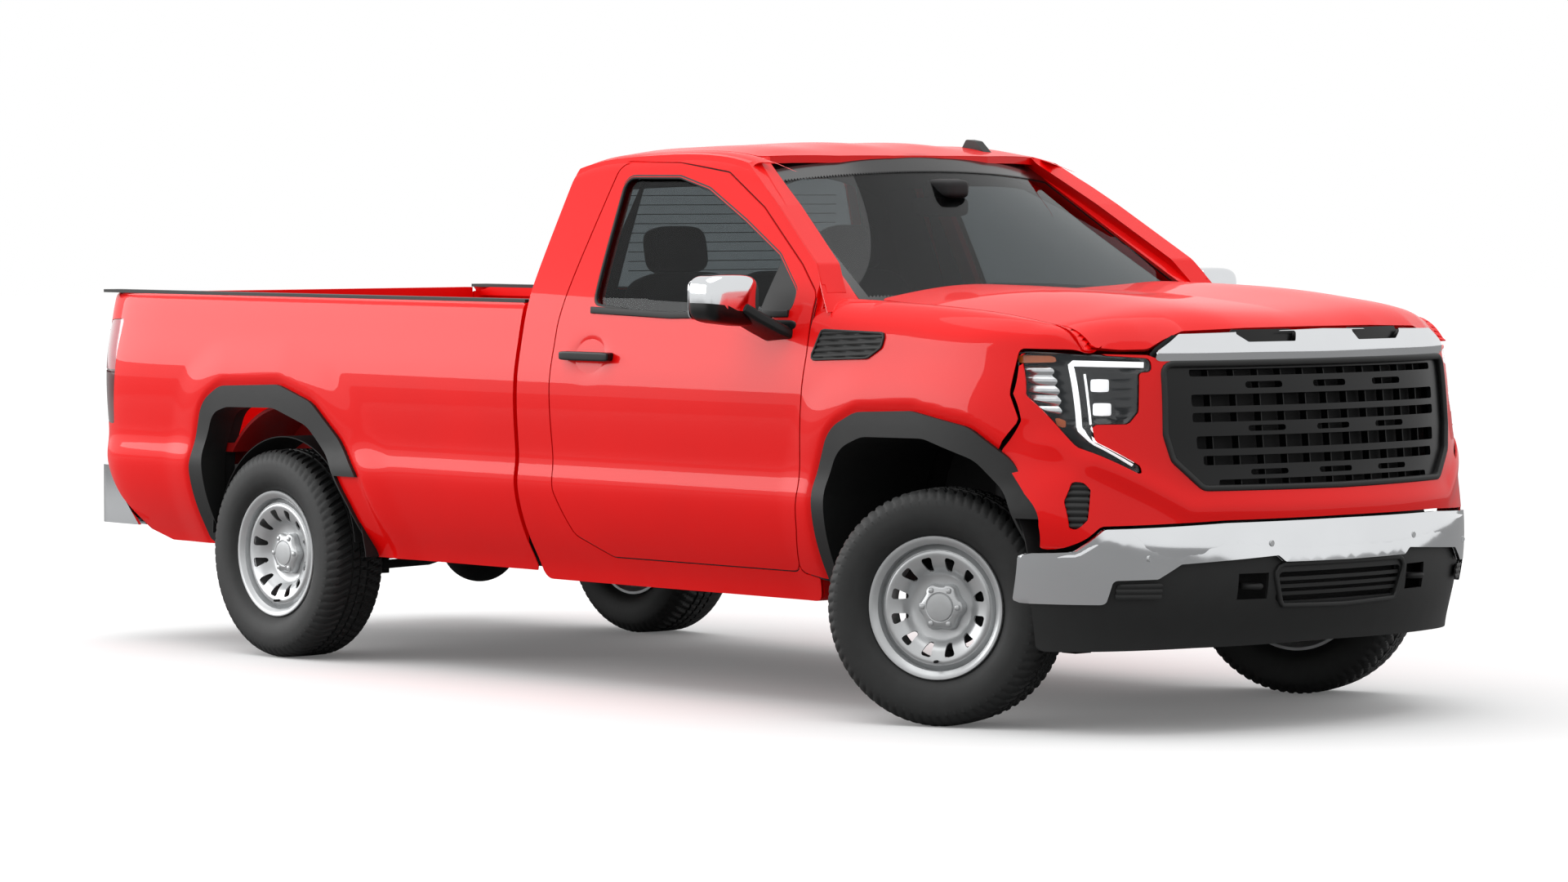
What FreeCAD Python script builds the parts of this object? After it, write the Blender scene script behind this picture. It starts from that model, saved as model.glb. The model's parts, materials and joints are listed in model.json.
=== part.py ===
import FreeCAD, Part
import math
import os
from types import SimpleNamespace
from FreeCAD import Placement, Rotation, Vector

# Pickup truck: +X forward, +Y to the driver's left, +Z up, origin on the floor under the middle of its length.

# Driving dimensions, in millimetres, or degrees where the name says angle
SIZES = (
    ("wheel_base", 3546, "front axle to rear axle"),
    ("front_overhang", 1000, "front axle to the bumper's foremost line"),
    ("rear_overhang", 1290, "rear axle to the step bumper's rear edge"),
    ("track_width", 1740, "between the tyres' middle planes"),
    ("kingpin_spread", 1680, "between the two steering axes"),
    ("steer_angle", 24.8, "how far the front wheels are turned to the left"),
    ("tyre_radius", 390, "loaded tyre, axle to floor"),
    ("tyre_half_width", 132, "half of the tyre's section width"),
    ("rim_radius", 216, "bead seat"),
    ("rim_half_width", 107, "rim middle plane to the flange's outer face"),
    ("hole_circle", 143, "disc holes' circle radius"),
    ("hole_radius", 23, "disc hole"),
    ("hole_count", 12, "disc holes"),
    ("spindle_radius", 44, "wheel spindle"),
    ("seat_gap", 0.3, "play between pieces that seat or turn on each other"),
    ("panel_gap", 6, "gap between outer panels"),
    ("flank_half_width", 1010, "middle plane to the widest line of the doors"),
    ("shoulder_height", 1000, "floor to the line from which the flank's heights are shared out"),
    ("cab_length", 2000, "front axle back to the door's rear cut, as the unit of the cab's stations"),
    ("crown_height", 1912, "floor to the top of the roof"),
    ("panel_wall", 14, "fender and fascia wall"),
    ("door_wall", 92, "door below the belt"),
    ("frame_wall", 46, "door frame above the belt"),
    ("glass_wall", 6, "window glass"),
    ("glass_inset", 14, "door glass behind the frame's face"),
    ("ring_wall", 100, "body side round the door"),
    ("cab_sheet", 12, "cab floor, firewall and rear wall"),
    ("rocker_height", 372, "floor to the rocker's underside"),
    ("cab_floor_height", 600, "floor to the cab floor's underside"),
    ("cab_back", 2056, "front axle back to the cab's rear face"),
    ("firewall_reach", 520, "front axle back to the firewall"),
    ("bed_gap", 22, "cab to bed"),
    ("bed_floor_height", 790, "floor to the load floor"),
    ("bed_sheet", 34, "load floor with its ribs"),
    ("bed_wall", 30, "bed front wall"),
    ("bed_half_width", 905, "half of the load space at the floor"),
    ("bed_rail_height", 1352, "floor to the bed rail"),
    ("bed_tail", 1155, "rear axle back to the tailgate's outer face"),
    ("house_half_gap", 642, "half of the gap between the wheelhouses"),
    ("house_radius", 470, "wheelhouse arch"),
    ("house_wall", 12, "wheelhouse sheet"),
    ("tailgate_wall", 58, "tailgate"),
    ("tailgate_half_width", 836, "half of the tailgate's width"),
    ("tail_pin", 11, "tailgate pivot pin radius"),
    ("arch_radius", 500, "unit of the wheel arches' outlines"),
    ("arch_stand", 18, "how far the arch moulding stands off the flank"),
    ("liner_wall", 8, "wheel arch liner"),
    ("liner_half", 560, "middle plane to a front liner's inner edge"),
    ("flap_base", 285, "floor to a mud flap"),
    ("flap_top", 480, "floor to a mud flap's upper edge"),
    ("flap_half", 790, "middle plane to a mud flap"),
    ("flap_clear", 700, "floor to a moulding's front end"),
    ("hood_wall", 22, "hood"),
    ("hood_half_width", 850, "half of the hood's width at the cowl"),
    ("rail_half_gap", 405, "middle plane to a frame rail's inner face"),
    ("rail_width", 70, "frame rail"),
    ("rail_base", 410, "floor to a frame rail's underside below the cab"),
    ("rear_rail_base", 560, "floor to a frame rail's underside over the rear axle"),
    ("rail_height", 140, "frame rail"),
    ("axle_tube", 42, "rear axle tube radius"),
    ("diff_radius", 150, "differential housing"),
    ("leaf_spread", 530, "middle plane to a leaf spring's middle"),
    ("leaf_width", 64, "leaf spring"),
    ("leaf_wall", 32, "leaf pack"),
    ("ball_joint_rise", 145, "wheel centre to an upper or lower ball joint"),
    ("disc_radius", 135, "brake disc"),
    ("hinge_pin", 5, "door and hood hinge pins"),
    ("door_hinge_reach", 498, "front axle back to the door hinges' axis"),
    ("door_hinge_half", 972, "middle plane to the door hinges' axis"),
    ("member_height", 60, "frame crossmember"),
    ("mount_radius", 35, "cab mount puck"),
    ("sill_half", 826, "middle plane to the door sill's outer face"),
    ("sill_width", 66, "door sill"),
    ("gooseneck", 58, "door hinge's arm inboard of its pin"),
    ("hem_wall", 4, "door skin where it reaches past the door's inner frame"),
    ("hem_reach", 16, "door skin past the inner frame along the hinge edge"),
    ("clearance", 6, "round a moving hinge"),
    ("roof_wall", 24, "roof panel"),
    ("screen_bow", 105, "how far the windshield's middle stands ahead of its sides"),
    ("tunnel_half", 190, "half of the gearbox tunnel's width"),
    ("tunnel_rise", 125, "gearbox tunnel over the cab floor"),
    ("hood_hinge_half", 600, "middle plane to a hood hinge"),
    ("hood_hinge_reach", 372, "front axle back to the hood hinges' axis"),
    ("hood_hinge_height", 1372, "floor to the hood hinges' axis"),
    ("fascia_wall", 30, "painted fascia"),
    ("lamp_depth", 110, "headlamp"),
    ("grille_rim", 16, "grille frame"),
    ("grille_depth", 60, "grille frame from front to back"),
    ("grille_bars", 4, "bars across the grille"),
    ("bar_inset", 12, "grille bars behind the grille's face"),
    ("bar_depth", 34, "grille bar from front to back"),
    ("bar_height", 54, "grille bar"),
    ("grille_posts", 16, "spaces between the grille's posts"),
    ("post_wall", 6, "grille post"),
    ("header_depth", 45, "chrome header bar"),
    ("bumper_wall", 12, "bumper sheet with its backing"),
    ("bumper_stand", 15, "how far the bumper stands ahead of the body"),
    ("valance_inset", 26, "lower valance behind the bumper's face"),
    ("intake_pitch", 24, "between the intake's bars"),
    ("intake_bars", 3, "bars in the lower intake"),
    ("bed_ribs", 9, "grooves in the load floor"),
    ("rib_depth", 14, "groove in the load floor"),
    ("sill_height", 56, "bed cross sill"),
    ("house_rise", 90, "wheelhouse arch's middle over the axle"),
    ("rail_lip", 34, "bed rail's inner flange"),
    ("tail_lamp_half", 862, "middle plane to a tail lamp's inner face"),
    ("handle_half", 120, "half of the tailgate handle's recess"),
    ("step_wall", 14, "rear bumper's top sheet"),
    ("ball_setback", 62, "rear bumper's edge to the ball hole"),
    ("ball_hole", 16, "ball hole radius"),
    ("cap_wall", 12, "bed rail cap"),
    ("hook_half", 384, "middle plane to a tow hook"),
    ("hook_reach", 925, "front axle to a tow hook's ring"),
    ("hook_height", 481, "floor to a tow hook"),
    ("hook_radius", 28, "tow hook's ring"),
    ("hook_wire", 9, "tow hook's bar radius"),
    ("engine_setback", 120, "front axle back to the engine's middle"),
    ("engine_length", 720, "engine block"),
    ("engine_half", 260, "half of the engine's width"),
    ("engine_base", 500, "floor to the engine's sump"),
    ("engine_height", 600, "engine block"),
    ("radiator_reach", 620, "front axle to the radiator"),
    ("radiator_half", 340, "half of the radiator's width"),
    ("radiator_height", 560, "radiator"),
    ("gearbox_radius", 115, "gearbox case"),
    ("gearbox_length", 900, "gearbox case"),
    ("gearbox_rise", 69, "engine sump up to the gearbox's middle"),
    ("shaft_radius", 38, "propeller shaft"),
    ("exhaust_half", 290, "middle plane to the exhaust"),
    ("exhaust_height", 530, "floor to the exhaust pipe"),
    ("pipe_radius", 26, "exhaust pipe"),
    ("silencer_radius", 60, "silencer"),
    ("tank_inner_half", 95, "middle plane to the fuel tank"),
    ("tank_base", 360, "floor to the fuel tank"),
    ("tank_length", 880, "fuel tank"),
    ("tank_height", 235, "fuel tank"),
    ("spare_reach", 640, "rear axle back to the spare wheel's middle"),
    ("spare_height", 322, "floor to the spare wheel"),
    ("mount_face", 28, "wheel's middle plane to its mounting face"),
    ("spindle_length", 21, "spindle past the wheel's mounting face"),
    ("drum_width", 60, "brake drum"),
    ("disc_wall", 24, "brake disc"),
    ("arm_spread", 170, "half of a suspension arm's inner width"),
    ("arm_tip", 40, "half of a suspension arm's outer width"),
    ("arm_waist", 48, "half of a suspension arm's width where the wheel swings past"),
    ("arm_waist_half", 620, "middle plane to a suspension arm's waist"),
    ("arm_wall", 22, "suspension arm"),
    ("strut_half_low", 640, "middle plane to a strut's foot"),
    ("strut_half_high", 560, "middle plane to a strut's head"),
    ("strut_top", 870, "floor to a strut's head"),
    ("strut_radius", 46, "spring strut"),
    ("rack_reach", 215, "front axle to the steering rack"),
    ("rack_radius", 24, "steering rack"),
    ("seat_base", 130, "cab floor to a seat cushion's underside"),
    ("seat_half", 420, "middle plane to an outer seat's middle"),
    ("seat_width", 500, "outer seat"),
    ("seat_length", 520, "seat cushion"),
    ("seat_wall", 150, "seat cushion and backrest"),
    ("seat_back", 580, "backrest"),
    ("seat_lean_angle", 14, "backrest from upright"),
    ("seat_setback", 1746, "front axle back to the seat cushion's rear edge"),
    ("column_reach", 1000, "front axle back to the steering column's end"),
    ("column_height", 1185, "floor to the steering column's end"),
    ("steering_radius", 185, "steering wheel ring"),
    ("steering_grip", 15, "steering wheel rim radius"),
    ("antenna_setback", 1216, "front axle back to the antenna"),
    ("antenna_side", 430, "middle plane to the antenna"),
    ("antenna_half", 18, "half of the antenna's width"),
    ("antenna_length", 190, "antenna"),
    ("antenna_rise", 20, "antenna tip over the crown"),
    ("overrun", 60, "how far a cutter passes a face"),
)

doc = FreeCAD.newDocument("pickup_truck")
sheet = doc.addObject("Spreadsheet::Sheet", "sizes")
for row, (alias, value, meaning) in enumerate(SIZES, start=1):
    sheet.set(f"A{row}", alias)
    sheet.set(f"B{row}", str(value))
    sheet.setAlias(f"B{row}", alias)
    sheet.set(f"C{row}", meaning)
doc.recompute()
s = SimpleNamespace(**{alias: float(sheet.get(alias)) for alias, _, _ in SIZES})

REAR_AXLE = (s.rear_overhang - s.front_overhang - s.wheel_base) / 2
FRONT_AXLE = REAR_AXLE + s.wheel_base
AXLE_HEIGHT = s.tyre_radius
HINGE_X = FRONT_AXLE - s.door_hinge_reach
HOOD_HINGE_X = FRONT_AXLE - s.hood_hinge_reach
HOOD_HINGE_Z = s.hood_hinge_height
BED_FRONT = FRONT_AXLE - s.cab_back - s.bed_gap
TAIL_HINGE_X = REAR_AXLE - s.bed_tail + s.tailgate_wall - s.tail_pin
TAIL_HINGE_Z = s.bed_floor_height - s.bed_sheet / 2
UP = Vector(0, 0, 1)
FLAT_TURN = math.radians(2)
CORNER_SHARE = 0.45
STEERING_TILT = Vector(-0.92, 0, 0.39).normalize()
MIRROR_LEVEL = 1.35
ARCH_CORNER = 0.3 * s.arch_radius
pieces = []


def add_piece(name, shape, place=None):
    """Store one finished sub-part under its own name."""
    piece = doc.addObject("Part::Feature", name)
    piece.Label = name
    piece.Shape = shape
    if place:
        piece.Placement = place
    pieces.append(piece)
    return piece


def mirrored(shape):
    """The same shape on the other side of the middle plane."""
    return shape.mirror(Vector(), Vector(0, 1, 0))


def both_sides(shape):
    """A left shape and its mirror image as one compound."""
    return Part.makeCompound([shape, mirrored(shape)])


def fused(shapes):
    """One solid from shapes that overlap."""
    first, *rest = shapes
    return first.fuse(rest).removeSplitter() if rest else first


def rounded_wire(points, radius):
    """A closed wire through corner points, each corner an arc of at most the given radius."""
    arcs = {}
    ends = []
    count = len(points)
    for index, corner in enumerate(points):
        before = points[index - 1] - corner
        after = points[(index + 1) % count] - corner
        turn = math.pi - before.getAngle(after)
        if turn < FLAT_TURN:
            ends.append((corner, corner))
            continue
        reach = min(radius * math.tan(turn / 2), before.Length * CORNER_SHARE, after.Length * CORNER_SHARE)
        start = corner + before.normalize() * reach
        end = corner + after.normalize() * reach
        bend = reach / math.tan(turn / 2)
        sag = math.hypot(bend, reach) - bend
        arcs[index] = Part.Arc(start, corner + ((start + end) / 2 - corner).normalize() * sag, end).toShape()
        ends.append((start, end))
    edges = []
    for index in range(count):
        if index in arcs:
            edges.append(arcs[index])
        edges.append(Part.LineSegment(ends[index][1], ends[(index + 1) % count][0]).toShape())
    return Part.Wire(edges)


def pushed(corners, radius, way):
    """A solid from a closed outline with rounded corners, pushed along a way."""
    wire = rounded_wire(corners, radius) if radius else Part.makePolygon(corners + corners[:1])
    return outward(Part.Face(wire).extrude(way))


def outward(solid):
    """The solid with its volume counted outwards."""
    if solid.Volume < 0:
        solid.reverse()
    return solid


def biggest(shape):
    """The largest solid of a shape, without slivers that a cut left."""
    return max(shape.Solids, key=lambda solid: solid.Volume)


def side_prism(points, low, high, radius=0.0):
    """A side-view outline of (x, z) points pushed from y = low to y = high."""
    return pushed([Vector(x, low, z) for x, z in points], radius, Vector(0, high - low, 0))


def front_prism(points, low, high, radius=0.0):
    """A front-view outline of (y, z) points pushed from x = low to x = high."""
    return pushed([Vector(low, y, z) for y, z in points], radius, Vector(high - low, 0, 0))


def plan_prism(points, low, high, radius=0.0):
    """A plan-view outline of (x, y) points pushed from z = low to z = high."""
    return pushed([Vector(x, y, low) for x, y in points], radius, Vector(0, 0, high - low))


def box(low, high):
    """A box between two corners."""
    return Part.makeBox(high[0] - low[0], high[1] - low[1], high[2] - low[2], Vector(*low))


def rod(start, end, radius):
    """A round bar between two points."""
    start, end = Vector(*start), Vector(*end)
    return Part.makeCylinder(radius, (end - start).Length, start, end - start)


def surface(rows):
    """A smooth face through a grid of points."""
    skin = Part.BSplineSurface()
    skin.interpolate([[Vector(*p) for p in row] for row in rows])
    return skin.toShape()


# Stations along the length: the cab hangs off the front axle, the bed off the rear axle
def cab_points(shares):
    """Outline points from shares of the cab length ahead of the front axle and of the shoulder height."""
    return [(FRONT_AXLE + a * s.cab_length, b * s.shoulder_height) for a, b in shares]


def arch_points(axle, shares):
    """Outline points from shares of the arch radius about an axle."""
    return [(axle + a * s.arch_radius, AXLE_HEIGHT + b * s.arch_radius) for a, b in shares]


# The flank: how far the skin lies inside the widest line, as shares of the half width
FLANK_SHARES = (
    (0.24, 0.165), (0.33, 0.142), (0.419, 0.114), (0.497, 0.073), (0.585, 0.034), (0.665, 0.011), (0.73, 0.004),
    (0.79, 0.011), (0.87, 0.009), (0.96, 0.003), (1.04, 0.002), (1.12, 0.008), (1.22, 0.026), (1.33, 0.049),
    (1.42, 0.080), (1.60, 0.156), (1.78, 0.236), (1.86, 0.277), (1.95, 0.345),
)
# How the flank draws in along the length: axle, share of its overhang, inset share of the half width
PLAN_SHARES = (
    ("rear", -1.02, 0.20), ("rear", -0.93, 0.105), ("rear", -0.88, 0.062), ("rear", -0.82, 0.026),
    ("rear", -0.72, 0.006), ("rear", -0.50, 0.0), ("rear", 0.30, 0.0), ("rear", 1.20, 0.0),
    ("front", -1.00, 0.0), ("front", -0.40, 0.0), ("front", 0.0, 0.002), ("front", 0.20, 0.010),
    ("front", 0.35, 0.032), ("front", 0.45, 0.056), ("front", 0.56, 0.095), ("front", 0.70, 0.165),
)


def plan_station(axle, share):
    """The x of a plan station."""
    if axle == "rear":
        return REAR_AXLE + share * s.rear_overhang
    return FRONT_AXLE + share * s.front_overhang


def flank_face():
    """The left flank from rocker to roof rail, tail to lamp, as one smooth face."""
    rows = []
    for axle, along, draw in PLAN_SHARES:
        x = plan_station(axle, along)
        rows.append([
            (x, s.flank_half_width * (1 - inset - draw), up * s.shoulder_height) for up, inset in FLANK_SHARES
        ])
    return surface(rows)


FLANK = flank_face()


def slab(face, start, way):
    """A solid swept from a face, begun at an offset."""
    moved = face.copy()
    moved.translate(start)
    return outward(moved.extrude(way))


def flank_slab(start, depth):
    """The flank from start to start + depth inside its outer face."""
    return slab(FLANK, Vector(0, -start, 0), Vector(0, -depth, 0))


# Side-view outlines of the cab, as shares of the cab length and the shoulder height
DOOR_SHARES = (
    (-0.934, 1.274), (-0.937, 1.069), (-0.930, 0.700), (-0.895, 0.545), (-0.810, 0.473), (-0.322, 0.473),
    (-0.294, 0.620), (-0.281, 0.760), (-0.276, 1.017), (-0.273, 1.200), (-0.276, 1.405),
    (-0.333, 1.500), (-0.4765, 1.689), (-0.600, 1.810), (-0.743, 1.845), (-0.894, 1.848),
)
WINDOW_SHARES = (
    (-0.849, 1.349), (-0.872, 1.797), (-0.7245, 1.796), (-0.6365, 1.755), (-0.5125, 1.646), (-0.3965, 1.533),
    (-0.325, 1.413), (-0.326, 1.345), (-0.365, 1.326), (-0.632, 1.312),
)
SIDE_SHARES = (
    (-1.028, 0.372), (-1.028, 1.412), (-1.014, 1.811), (-0.985, 1.95), (-0.60, 1.95), (-0.562, 1.845),
    (-0.443, 1.700), (-0.298, 1.505), (-0.236, 1.350), (-0.236, 0.62), (-0.290, 0.372),
)
REAR_WINDOW_SHARES = ((-0.62, 1.40), (0.62, 1.40), (0.54, 1.79), (-0.54, 1.79))


def offset_points(points, gap):
    """Outline points moved outwards by a gap, for a cut round a panel."""
    corners = [Vector(x, z, 0) for x, z in points]
    wire = Part.makePolygon(corners + corners[:1])
    grown = wire.makeOffset2D(gap, 2, False, False)
    return [(v.Point.x, v.Point.y) for v in grown.OrderedVertexes]


DOOR = cab_points(DOOR_SHARES)
WINDOW = cab_points(WINDOW_SHARES)
BELT = 1.30 * s.shoulder_height
DOOR_CORNER = 0.05 * s.shoulder_height
HEM_X = FRONT_AXLE - 0.34 * s.cab_length
WINDOW_CORNER = 0.04 * s.shoulder_height


def door_hinge_levels():
    """Heights of the two door hinges."""
    return (0.76 * s.shoulder_height, 0.92 * s.shoulder_height)


def make_door():
    """Left door: thick below the belt, a slim frame above, window cut, two hinge eyes."""
    outer = s.flank_half_width + s.overrun
    inner = 0.5 * s.flank_half_width
    outline = side_prism(DOOR, inner, outer, DOOR_CORNER)
    low_half = box((-s.wheel_base, inner, 0), (s.wheel_base, outer, BELT))
    high_half = box((-s.wheel_base, inner, BELT - s.frame_wall), (s.wheel_base, outer, s.crown_height))
    lower = flank_slab(0, s.door_wall).common(outline).common(low_half)
    upper = flank_slab(0, s.frame_wall).common(outline).common(high_half)
    window = side_prism(WINDOW, inner, outer, WINDOW_CORNER)
    door = fused([lower, upper]).cut(window)
    slot = side_prism(offset_points(WINDOW, s.seat_gap), inner, outer, WINDOW_CORNER)
    channel = flank_slab(s.glass_inset - s.seat_gap, s.glass_wall + 2 * s.seat_gap).common(slot)
    hem = outline.cut(side_prism(offset_points(DOOR, -s.hem_reach), inner, outer, DOOR_CORNER))
    hem = hem.common(box((HEM_X, inner, 0), (HINGE_X, outer, s.shoulder_height + BELT - s.door_wall)))
    door = door.cut([channel, flank_slab(s.hem_wall, s.door_wall).common(hem)])
    eyes = []
    eye = 2 * s.hinge_pin
    for level in door_hinge_levels():
        inboard = s.door_hinge_half - s.gooseneck
        neck = box((HINGE_X - eye / 2, inboard, level), (HINGE_X + eye / 2, s.door_hinge_half, level + 2 * eye))
        reach = box((HINGE_X - s.door_wall, inboard, level), (HINGE_X + eye / 2, inboard + eye, level + 2 * eye))
        arm = neck.fuse(reach)
        ring = Part.makeCylinder(eye, 2 * eye, Vector(HINGE_X, s.door_hinge_half, level))
        bore = Part.makeCylinder(s.hinge_pin + s.seat_gap, 2 * eye, Vector(HINGE_X, s.door_hinge_half, level))
        eyes.append(fused([arm, ring]).cut(bore))
    return fused([door] + eyes)


def make_door_glass():
    """Left door glass in its channel."""
    outer = s.flank_half_width + s.overrun
    pane = side_prism(WINDOW, 0, outer, WINDOW_CORNER)
    return flank_slab(s.glass_inset, s.glass_wall).common(pane)


def make_mirror():
    """Left mirror: foot on the door's front corner, arm and housing as one piece."""
    x = HINGE_X
    belt = MIRROR_LEVEL * s.shoulder_height
    reach = s.flank_half_width
    foot = side_prism([(x - 180, belt - 130), (x - 30, belt - 110), (x - 60, belt - 40), (x - 180, belt - 60)],
                      0.9 * reach, 1.02 * reach, s.panel_wall)
    arm = front_prism([(0.95 * reach, belt - 110), (reach + 85, belt - 50), (reach + 85, belt), (0.95 * reach, belt - 50)],
                      x - 230, x - 140, s.panel_wall)
    housing = front_prism(
        [(reach + 40, belt - 50), (reach + 250, belt - 35), (reach + 262, belt + 40),
         (reach + 240, belt + 122), (reach + 60, belt + 122), (reach + 30, belt + 30)],
        x - 330, x - 190, 36)
    return biggest(fused([foot, arm, housing]).cut(flank_slab(-s.seat_gap, s.flank_half_width)))


def make_cab_side():
    """Left body side: rocker, pillars and roof rail round the door."""
    outer = s.flank_half_width + s.overrun
    inner = 0.5 * s.flank_half_width
    whole = side_prism(cab_points(SIDE_SHARES), inner, outer, DOOR_CORNER)
    aperture = side_prism(offset_points(DOOR, s.panel_gap), 0, outer, DOOR_CORNER)
    return flank_slab(0, s.ring_wall).common(whole).cut([aperture] + fender_room())


def make_cab_shell():
    """Cab floor, firewall and rear wall with its window, joined to both body sides."""
    side = make_cab_side()
    back = FRONT_AXLE - s.cab_back
    front = FRONT_AXLE - s.firewall_reach
    half = s.flank_half_width - 0.9 * s.ring_wall
    floor = box((back, -s.sill_half, s.cab_floor_height), (front, s.sill_half, s.cab_floor_height + s.cab_sheet))
    sills = [box((back, min(way * s.sill_half, way * (s.sill_half - s.sill_width)), 0.40 * s.shoulder_height),
                 (front, max(way * s.sill_half, way * (s.sill_half - s.sill_width)), s.cab_floor_height + s.cab_sheet))
             for way in (-1, 1)]
    fire_half = s.flank_half_width - 0.8 * s.ring_wall
    firewall = box((front - s.cab_sheet, -fire_half, s.cab_floor_height),
                   (front, fire_half, HOOD_HINGE_Z - s.hood_wall - s.panel_wall - s.seat_gap))
    wall_half = 0.75 * s.flank_half_width
    rear = front_prism(
        [(-half, s.cab_floor_height), (half, s.cab_floor_height), (half, 1.3 * s.shoulder_height),
         (wall_half * 0.9, 1.84 * s.shoulder_height), (-wall_half * 0.9, 1.84 * s.shoulder_height),
         (-half, 1.3 * s.shoulder_height)], back, back + s.cab_sheet)
    hole = front_prism([(a * s.flank_half_width, b * s.shoulder_height) for a, b in REAR_WINDOW_SHARES],
                       back - s.overrun, back + s.overrun, WINDOW_CORNER)
    tunnel_back = front - 0.55 * s.cab_length
    top = s.cab_floor_height + s.tunnel_rise
    tunnel = box((tunnel_back, -s.tunnel_half, s.cab_floor_height), (front, s.tunnel_half, top))
    inside = box((tunnel_back - s.overrun, s.cab_sheet - s.tunnel_half, 0),
                 (front + s.overrun, s.tunnel_half - s.cab_sheet, top - s.cab_sheet))
    plenum_top = HOOD_HINGE_Z - s.hood_wall - s.panel_wall - s.seat_gap
    plenum = box((front - s.cab_sheet, -0.9 * fire_half, plenum_top - s.overrun),
                 (FRONT_AXLE - 0.30 * s.front_overhang, 0.9 * fire_half, plenum_top))
    shell = fused([side, mirrored(side), floor, firewall, rear.cut(hole), tunnel, plenum] + sills)
    roof_room = roof_plan(s.seat_gap).common(over_roof(-s.roof_wall - s.seat_gap))
    shell = shell.cut([inside, over_roof(0), roof_room, screen_pocket()])
    pockets = []
    pins = []
    for level in door_hinge_levels():
        eye = 2 * s.hinge_pin
        pocket = box((HINGE_X - s.door_wall, s.door_hinge_half - s.gooseneck - 2 * s.clearance, level - s.clearance),
                     (HINGE_X + eye + s.clearance, s.flank_half_width, level + 2 * eye + s.clearance))
        pin = Part.makeCylinder(s.hinge_pin, 2 * eye + 4 * s.clearance,
                                Vector(HINGE_X, s.door_hinge_half, level - 2 * s.clearance))
        pockets.extend([pocket, mirrored(pocket)])
        pins.extend([pin, mirrored(pin)])
    return fused([shell.cut(pockets)] + pins)


# Roof: stations as shares of the cab length and the crown height, then how it falls away to its sides
ROOF_CROWN_SHARES = ((-1.06, 0.958), (-0.99, 0.983), (-0.86, 0.997), (-0.70, 1.0), (-0.59, 0.991), (-0.48, 0.962))
ROOF_ARC_SHARES = (
    (-0.84, 0.044), (-0.76, 0.025), (-0.66, 0.015), (-0.45, 0.006), (-0.20, 0.001), (0.20, 0.001), (0.45, 0.006),
    (0.66, 0.015), (0.76, 0.025), (0.84, 0.044),
)
ROOF_PLAN_SHARES = (
    (-1.026, -0.655), (-1.026, 0.655), (-0.578, 0.655), (-0.540, 0.35), (-0.530, 0.12), (-0.530, -0.12),
    (-0.540, -0.35), (-0.578, -0.655),
)
SCREEN_HALF_SHARES = (0.800, 0.660)
SCREEN_STATION_SHARES = (-0.176, -0.520)
SCREEN_RISE_SHARES = (1.362, 1.848)
# Hood: heights across at each station ahead of the front axle
HOOD_ACROSS_SHARES = (0.0, 0.30, 0.55, 0.80, 1.0)
HOOD_LEVEL_SHARES = (
    (-0.50, (1.416, 1.426, 1.431, 1.412, 1.386)), (-0.30, (1.414, 1.425, 1.431, 1.410, 1.380)),
    (-0.10, (1.410, 1.422, 1.428, 1.405, 1.373)), (0.10, (1.404, 1.416, 1.422, 1.398, 1.362)),
    (0.30, (1.393, 1.404, 1.410, 1.384, 1.345)), (0.50, (1.376, 1.386, 1.390, 1.362, 1.318)),
    (0.70, (1.350, 1.355, 1.354, 1.314, 1.252)), (0.90, (1.295, 1.290, 1.265, 1.15, 1.02)),
)
HOOD_PLAN_SHARES = (
    (0.812, 0.12), (0.802, 0.40), (0.765, 0.68), (0.745, 0.80), (0.640, 0.965), (0.50, 1.0), (-0.20, 1.0),
    (-0.355, 0.985), (-0.325, 0.72), (-0.280, 0.35), (-0.268, 0.12),
)
COWL_PLAN_SHARES = ((-0.24, 0.20), (-0.24, 0.93), (-0.448, 0.93), (-0.398, 0.60), (-0.358, 0.20))
# Fender: side outline, then the shelf beside the hood and its heights
FENDER_SHARES = (
    (-0.638, 0.473), (-0.582, 0.620), (-0.556, 0.760), (-0.546, 1.017), (-0.540, 1.200), (-0.545, 1.46),
    (0.600, 1.46), (0.648, 1.243), (0.420, 1.245), (0.404, 1.100), (0.445, 1.015), (0.360, 0.915), (0.30, 0.80),
    (0.20, 0.60), (-0.30, 0.42),
)
SHELF_PLAN_SHARES = (
    (-0.52, 0.800), (-0.52, 1.03), (0.645, 1.03), (0.645, 0.835), (0.55, 0.848), (0.50, 0.848), (-0.36, 0.848),
)
SHOULDER_ACROSS_SHARES = (0.76, 0.84, 0.91, 0.96, 1.02)
SHOULDER_LEVEL_SHARES = (
    (-0.62, (1.405, 1.390, 1.365, 1.325, 1.250)), (-0.20, (1.397, 1.380, 1.353, 1.312, 1.240)),
    (0.20, (1.375, 1.359, 1.330, 1.285, 1.210)), (0.45, (1.350, 1.334, 1.298, 1.250, 1.170)),
    (0.62, (1.320, 1.301, 1.252, 1.195, 1.110)), (0.80, (1.270, 1.245, 1.190, 1.130, 1.040)),
)
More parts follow.
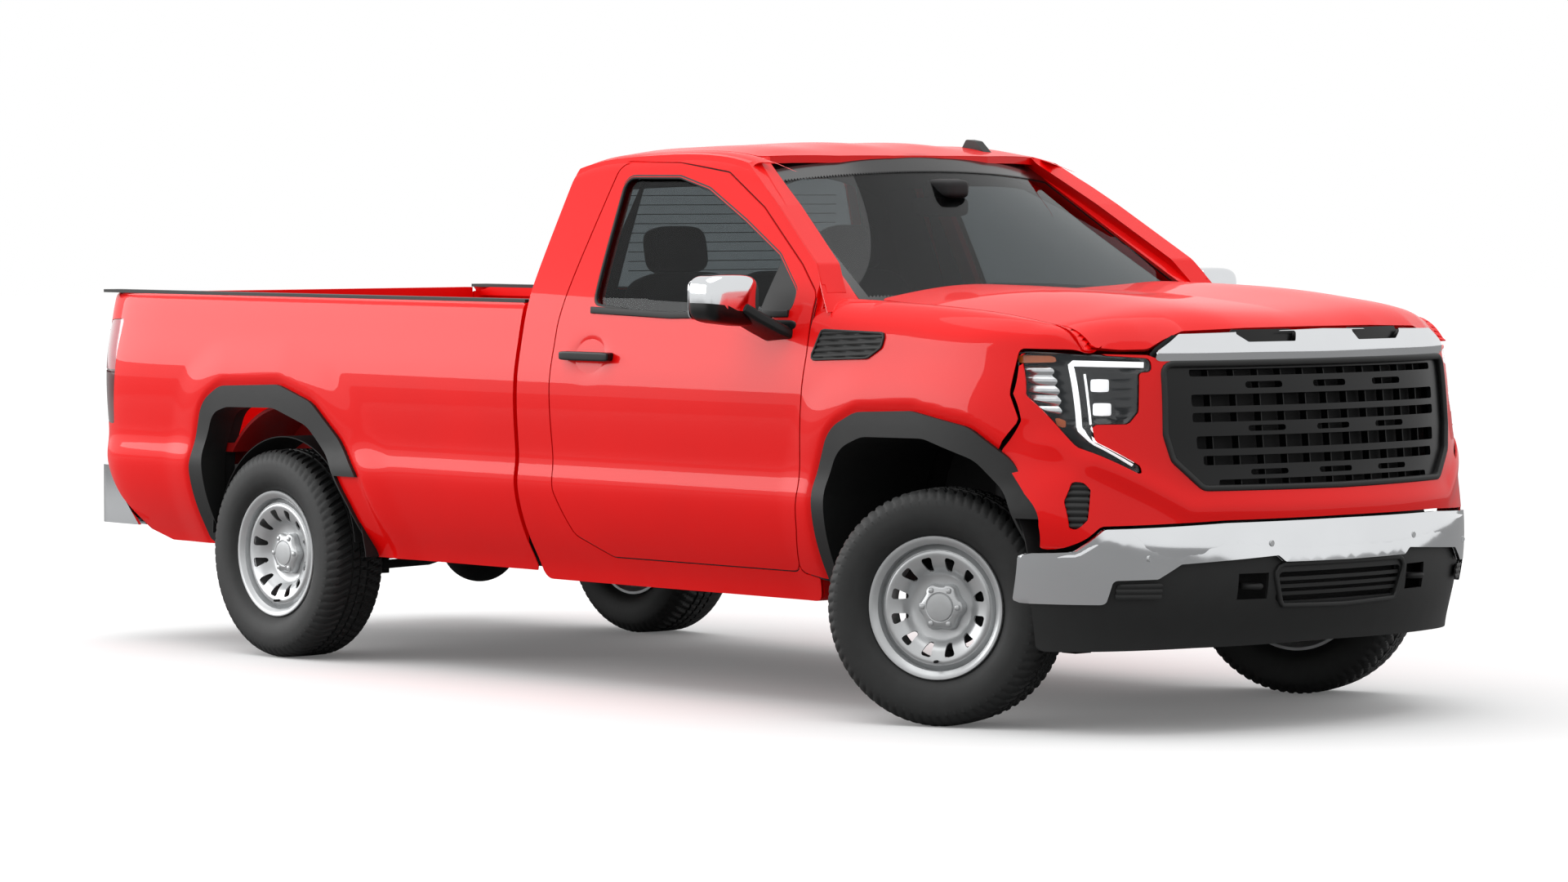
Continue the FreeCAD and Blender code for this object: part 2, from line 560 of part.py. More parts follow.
# Nose: how far ahead of the front axle each level lies, from the middle out to the side
NOSE_ACROSS_SHARES = (0.0, 0.30, 0.55, 0.74, 0.86, 0.94, 0.985)
NOSE_SHARES = (
    (0.20, (0.940, 0.918, 0.852, 0.755, 0.640, 0.500, 0.36)), (0.40, (0.965, 0.943, 0.877, 0.780, 0.668, 0.530, 0.40)),
    (0.60, (0.985, 0.962, 0.897, 0.805, 0.700, 0.568, 0.43)), (0.80, (0.952, 0.930, 0.874, 0.782, 0.680, 0.545, 0.41)),
    (1.00, (0.932, 0.910, 0.856, 0.758, 0.640, 0.495, 0.38)), (1.22, (0.893, 0.877, 0.826, 0.728, 0.592, 0.430, 0.32)),
    (1.36, (0.850, 0.836, 0.784, 0.685, 0.545, 0.380, 0.27)),
)
FASCIA_SHARES = (
    (0.02, 0.699), (0.49, 0.697), (0.848, 0.682), (0.908, 0.608), (0.978, 0.600), (0.978, 0.920), (0.938, 1.000),
    (0.930, 1.237), (0.700, 1.222), (0.660, 1.205), (0.02, 1.205),
)
GRILLE_SHARES = ((0.02, 0.786), (0.555, 0.790), (0.648, 0.885), (0.668, 0.970), (0.660, 1.206), (0.02, 1.206))
LAMP_SHARES = (
    (0.924, 1.233), (0.688, 1.214), (0.688, 1.173), (0.723, 1.173), (0.733, 1.046), (0.760, 1.008), (0.845, 1.006),
    (0.842, 0.950), (0.740, 0.874), (0.738, 0.845), (0.876, 0.934), (0.937, 1.096),
)
HEADER_SHARES = ((0.02, 1.206), (0.660, 1.206), (0.674, 1.212), (0.668, 1.240), (0.590, 1.292), (0.02, 1.302))
HEADER_SLOT_SHARES = ((0.17, 1.236), (0.50, 1.236), (0.50, 1.272), (0.17, 1.276))
BUMPER_SHARES = (
    (0.02, 0.690), (0.49, 0.688), (0.845, 0.672), (0.903, 0.600), (0.975, 0.590), (0.975, 0.430), (0.834, 0.431),
    (0.824, 0.509), (0.712, 0.513), (0.645, 0.560), (0.309, 0.580), (0.280, 0.558), (0.02, 0.556),
)
VALANCE_SHARES = (
    (0.02, 0.60), (0.80, 0.60), (0.955, 0.43), (0.955, 0.32), (0.92, 0.275), (0.55, 0.285), (0.02, 0.290),
)
INTAKE_SHARES = ((0.02, 0.428), (0.292, 0.428), (0.282, 0.523), (0.02, 0.523))
# Wheel arches about their axle: the cut in the panel, then the moulding's outer edge
FRONT_ARCH_SHARES = (
    (-0.93, -0.80), (-0.900, 0.166), (-0.856, 0.758), (-0.730, 1.026), (-0.480, 1.118), (0.116, 1.126),
    (0.564, 0.998), (0.800, 0.796), (0.936, 0.476), (1.00, 0.20), (1.02, -0.80),
)
FRONT_LIP_SHARES = (
    (-1.000, -0.05), (-0.992, 0.166), (-0.964, 0.750), (-0.800, 1.144), (-0.532, 1.264), (0.0, 1.286),
    (0.516, 1.196), (0.856, 0.984), (1.040, 0.644), (1.090, 0.42),
)
REAR_ARCH_SHARES = (
    (-0.88, -0.80), (-0.850, 0.118), (-0.820, 0.756), (-0.680, 1.052), (-0.490, 1.104), (0.110, 1.114),
    (0.520, 0.992), (0.784, 0.758), (0.956, 0.416), (1.06, 0.05), (1.08, -0.80),
)
REAR_LIP_SHARES = (
    (-0.996, 0.04), (-0.994, 0.152), (-0.980, 0.612), (-0.808, 1.116), (-0.570, 1.246), (0.170, 1.274),
    (0.576, 1.154), (0.886, 0.894), (1.106, 0.634), (1.256, 0.160), (1.27, 0.04),
)
BED_SIDE_SHARES = (
    (0, 1.352), (0, 0.400), (-0.60, 0.402), (-0.70, 0.440), (-0.80, 0.56), (-0.885, 0.70), (-0.895, 1.250),
    (-0.865, 1.330), (-0.800, 1.352),
)
TAIL_LAMP_SHARES = (
    (-0.760, 1.255), (-0.880, 1.246), (-0.93, 1.20), (-0.93, 0.86), (-0.870, 0.845), (-0.805, 0.845),
)
REAR_BUMPER_PLAN_SHARES = (
    (0.0, 0.05), (0.0, 0.70), (0.03, 0.86), (0.08, 0.925), (0.34, 0.940), (0.34, 0.895), (0.13, 0.88),
    (0.105, 0.80), (0.105, 0.05),
)
REAR_BUMPER_RISE_SHARES = (0.455, 0.680)
# Frame rail in side view
RAIL_SHARES = (
    ("rear", -0.89, 0.56), ("rear", 0.55, 0.56), ("rear", 0.85, 0.41), ("front", -0.55, 0.41),
    ("front", -0.28, 0.47), ("front", 0.83, 0.47), ("front", 0.83, 0.61), ("front", -0.25, 0.61),
    ("front", -0.55, 0.55), ("rear", 0.85, 0.55), ("rear", 0.55, 0.70), ("rear", -0.89, 0.70),
)
LEAF_SHARES = ((0.50, 0.45), (0.25, -0.10), (0.05, -0.28), (-0.05, -0.28), (-0.27, -0.05), (-0.543, 0.60))
# Wheel and tyre in section: shares of the rim's radius and half width, then of the tyre's
WHEEL_SHARES = (
    (0.0, 0.598), (0.194, 0.598), (0.361, 0.542), (0.370, 0.337), (0.444, 0.337), (0.509, 0.374), (0.602, 0.617),
    (0.694, 0.748), (0.787, 0.822), (0.852, 0.822), (0.907, 0.692), (0.954, 0.598), (0.963, 0.860), (1.046, 1.0),
    (1.093, 1.0), (1.093, 0.916), (1.028, 0.879), (1.0, 0.841), (0.991, 0.561), (0.861, 0.421), (0.861, -0.047),
    (0.981, -0.374), (1.0, -0.841), (1.028, -0.879), (1.093, -0.916), (1.093, -1.0), (1.046, -1.0),
    (0.972, -0.822), (0.949, -0.393), (0.824, -0.075), (0.824, 0.411), (0.796, 0.692), (0.694, 0.673),
    (0.579, 0.542), (0.481, 0.318), (0.444, 0.262), (0.205, 0.262), (0.205, 0.467), (0.0, 0.467),
)
TYRE_OUTER_SHARES = (
    (0.555, 0.58), (0.555, 0.675), (0.572, 0.705), (0.608, 0.735), (0.641, 0.848), (0.718, 0.970), (0.795, 1.0),
    (0.885, 0.977), (0.954, 0.886), (0.985, 0.788), (1.0, 0.530),
)
TYRE_INNER_SHARES = ((0.615, 0.60), (0.692, 0.84), (0.795, 0.905), (0.905, 0.85), (0.962, 0.64))


def roof_face():
    """The roof's outer face, wide enough to trim the side rails."""
    rows = []
    for along, rise in ROOF_CROWN_SHARES:
        x = FRONT_AXLE + along * s.cab_length
        top = rise * s.crown_height
        rows.append([(x, across * s.flank_half_width, top - drop * s.crown_height)
                     for across, drop in ROOF_ARC_SHARES])
    return surface(rows)


def roof_plan(gap=0.0):
    """The roof panel's plan outline, grown by a gap."""
    points = [(FRONT_AXLE + a * s.cab_length, b * s.flank_half_width) for a, b in ROOF_PLAN_SHARES]
    return plan_prism(offset_points(points, gap) if gap else points, 0, 2 * s.crown_height, WINDOW_CORNER)


def make_roof():
    """Roof panel, crowned both ways, between the side rails."""
    return slab(ROOF, Vector(), Vector(0, 0, -s.roof_wall)).common(roof_plan())


def over_roof(gap):
    """The space above the roof's outer face."""
    return slab(ROOF, Vector(0, 0, gap), Vector(0, 0, s.shoulder_height))


def screen_face():
    """The windshield's outer face."""
    rows = []
    for up_share in (0.0, 0.33, 0.67, 1.0):
        row = []
        for across in (-1.0, -0.6, -0.25, 0.25, 0.6, 1.0):
            low_half, high_half = SCREEN_HALF_SHARES
            half = (low_half + (high_half - low_half) * up_share) * s.flank_half_width
            low_x, high_x = SCREEN_STATION_SHARES
            bow = s.screen_bow * across * across
            x = FRONT_AXLE + (low_x + (high_x - low_x) * up_share) * s.cab_length - bow
            low_z, high_z = SCREEN_RISE_SHARES
            droop = 0.4 * s.screen_bow * up_share * across * across
            z = (low_z + (high_z - low_z) * up_share) * s.shoulder_height - droop
            row.append((x, across * half, z))
        rows.append(row)
    return surface(rows)


def make_cab_glass():
    """Windshield and rear window."""
    screen = slab(SCREEN, Vector(), Vector(-s.glass_wall, 0, -s.glass_wall))
    back = FRONT_AXLE - s.cab_back
    rear = front_prism([(a * s.flank_half_width, b * s.shoulder_height) for a, b in REAR_WINDOW_SHARES],
                       back + s.seat_gap, back + s.glass_wall, WINDOW_CORNER)
    return Part.makeCompound([screen, rear])


ROOF = roof_face()
SCREEN = screen_face()


def screen_pocket():
    """The room that the windshield's edge takes in the pillars."""
    return slab(SCREEN, Vector(s.seat_gap, 0, s.seat_gap), Vector(-2 * s.glass_wall, 0, -2 * s.glass_wall))


def hood_face():
    """The hood's crowned outer face, from cowl to header, with two raised ridges."""
    rows = []
    for along, levels in HOOD_LEVEL_SHARES:
        x = FRONT_AXLE + along * s.front_overhang
        row = [(x, across * s.hood_half_width, level * s.shoulder_height)
               for across, level in zip(HOOD_ACROSS_SHARES, levels)]
        rows.append([(px, -py, pz) for px, py, pz in reversed(row[1:])] + row)
    return surface(rows)


HOOD = hood_face()


def make_hood():
    """Hood on its rear hinge pins."""
    skin = slab(HOOD, Vector(), Vector(0, 0, -s.hood_wall))
    half = [(FRONT_AXLE + a * s.front_overhang, b * s.hood_half_width) for a, b in HOOD_PLAN_SHARES]
    outline = plan_prism(half + [(x, -y) for x, y in reversed(half)], 0, 2 * s.shoulder_height, WINDOW_CORNER)
    hood = skin.common(outline)
    lugs = []
    for side in (-1, 1):
        y = side * s.hood_hinge_half
        arm = box((HOOD_HINGE_X, y - s.hood_wall / 2, HOOD_HINGE_Z - s.hood_wall / 2),
                  (HOOD_HINGE_X + 4 * s.hood_wall, y + s.hood_wall / 2, HOOD_HINGE_Z + 1.6 * s.hood_wall))
        eye = rod((HOOD_HINGE_X, y - s.hood_wall / 2, HOOD_HINGE_Z),
                  (HOOD_HINGE_X, y + s.hood_wall / 2, HOOD_HINGE_Z), 2 * s.hinge_pin)
        bore = rod((HOOD_HINGE_X, y - s.hood_wall, HOOD_HINGE_Z),
                   (HOOD_HINGE_X, y + s.hood_wall, HOOD_HINGE_Z), s.hinge_pin + s.seat_gap)
        lugs.append(arm.common(under_hood()).fuse(eye).cut(bore))
    return fused([hood] + lugs)


def under_hood():
    """The space from the hood's outer face down."""
    return slab(HOOD, Vector(), Vector(0, 0, -s.shoulder_height))


def make_cowl():
    """Cowl panel between hood and windshield, with the hood's hinge pins on two ears."""
    half = [(FRONT_AXLE + a * s.front_overhang, b * s.hood_half_width) for a, b in COWL_PLAN_SHARES]
    outline = half + [(x, -y) for x, y in reversed(half)]
    top = HOOD_HINGE_Z - s.hood_wall
    panel = plan_prism(outline, top - s.panel_wall, top)
    parts = [panel]
    for side in (-1, 1):
        y = side * s.hood_hinge_half
        for step in (-1, 1):
            middle = y + step * (s.hood_wall / 2 + s.panel_gap + s.hinge_pin)
            ear = box((HOOD_HINGE_X - 2 * s.hinge_pin, middle - s.hinge_pin, top - s.panel_wall),
                      (HOOD_HINGE_X + 2 * s.hinge_pin, middle + s.hinge_pin, HOOD_HINGE_Z + s.hinge_pin))
            parts.append(ear)
        reach = s.hood_wall / 2 + s.panel_gap + 2 * s.hinge_pin
        parts.append(rod((HOOD_HINGE_X, y - reach, HOOD_HINGE_Z), (HOOD_HINGE_X, y + reach, HOOD_HINGE_Z),
                         s.hinge_pin))
    return fused(parts)


def make_fender():
    """Left fender: flank skin from door to lamp with the wheel arch cut, and a shelf along the hood."""
    outer = s.flank_half_width + s.overrun
    outline = side_prism([(FRONT_AXLE + a * s.front_overhang, b * s.shoulder_height) for a, b in FENDER_SHARES],
                         0.4 * outer, outer, WINDOW_CORNER)
    side = flank_slab(0, s.panel_wall).common(outline).cut([front_arch(), over_shoulder()])
    shelf = [(FRONT_AXLE + a * s.front_overhang, b * s.flank_half_width) for a, b in SHELF_PLAN_SHARES]
    skin = slab(SHOULDER, Vector(), Vector(0, 0, -s.panel_wall))
    top = skin.common(plan_prism(shelf, 0, 2 * s.shoulder_height))
    inside = flank_slab(0, s.flank_half_width).common(outline)
    return fused([side, top.common(inside)])


def front_arch():
    """The left front wheel arch's opening."""
    return side_prism(arch_points(FRONT_AXLE, FRONT_ARCH_SHARES), 0, s.flank_half_width + s.overrun, ARCH_CORNER)


def fender_prism(gap):
    """The left fender's side outline grown by a gap, through the body's outer part."""
    outer = s.flank_half_width + s.overrun
    points = [(FRONT_AXLE + a * s.front_overhang, b * s.shoulder_height) for a, b in FENDER_SHARES]
    return side_prism(offset_points(points, gap), 0.4 * outer, outer, WINDOW_CORNER)


def front_lip():
    """The room under the left front arch moulding."""
    points = offset_points(arch_points(FRONT_AXLE, FRONT_LIP_SHARES), s.seat_gap)
    return side_prism(points, 0, s.flank_half_width + s.overrun, ARCH_CORNER)


def fender_room():
    """The room that the fender takes out of the cab's front pillar."""
    skin = flank_slab(-s.overrun, s.overrun + s.panel_wall + s.seat_gap)
    shelf = [(FRONT_AXLE + a * s.front_overhang, b * s.flank_half_width) for a, b in SHELF_PLAN_SHARES]
    top = slab(SHOULDER, Vector(0, 0, s.overrun), Vector(0, 0, -s.overrun - s.panel_wall - s.seat_gap))
    return [skin.common(fender_prism(s.seat_gap)),
            top.common(plan_prism(offset_points(shelf, s.seat_gap), 0, 2 * s.shoulder_height))]


def hood_room():
    """The room round the closed hood."""
    half = [(FRONT_AXLE + a * s.front_overhang, b * s.hood_half_width) for a, b in HOOD_PLAN_SHARES]
    outline = offset_points(half + [(x, -y) for x, y in reversed(half)], s.panel_gap)
    room = slab(HOOD, Vector(0, 0, s.overrun), Vector(0, 0, -s.overrun - s.hood_wall - s.panel_gap))
    return room.common(plan_prism(outline, 0, 2 * s.shoulder_height))


def over_shoulder():
    """The space above the fender's top face."""
    return slab(SHOULDER, Vector(), Vector(0, 0, s.shoulder_height))


def shoulder_face():
    """The top of the fender beside the hood."""
    rows = []
    for along, levels in SHOULDER_LEVEL_SHARES:
        x = FRONT_AXLE + along * s.front_overhang
        rows.append([(x, across * s.flank_half_width, level * s.shoulder_height)
                     for across, level in zip(SHOULDER_ACROSS_SHARES, levels)])
    return surface(rows)


def nose_face():
    """The front of the body: grille, lamps and bumper lie on it."""
    rows = []
    for level, stations in NOSE_SHARES:
        half = [(FRONT_AXLE + a * s.front_overhang, across * s.flank_half_width, level * s.shoulder_height)
                for across, a in zip(NOSE_ACROSS_SHARES, stations)]
        rows.append([(x, -y, z) for x, y, z in reversed(half[1:])] + half)
    return surface(rows)


def nose_points(shares):
    """Front-view outline points of (y, z) from shares of the half width and the shoulder height."""
    return [(a * s.flank_half_width, b * s.shoulder_height) for a, b in shares]


def whole_outline(shares):
    """A left half outline with its mirror image."""
    half = nose_points(shares)
    return half + [(-y, z) for y, z in reversed(half)]


def nose_slab(start, depth):
    """The nose from start to start + depth behind its face."""
    return slab(NOSE, Vector(-start, 0, 0), Vector(-depth, 0, 0))


SHOULDER = shoulder_face()
NOSE = nose_face()


def nose_cut(points, radius=0.0):
    """A front-view outline as a solid that covers the whole nose."""
    return front_prism(points, 0, FRONT_AXLE + 2 * s.front_overhang, radius)


def make_front_fascia():
    """Painted fascia round grille and lamps, down to the bumper."""
    outline = nose_cut(whole_outline(FASCIA_SHARES), WINDOW_CORNER)
    grille = nose_cut(whole_outline(GRILLE_SHARES), WINDOW_CORNER)
    lamp = nose_cut(nose_points(LAMP_SHARES), s.panel_wall)
    side = [front_lip(), fender_prism(s.seat_gap)]
    fascia = nose_slab(0, s.fascia_wall).common(outline)
    return biggest(fascia.cut([grille, lamp, mirrored(lamp), hood_room()] + side + [mirrored(part) for part in side]))


def make_headlamps():
    """Both headlamps."""
    lamp = nose_cut(inset(LAMP_SHARES), s.panel_wall)
    whole = nose_slab(s.seat_gap, s.lamp_depth).common(lamp)
    shelf = slab(SHOULDER, Vector(0, 0, -s.panel_wall - s.seat_gap), Vector(0, 0, s.shoulder_height))
    return both_sides(biggest(whole.cut([front_arch(), fender_prism(s.seat_gap), shelf])))


def inset(shares):
    """Outline points drawn in by the seat gap."""
    return offset_points(nose_points(shares), -s.seat_gap)


def make_grille():
    """Grille: a frame, four stepped bars with slots and a wall behind them."""
    points = offset_points(whole_outline(GRILLE_SHARES), -s.seat_gap)
    outline = nose_cut(points, WINDOW_CORNER)
    core = nose_cut(offset_points(points, -s.grille_rim), WINDOW_CORNER)
    rim = nose_slab(s.seat_gap, s.grille_depth).common(outline.cut(core))
    parts = [rim]
    low = min(z for _, z in points)
    high = max(z for _, z in points)
    pitch = (high - low) / s.grille_bars
    for bar in range(int(s.grille_bars)):
        base = low + (bar + 0.5) * pitch - s.bar_height / 2
        band = box((0, -s.flank_half_width, base),
                   (2 * s.front_overhang + FRONT_AXLE, s.flank_half_width, base + s.bar_height))
        parts.append(nose_slab(s.bar_inset, s.bar_depth).common(band).common(outline))
    post_pitch = 2 * s.flank_half_width / s.grille_posts
    for post in range(int(s.grille_posts) + 1):
        y = -s.flank_half_width + post * post_pitch
        band = box((0, y - s.post_wall / 2, low), (2 * s.front_overhang + FRONT_AXLE, y + s.post_wall / 2, high))
        parts.append(nose_slab(s.bar_inset + s.bar_depth / 2, s.bar_depth / 2).common(band).common(outline))
    return fused([part for part in parts if part.Volume > 0])


def make_header():
    """Chrome bar over the grille."""
    outline = nose_cut(whole_outline(HEADER_SHARES), s.panel_wall)
    slots = nose_cut(nose_points(HEADER_SLOT_SHARES), s.panel_wall)
    bar = nose_slab(0, s.header_depth).common(outline)
    cut = slots.common(nose_slab(-s.overrun, s.overrun + s.header_depth / 2))
    return biggest(bar.cut([cut, mirrored(cut), hood_room()]))


def make_front_bumper():
    """Chrome front bumper with its angled cut-ups."""
    outline = nose_cut(whole_outline(BUMPER_SHARES), s.panel_wall)
    arch = front_arch()
    chrome = biggest(bumper_slab(0, s.bumper_wall).common(outline).cut([arch, mirrored(arch)]))
    rail_top = RAIL_SHARES[6][2] * s.shoulder_height + s.seat_gap
    tip = plan_station("front", RAIL_SHARES[6][1])
    brackets = [box((tip - s.rail_width, min(way * s.rail_half_gap, way * (s.rail_half_gap + s.rail_width)), rail_top),
                    (tip + 2 * s.rail_width, max(way * s.rail_half_gap, way * (s.rail_half_gap + s.rail_width)),
                     rail_top + s.member_height)) for way in (-1, 1)]
    behind = bumper_slab(s.bumper_wall / 2, s.front_overhang)
    return fused([chrome] + [bracket.common(behind) for bracket in brackets])


def bumper_slab(start, depth):
    """The bumper's own face, a little ahead of the nose."""
    return slab(NOSE, Vector(s.bumper_stand - start, 0, 0), Vector(-depth, 0, 0))


def make_valance():
    """Black lower valance with its intake, and the air dam."""
    outline = nose_cut(whole_outline(VALANCE_SHARES), s.panel_wall)
    intake = nose_cut(whole_outline(INTAKE_SHARES), s.panel_wall)
    windows = [box((0, side * s.hook_half - 2 * s.hook_radius, s.hook_height - 1.5 * s.hook_radius),
                   (FRONT_AXLE + 2 * s.front_overhang, side * s.hook_half + 2 * s.hook_radius,
                    s.hook_height + 1.5 * s.hook_radius)) for side in (-1, 1)]
    arch = front_arch()
    shell = bumper_slab(s.valance_inset, s.bumper_wall).common(outline)
    shell = shell.cut([intake, arch, mirrored(arch)] + windows)
    bars = []
    pitch = s.intake_pitch
    low = INTAKE_SHARES[0][1] * s.shoulder_height
    for step in range(1, int(s.intake_bars) + 1):
        band = box((0, -s.flank_half_width, low + step * pitch - s.post_wall),
                   (2 * s.front_overhang + FRONT_AXLE, s.flank_half_width, low + step * pitch + s.post_wall))
        bars.append(bumper_slab(s.valance_inset + s.post_wall, 2 * s.post_wall).common(band)
                    .common(nose_cut(offset_points(whole_outline(INTAKE_SHARES), s.post_wall))))
    seat = bumper_slab(s.bumper_wall + s.seat_gap, s.valance_inset)
    tabs = [seat.common(box((0, way * share * s.flank_half_width - s.overrun / 2, 0.57 * s.shoulder_height),
                            (FRONT_AXLE + 2 * s.front_overhang, way * share * s.flank_half_width + s.overrun / 2,
                             VALANCE_SHARES[0][1] * s.shoulder_height))) for way in (-1, 1) for share in (0.20, 0.52)]
    return fused([shell] + bars + tabs)


def make_bed_box():
    """Load floor, front wall and two hollow wheelhouses."""
    tail = TAIL_HINGE_X + 2 * s.tail_pin + s.panel_gap / 2
    front = BED_FRONT
    half = s.bed_half_width - s.seat_gap
    floor = box((tail, -half, s.bed_floor_height - s.bed_sheet), (front, half, s.bed_floor_height))
    ribs = []
    pitch = 2 * half / (s.bed_ribs + 1)
    for rib in range(1, int(s.bed_ribs) + 1):
        y = -half + rib * pitch
        ribs.append(box((tail - s.seat_gap, y - pitch / 4, s.bed_floor_height - s.rib_depth),
                        (front - s.bed_wall, y + pitch / 4, s.bed_floor_height + s.seat_gap)))
    floor = floor.cut(ribs)
    wall = box((front - s.bed_wall, -half, s.bed_floor_height - s.bed_sheet), (front, half, s.bed_rail_height))
    parts = [floor, wall]
    for share in (-0.70, -0.42, 0.42, 0.52, 1.05):
        x = REAR_AXLE + share * s.rear_overhang
        parts.append(box((x - s.overrun / 2, -half, s.bed_floor_height - s.bed_sheet - s.sill_height + s.seat_gap),
                         (x + s.overrun / 2, half, s.bed_floor_height - s.bed_sheet)))
    hollows = []
    for side in (-1, 1):
        low, high = sorted((side * s.house_half_gap, side * half))
        outer = rod((REAR_AXLE, low, AXLE_HEIGHT + s.house_rise), (REAR_AXLE, high, AXLE_HEIGHT + s.house_rise),
                    s.house_radius)
        skirt = box((REAR_AXLE - s.house_radius, low, AXLE_HEIGHT),
                    (REAR_AXLE + s.house_radius, high, AXLE_HEIGHT + s.house_rise))
        above = box((REAR_AXLE - 2 * s.house_radius, low, s.bed_floor_height - s.bed_sheet),
                    (REAR_AXLE + 2 * s.house_radius, high, 2 * s.shoulder_height))
        parts.append(outer.fuse(skirt).common(above))
        inner_low, inner_high = sorted((side * (s.house_half_gap + s.house_wall), side * (half + s.overrun)))
        bore = rod((REAR_AXLE, inner_low, AXLE_HEIGHT + s.house_rise),
                   (REAR_AXLE, inner_high, AXLE_HEIGHT + s.house_rise), s.house_radius - s.house_wall)
        well = box((REAR_AXLE - s.house_radius + s.house_wall, inner_low, 0),
                   (REAR_AXLE + s.house_radius - s.house_wall, inner_high, AXLE_HEIGHT + s.house_rise))
        hollows.append(bore.fuse(well))
    notches = [box((tail, min(way * (s.bed_half_width - s.rail_lip - s.seat_gap), way * s.bed_half_width),
                    s.bed_rail_height - s.rail_lip - s.seat_gap),
                   (front, max(way * (s.bed_half_width - s.rail_lip - s.seat_gap), way * s.bed_half_width),
                    2 * s.bed_rail_height)) for way in (-1, 1)]
    return fused(parts).cut(hollows + notches)


def bed_side_points():
    """The bed side's outline in side view."""
    return [(REAR_AXLE + a * s.rear_overhang if a < 0 else BED_FRONT, b * s.shoulder_height)
            for a, b in BED_SIDE_SHARES]


def make_bed_side():
    """Left bed side: outer skin to inner wall as one closed panel, wheel arch cut through."""
    outer = s.flank_half_width + s.overrun
    outline = side_prism(bed_side_points(), 0, outer, s.panel_wall)
    arch = side_prism(arch_points(REAR_AXLE, REAR_ARCH_SHARES), 0, outer, ARCH_CORNER)
    panel = flank_slab(0, s.flank_half_width).common(outline)
    tail = REAR_AXLE - s.bed_tail
    post = box((tail, s.tailgate_half_width + s.panel_gap, TAIL_HINGE_Z - 3 * s.tail_pin),
               (tail + s.tailgate_wall + s.panel_gap, s.bed_half_width + s.seat_gap, s.bed_rail_height)).common(panel)
    inner = box((-s.wheel_base, 0, 0), (s.wheel_base, s.bed_half_width, s.bed_rail_height - s.rail_lip))
    flange = box((-s.wheel_base, 0, 0), (s.wheel_base, s.bed_half_width - s.rail_lip, 2 * s.bed_rail_height))
    lower = box((-s.wheel_base, 0, 0), (s.wheel_base, s.bed_half_width + s.rail_lip,
                                        s.bed_floor_height - s.bed_sheet - s.seat_gap))
    side = panel.cut([inner, flange, lower, arch]).fuse(post).cut(lamp_pocket())
    pin_hole = rod((TAIL_HINGE_X, s.tailgate_half_width - s.overrun, TAIL_HINGE_Z),
                   (TAIL_HINGE_X, s.tailgate_half_width + s.overrun, TAIL_HINGE_Z), s.tail_pin + s.seat_gap)
    return side.cut(pin_hole)


def lamp_pocket():
    """Where the tail lamp sits in the bed side's rear corner."""
    outline = side_prism([(REAR_AXLE + a * s.rear_overhang, b * s.shoulder_height) for a, b in TAIL_LAMP_SHARES],
                         s.tail_lamp_half, s.flank_half_width + s.overrun, s.panel_wall)
    return outline


def make_tail_lamps():
    """Both tail lamps in the bed side's rear corners."""
    outline = side_prism(offset_points([(REAR_AXLE + a * s.rear_overhang, b * s.shoulder_height)
                                        for a, b in TAIL_LAMP_SHARES], -s.seat_gap),
                         s.tail_lamp_half + s.seat_gap, s.flank_half_width + s.overrun, s.panel_wall)
    return both_sides(flank_slab(-s.seat_gap, s.flank_half_width).common(outline))


def make_tailgate():
    """Tailgate with a recessed handle and pivot pins at its lower corners."""
    high = s.bed_rail_height
    low = s.bed_floor_height - s.bed_sheet / 2
    front = TAIL_HINGE_X + s.tail_pin
    gate = box((front - s.tailgate_wall, -s.tailgate_half_width, low - s.tail_pin / 2),
               (front, s.tailgate_half_width, high))
    recess = box((front - s.tailgate_wall - s.overrun, -s.handle_half, high - 3.2 * s.tailgate_wall),
                 (front - 0.6 * s.tailgate_wall, s.handle_half, high - 1.6 * s.tailgate_wall))
    handle = box((front - 0.9 * s.tailgate_wall, -0.9 * s.handle_half, high - 2.6 * s.tailgate_wall),
                 (front - 0.5 * s.tailgate_wall, 0.9 * s.handle_half, high - 2.1 * s.tailgate_wall))
    pins = [rod((TAIL_HINGE_X, side * (s.tailgate_half_width - s.overrun), TAIL_HINGE_Z),
                (TAIL_HINGE_X, side * (s.tailgate_half_width + s.overrun - s.seat_gap), TAIL_HINGE_Z),
                s.tail_pin) for side in (-1, 1)]
    return fused([gate.cut(recess), handle] + pins)


def make_rear_bumper():
    """Step bumper: bar, corner steps, and the ball hole in its middle pad."""
    rear = REAR_AXLE - s.rear_overhang
    points = [(rear + a * s.rear_overhang, b * s.flank_half_width) for a, b in REAR_BUMPER_PLAN_SHARES]
    outline = points + [(x, -y) for x, y in reversed(points)]
    low, high = [share * s.shoulder_height for share in REAR_BUMPER_RISE_SHARES]
    bar = plan_prism(outline, low, high, s.overrun)
    hollow = plan_prism(offset_points(outline, -s.bumper_wall), low - s.overrun, high - s.step_wall)
    ball = rod((rear + s.ball_setback, 0, low), (rear + s.ball_setback, 0, high + s.overrun), s.ball_hole)
    rail_end = plan_station("rear", RAIL_SHARES[0][1])
    middle = s.rail_half_gap + s.rail_width / 2
    mounts = [box((rear + s.bumper_wall / 2, side * middle - s.step_wall, high - s.member_height),
                  (rail_end - s.seat_gap, side * middle + s.step_wall, high - s.step_wall / 2)) for side in (-1, 1)]
    side = side_prism(offset_points(bed_side_points(), s.panel_gap), s.bed_half_width - s.panel_gap,
                      s.flank_half_width + s.overrun, s.panel_wall)
    return fused([bar.cut(hollow)] + mounts).cut([ball, side, mirrored(side)])


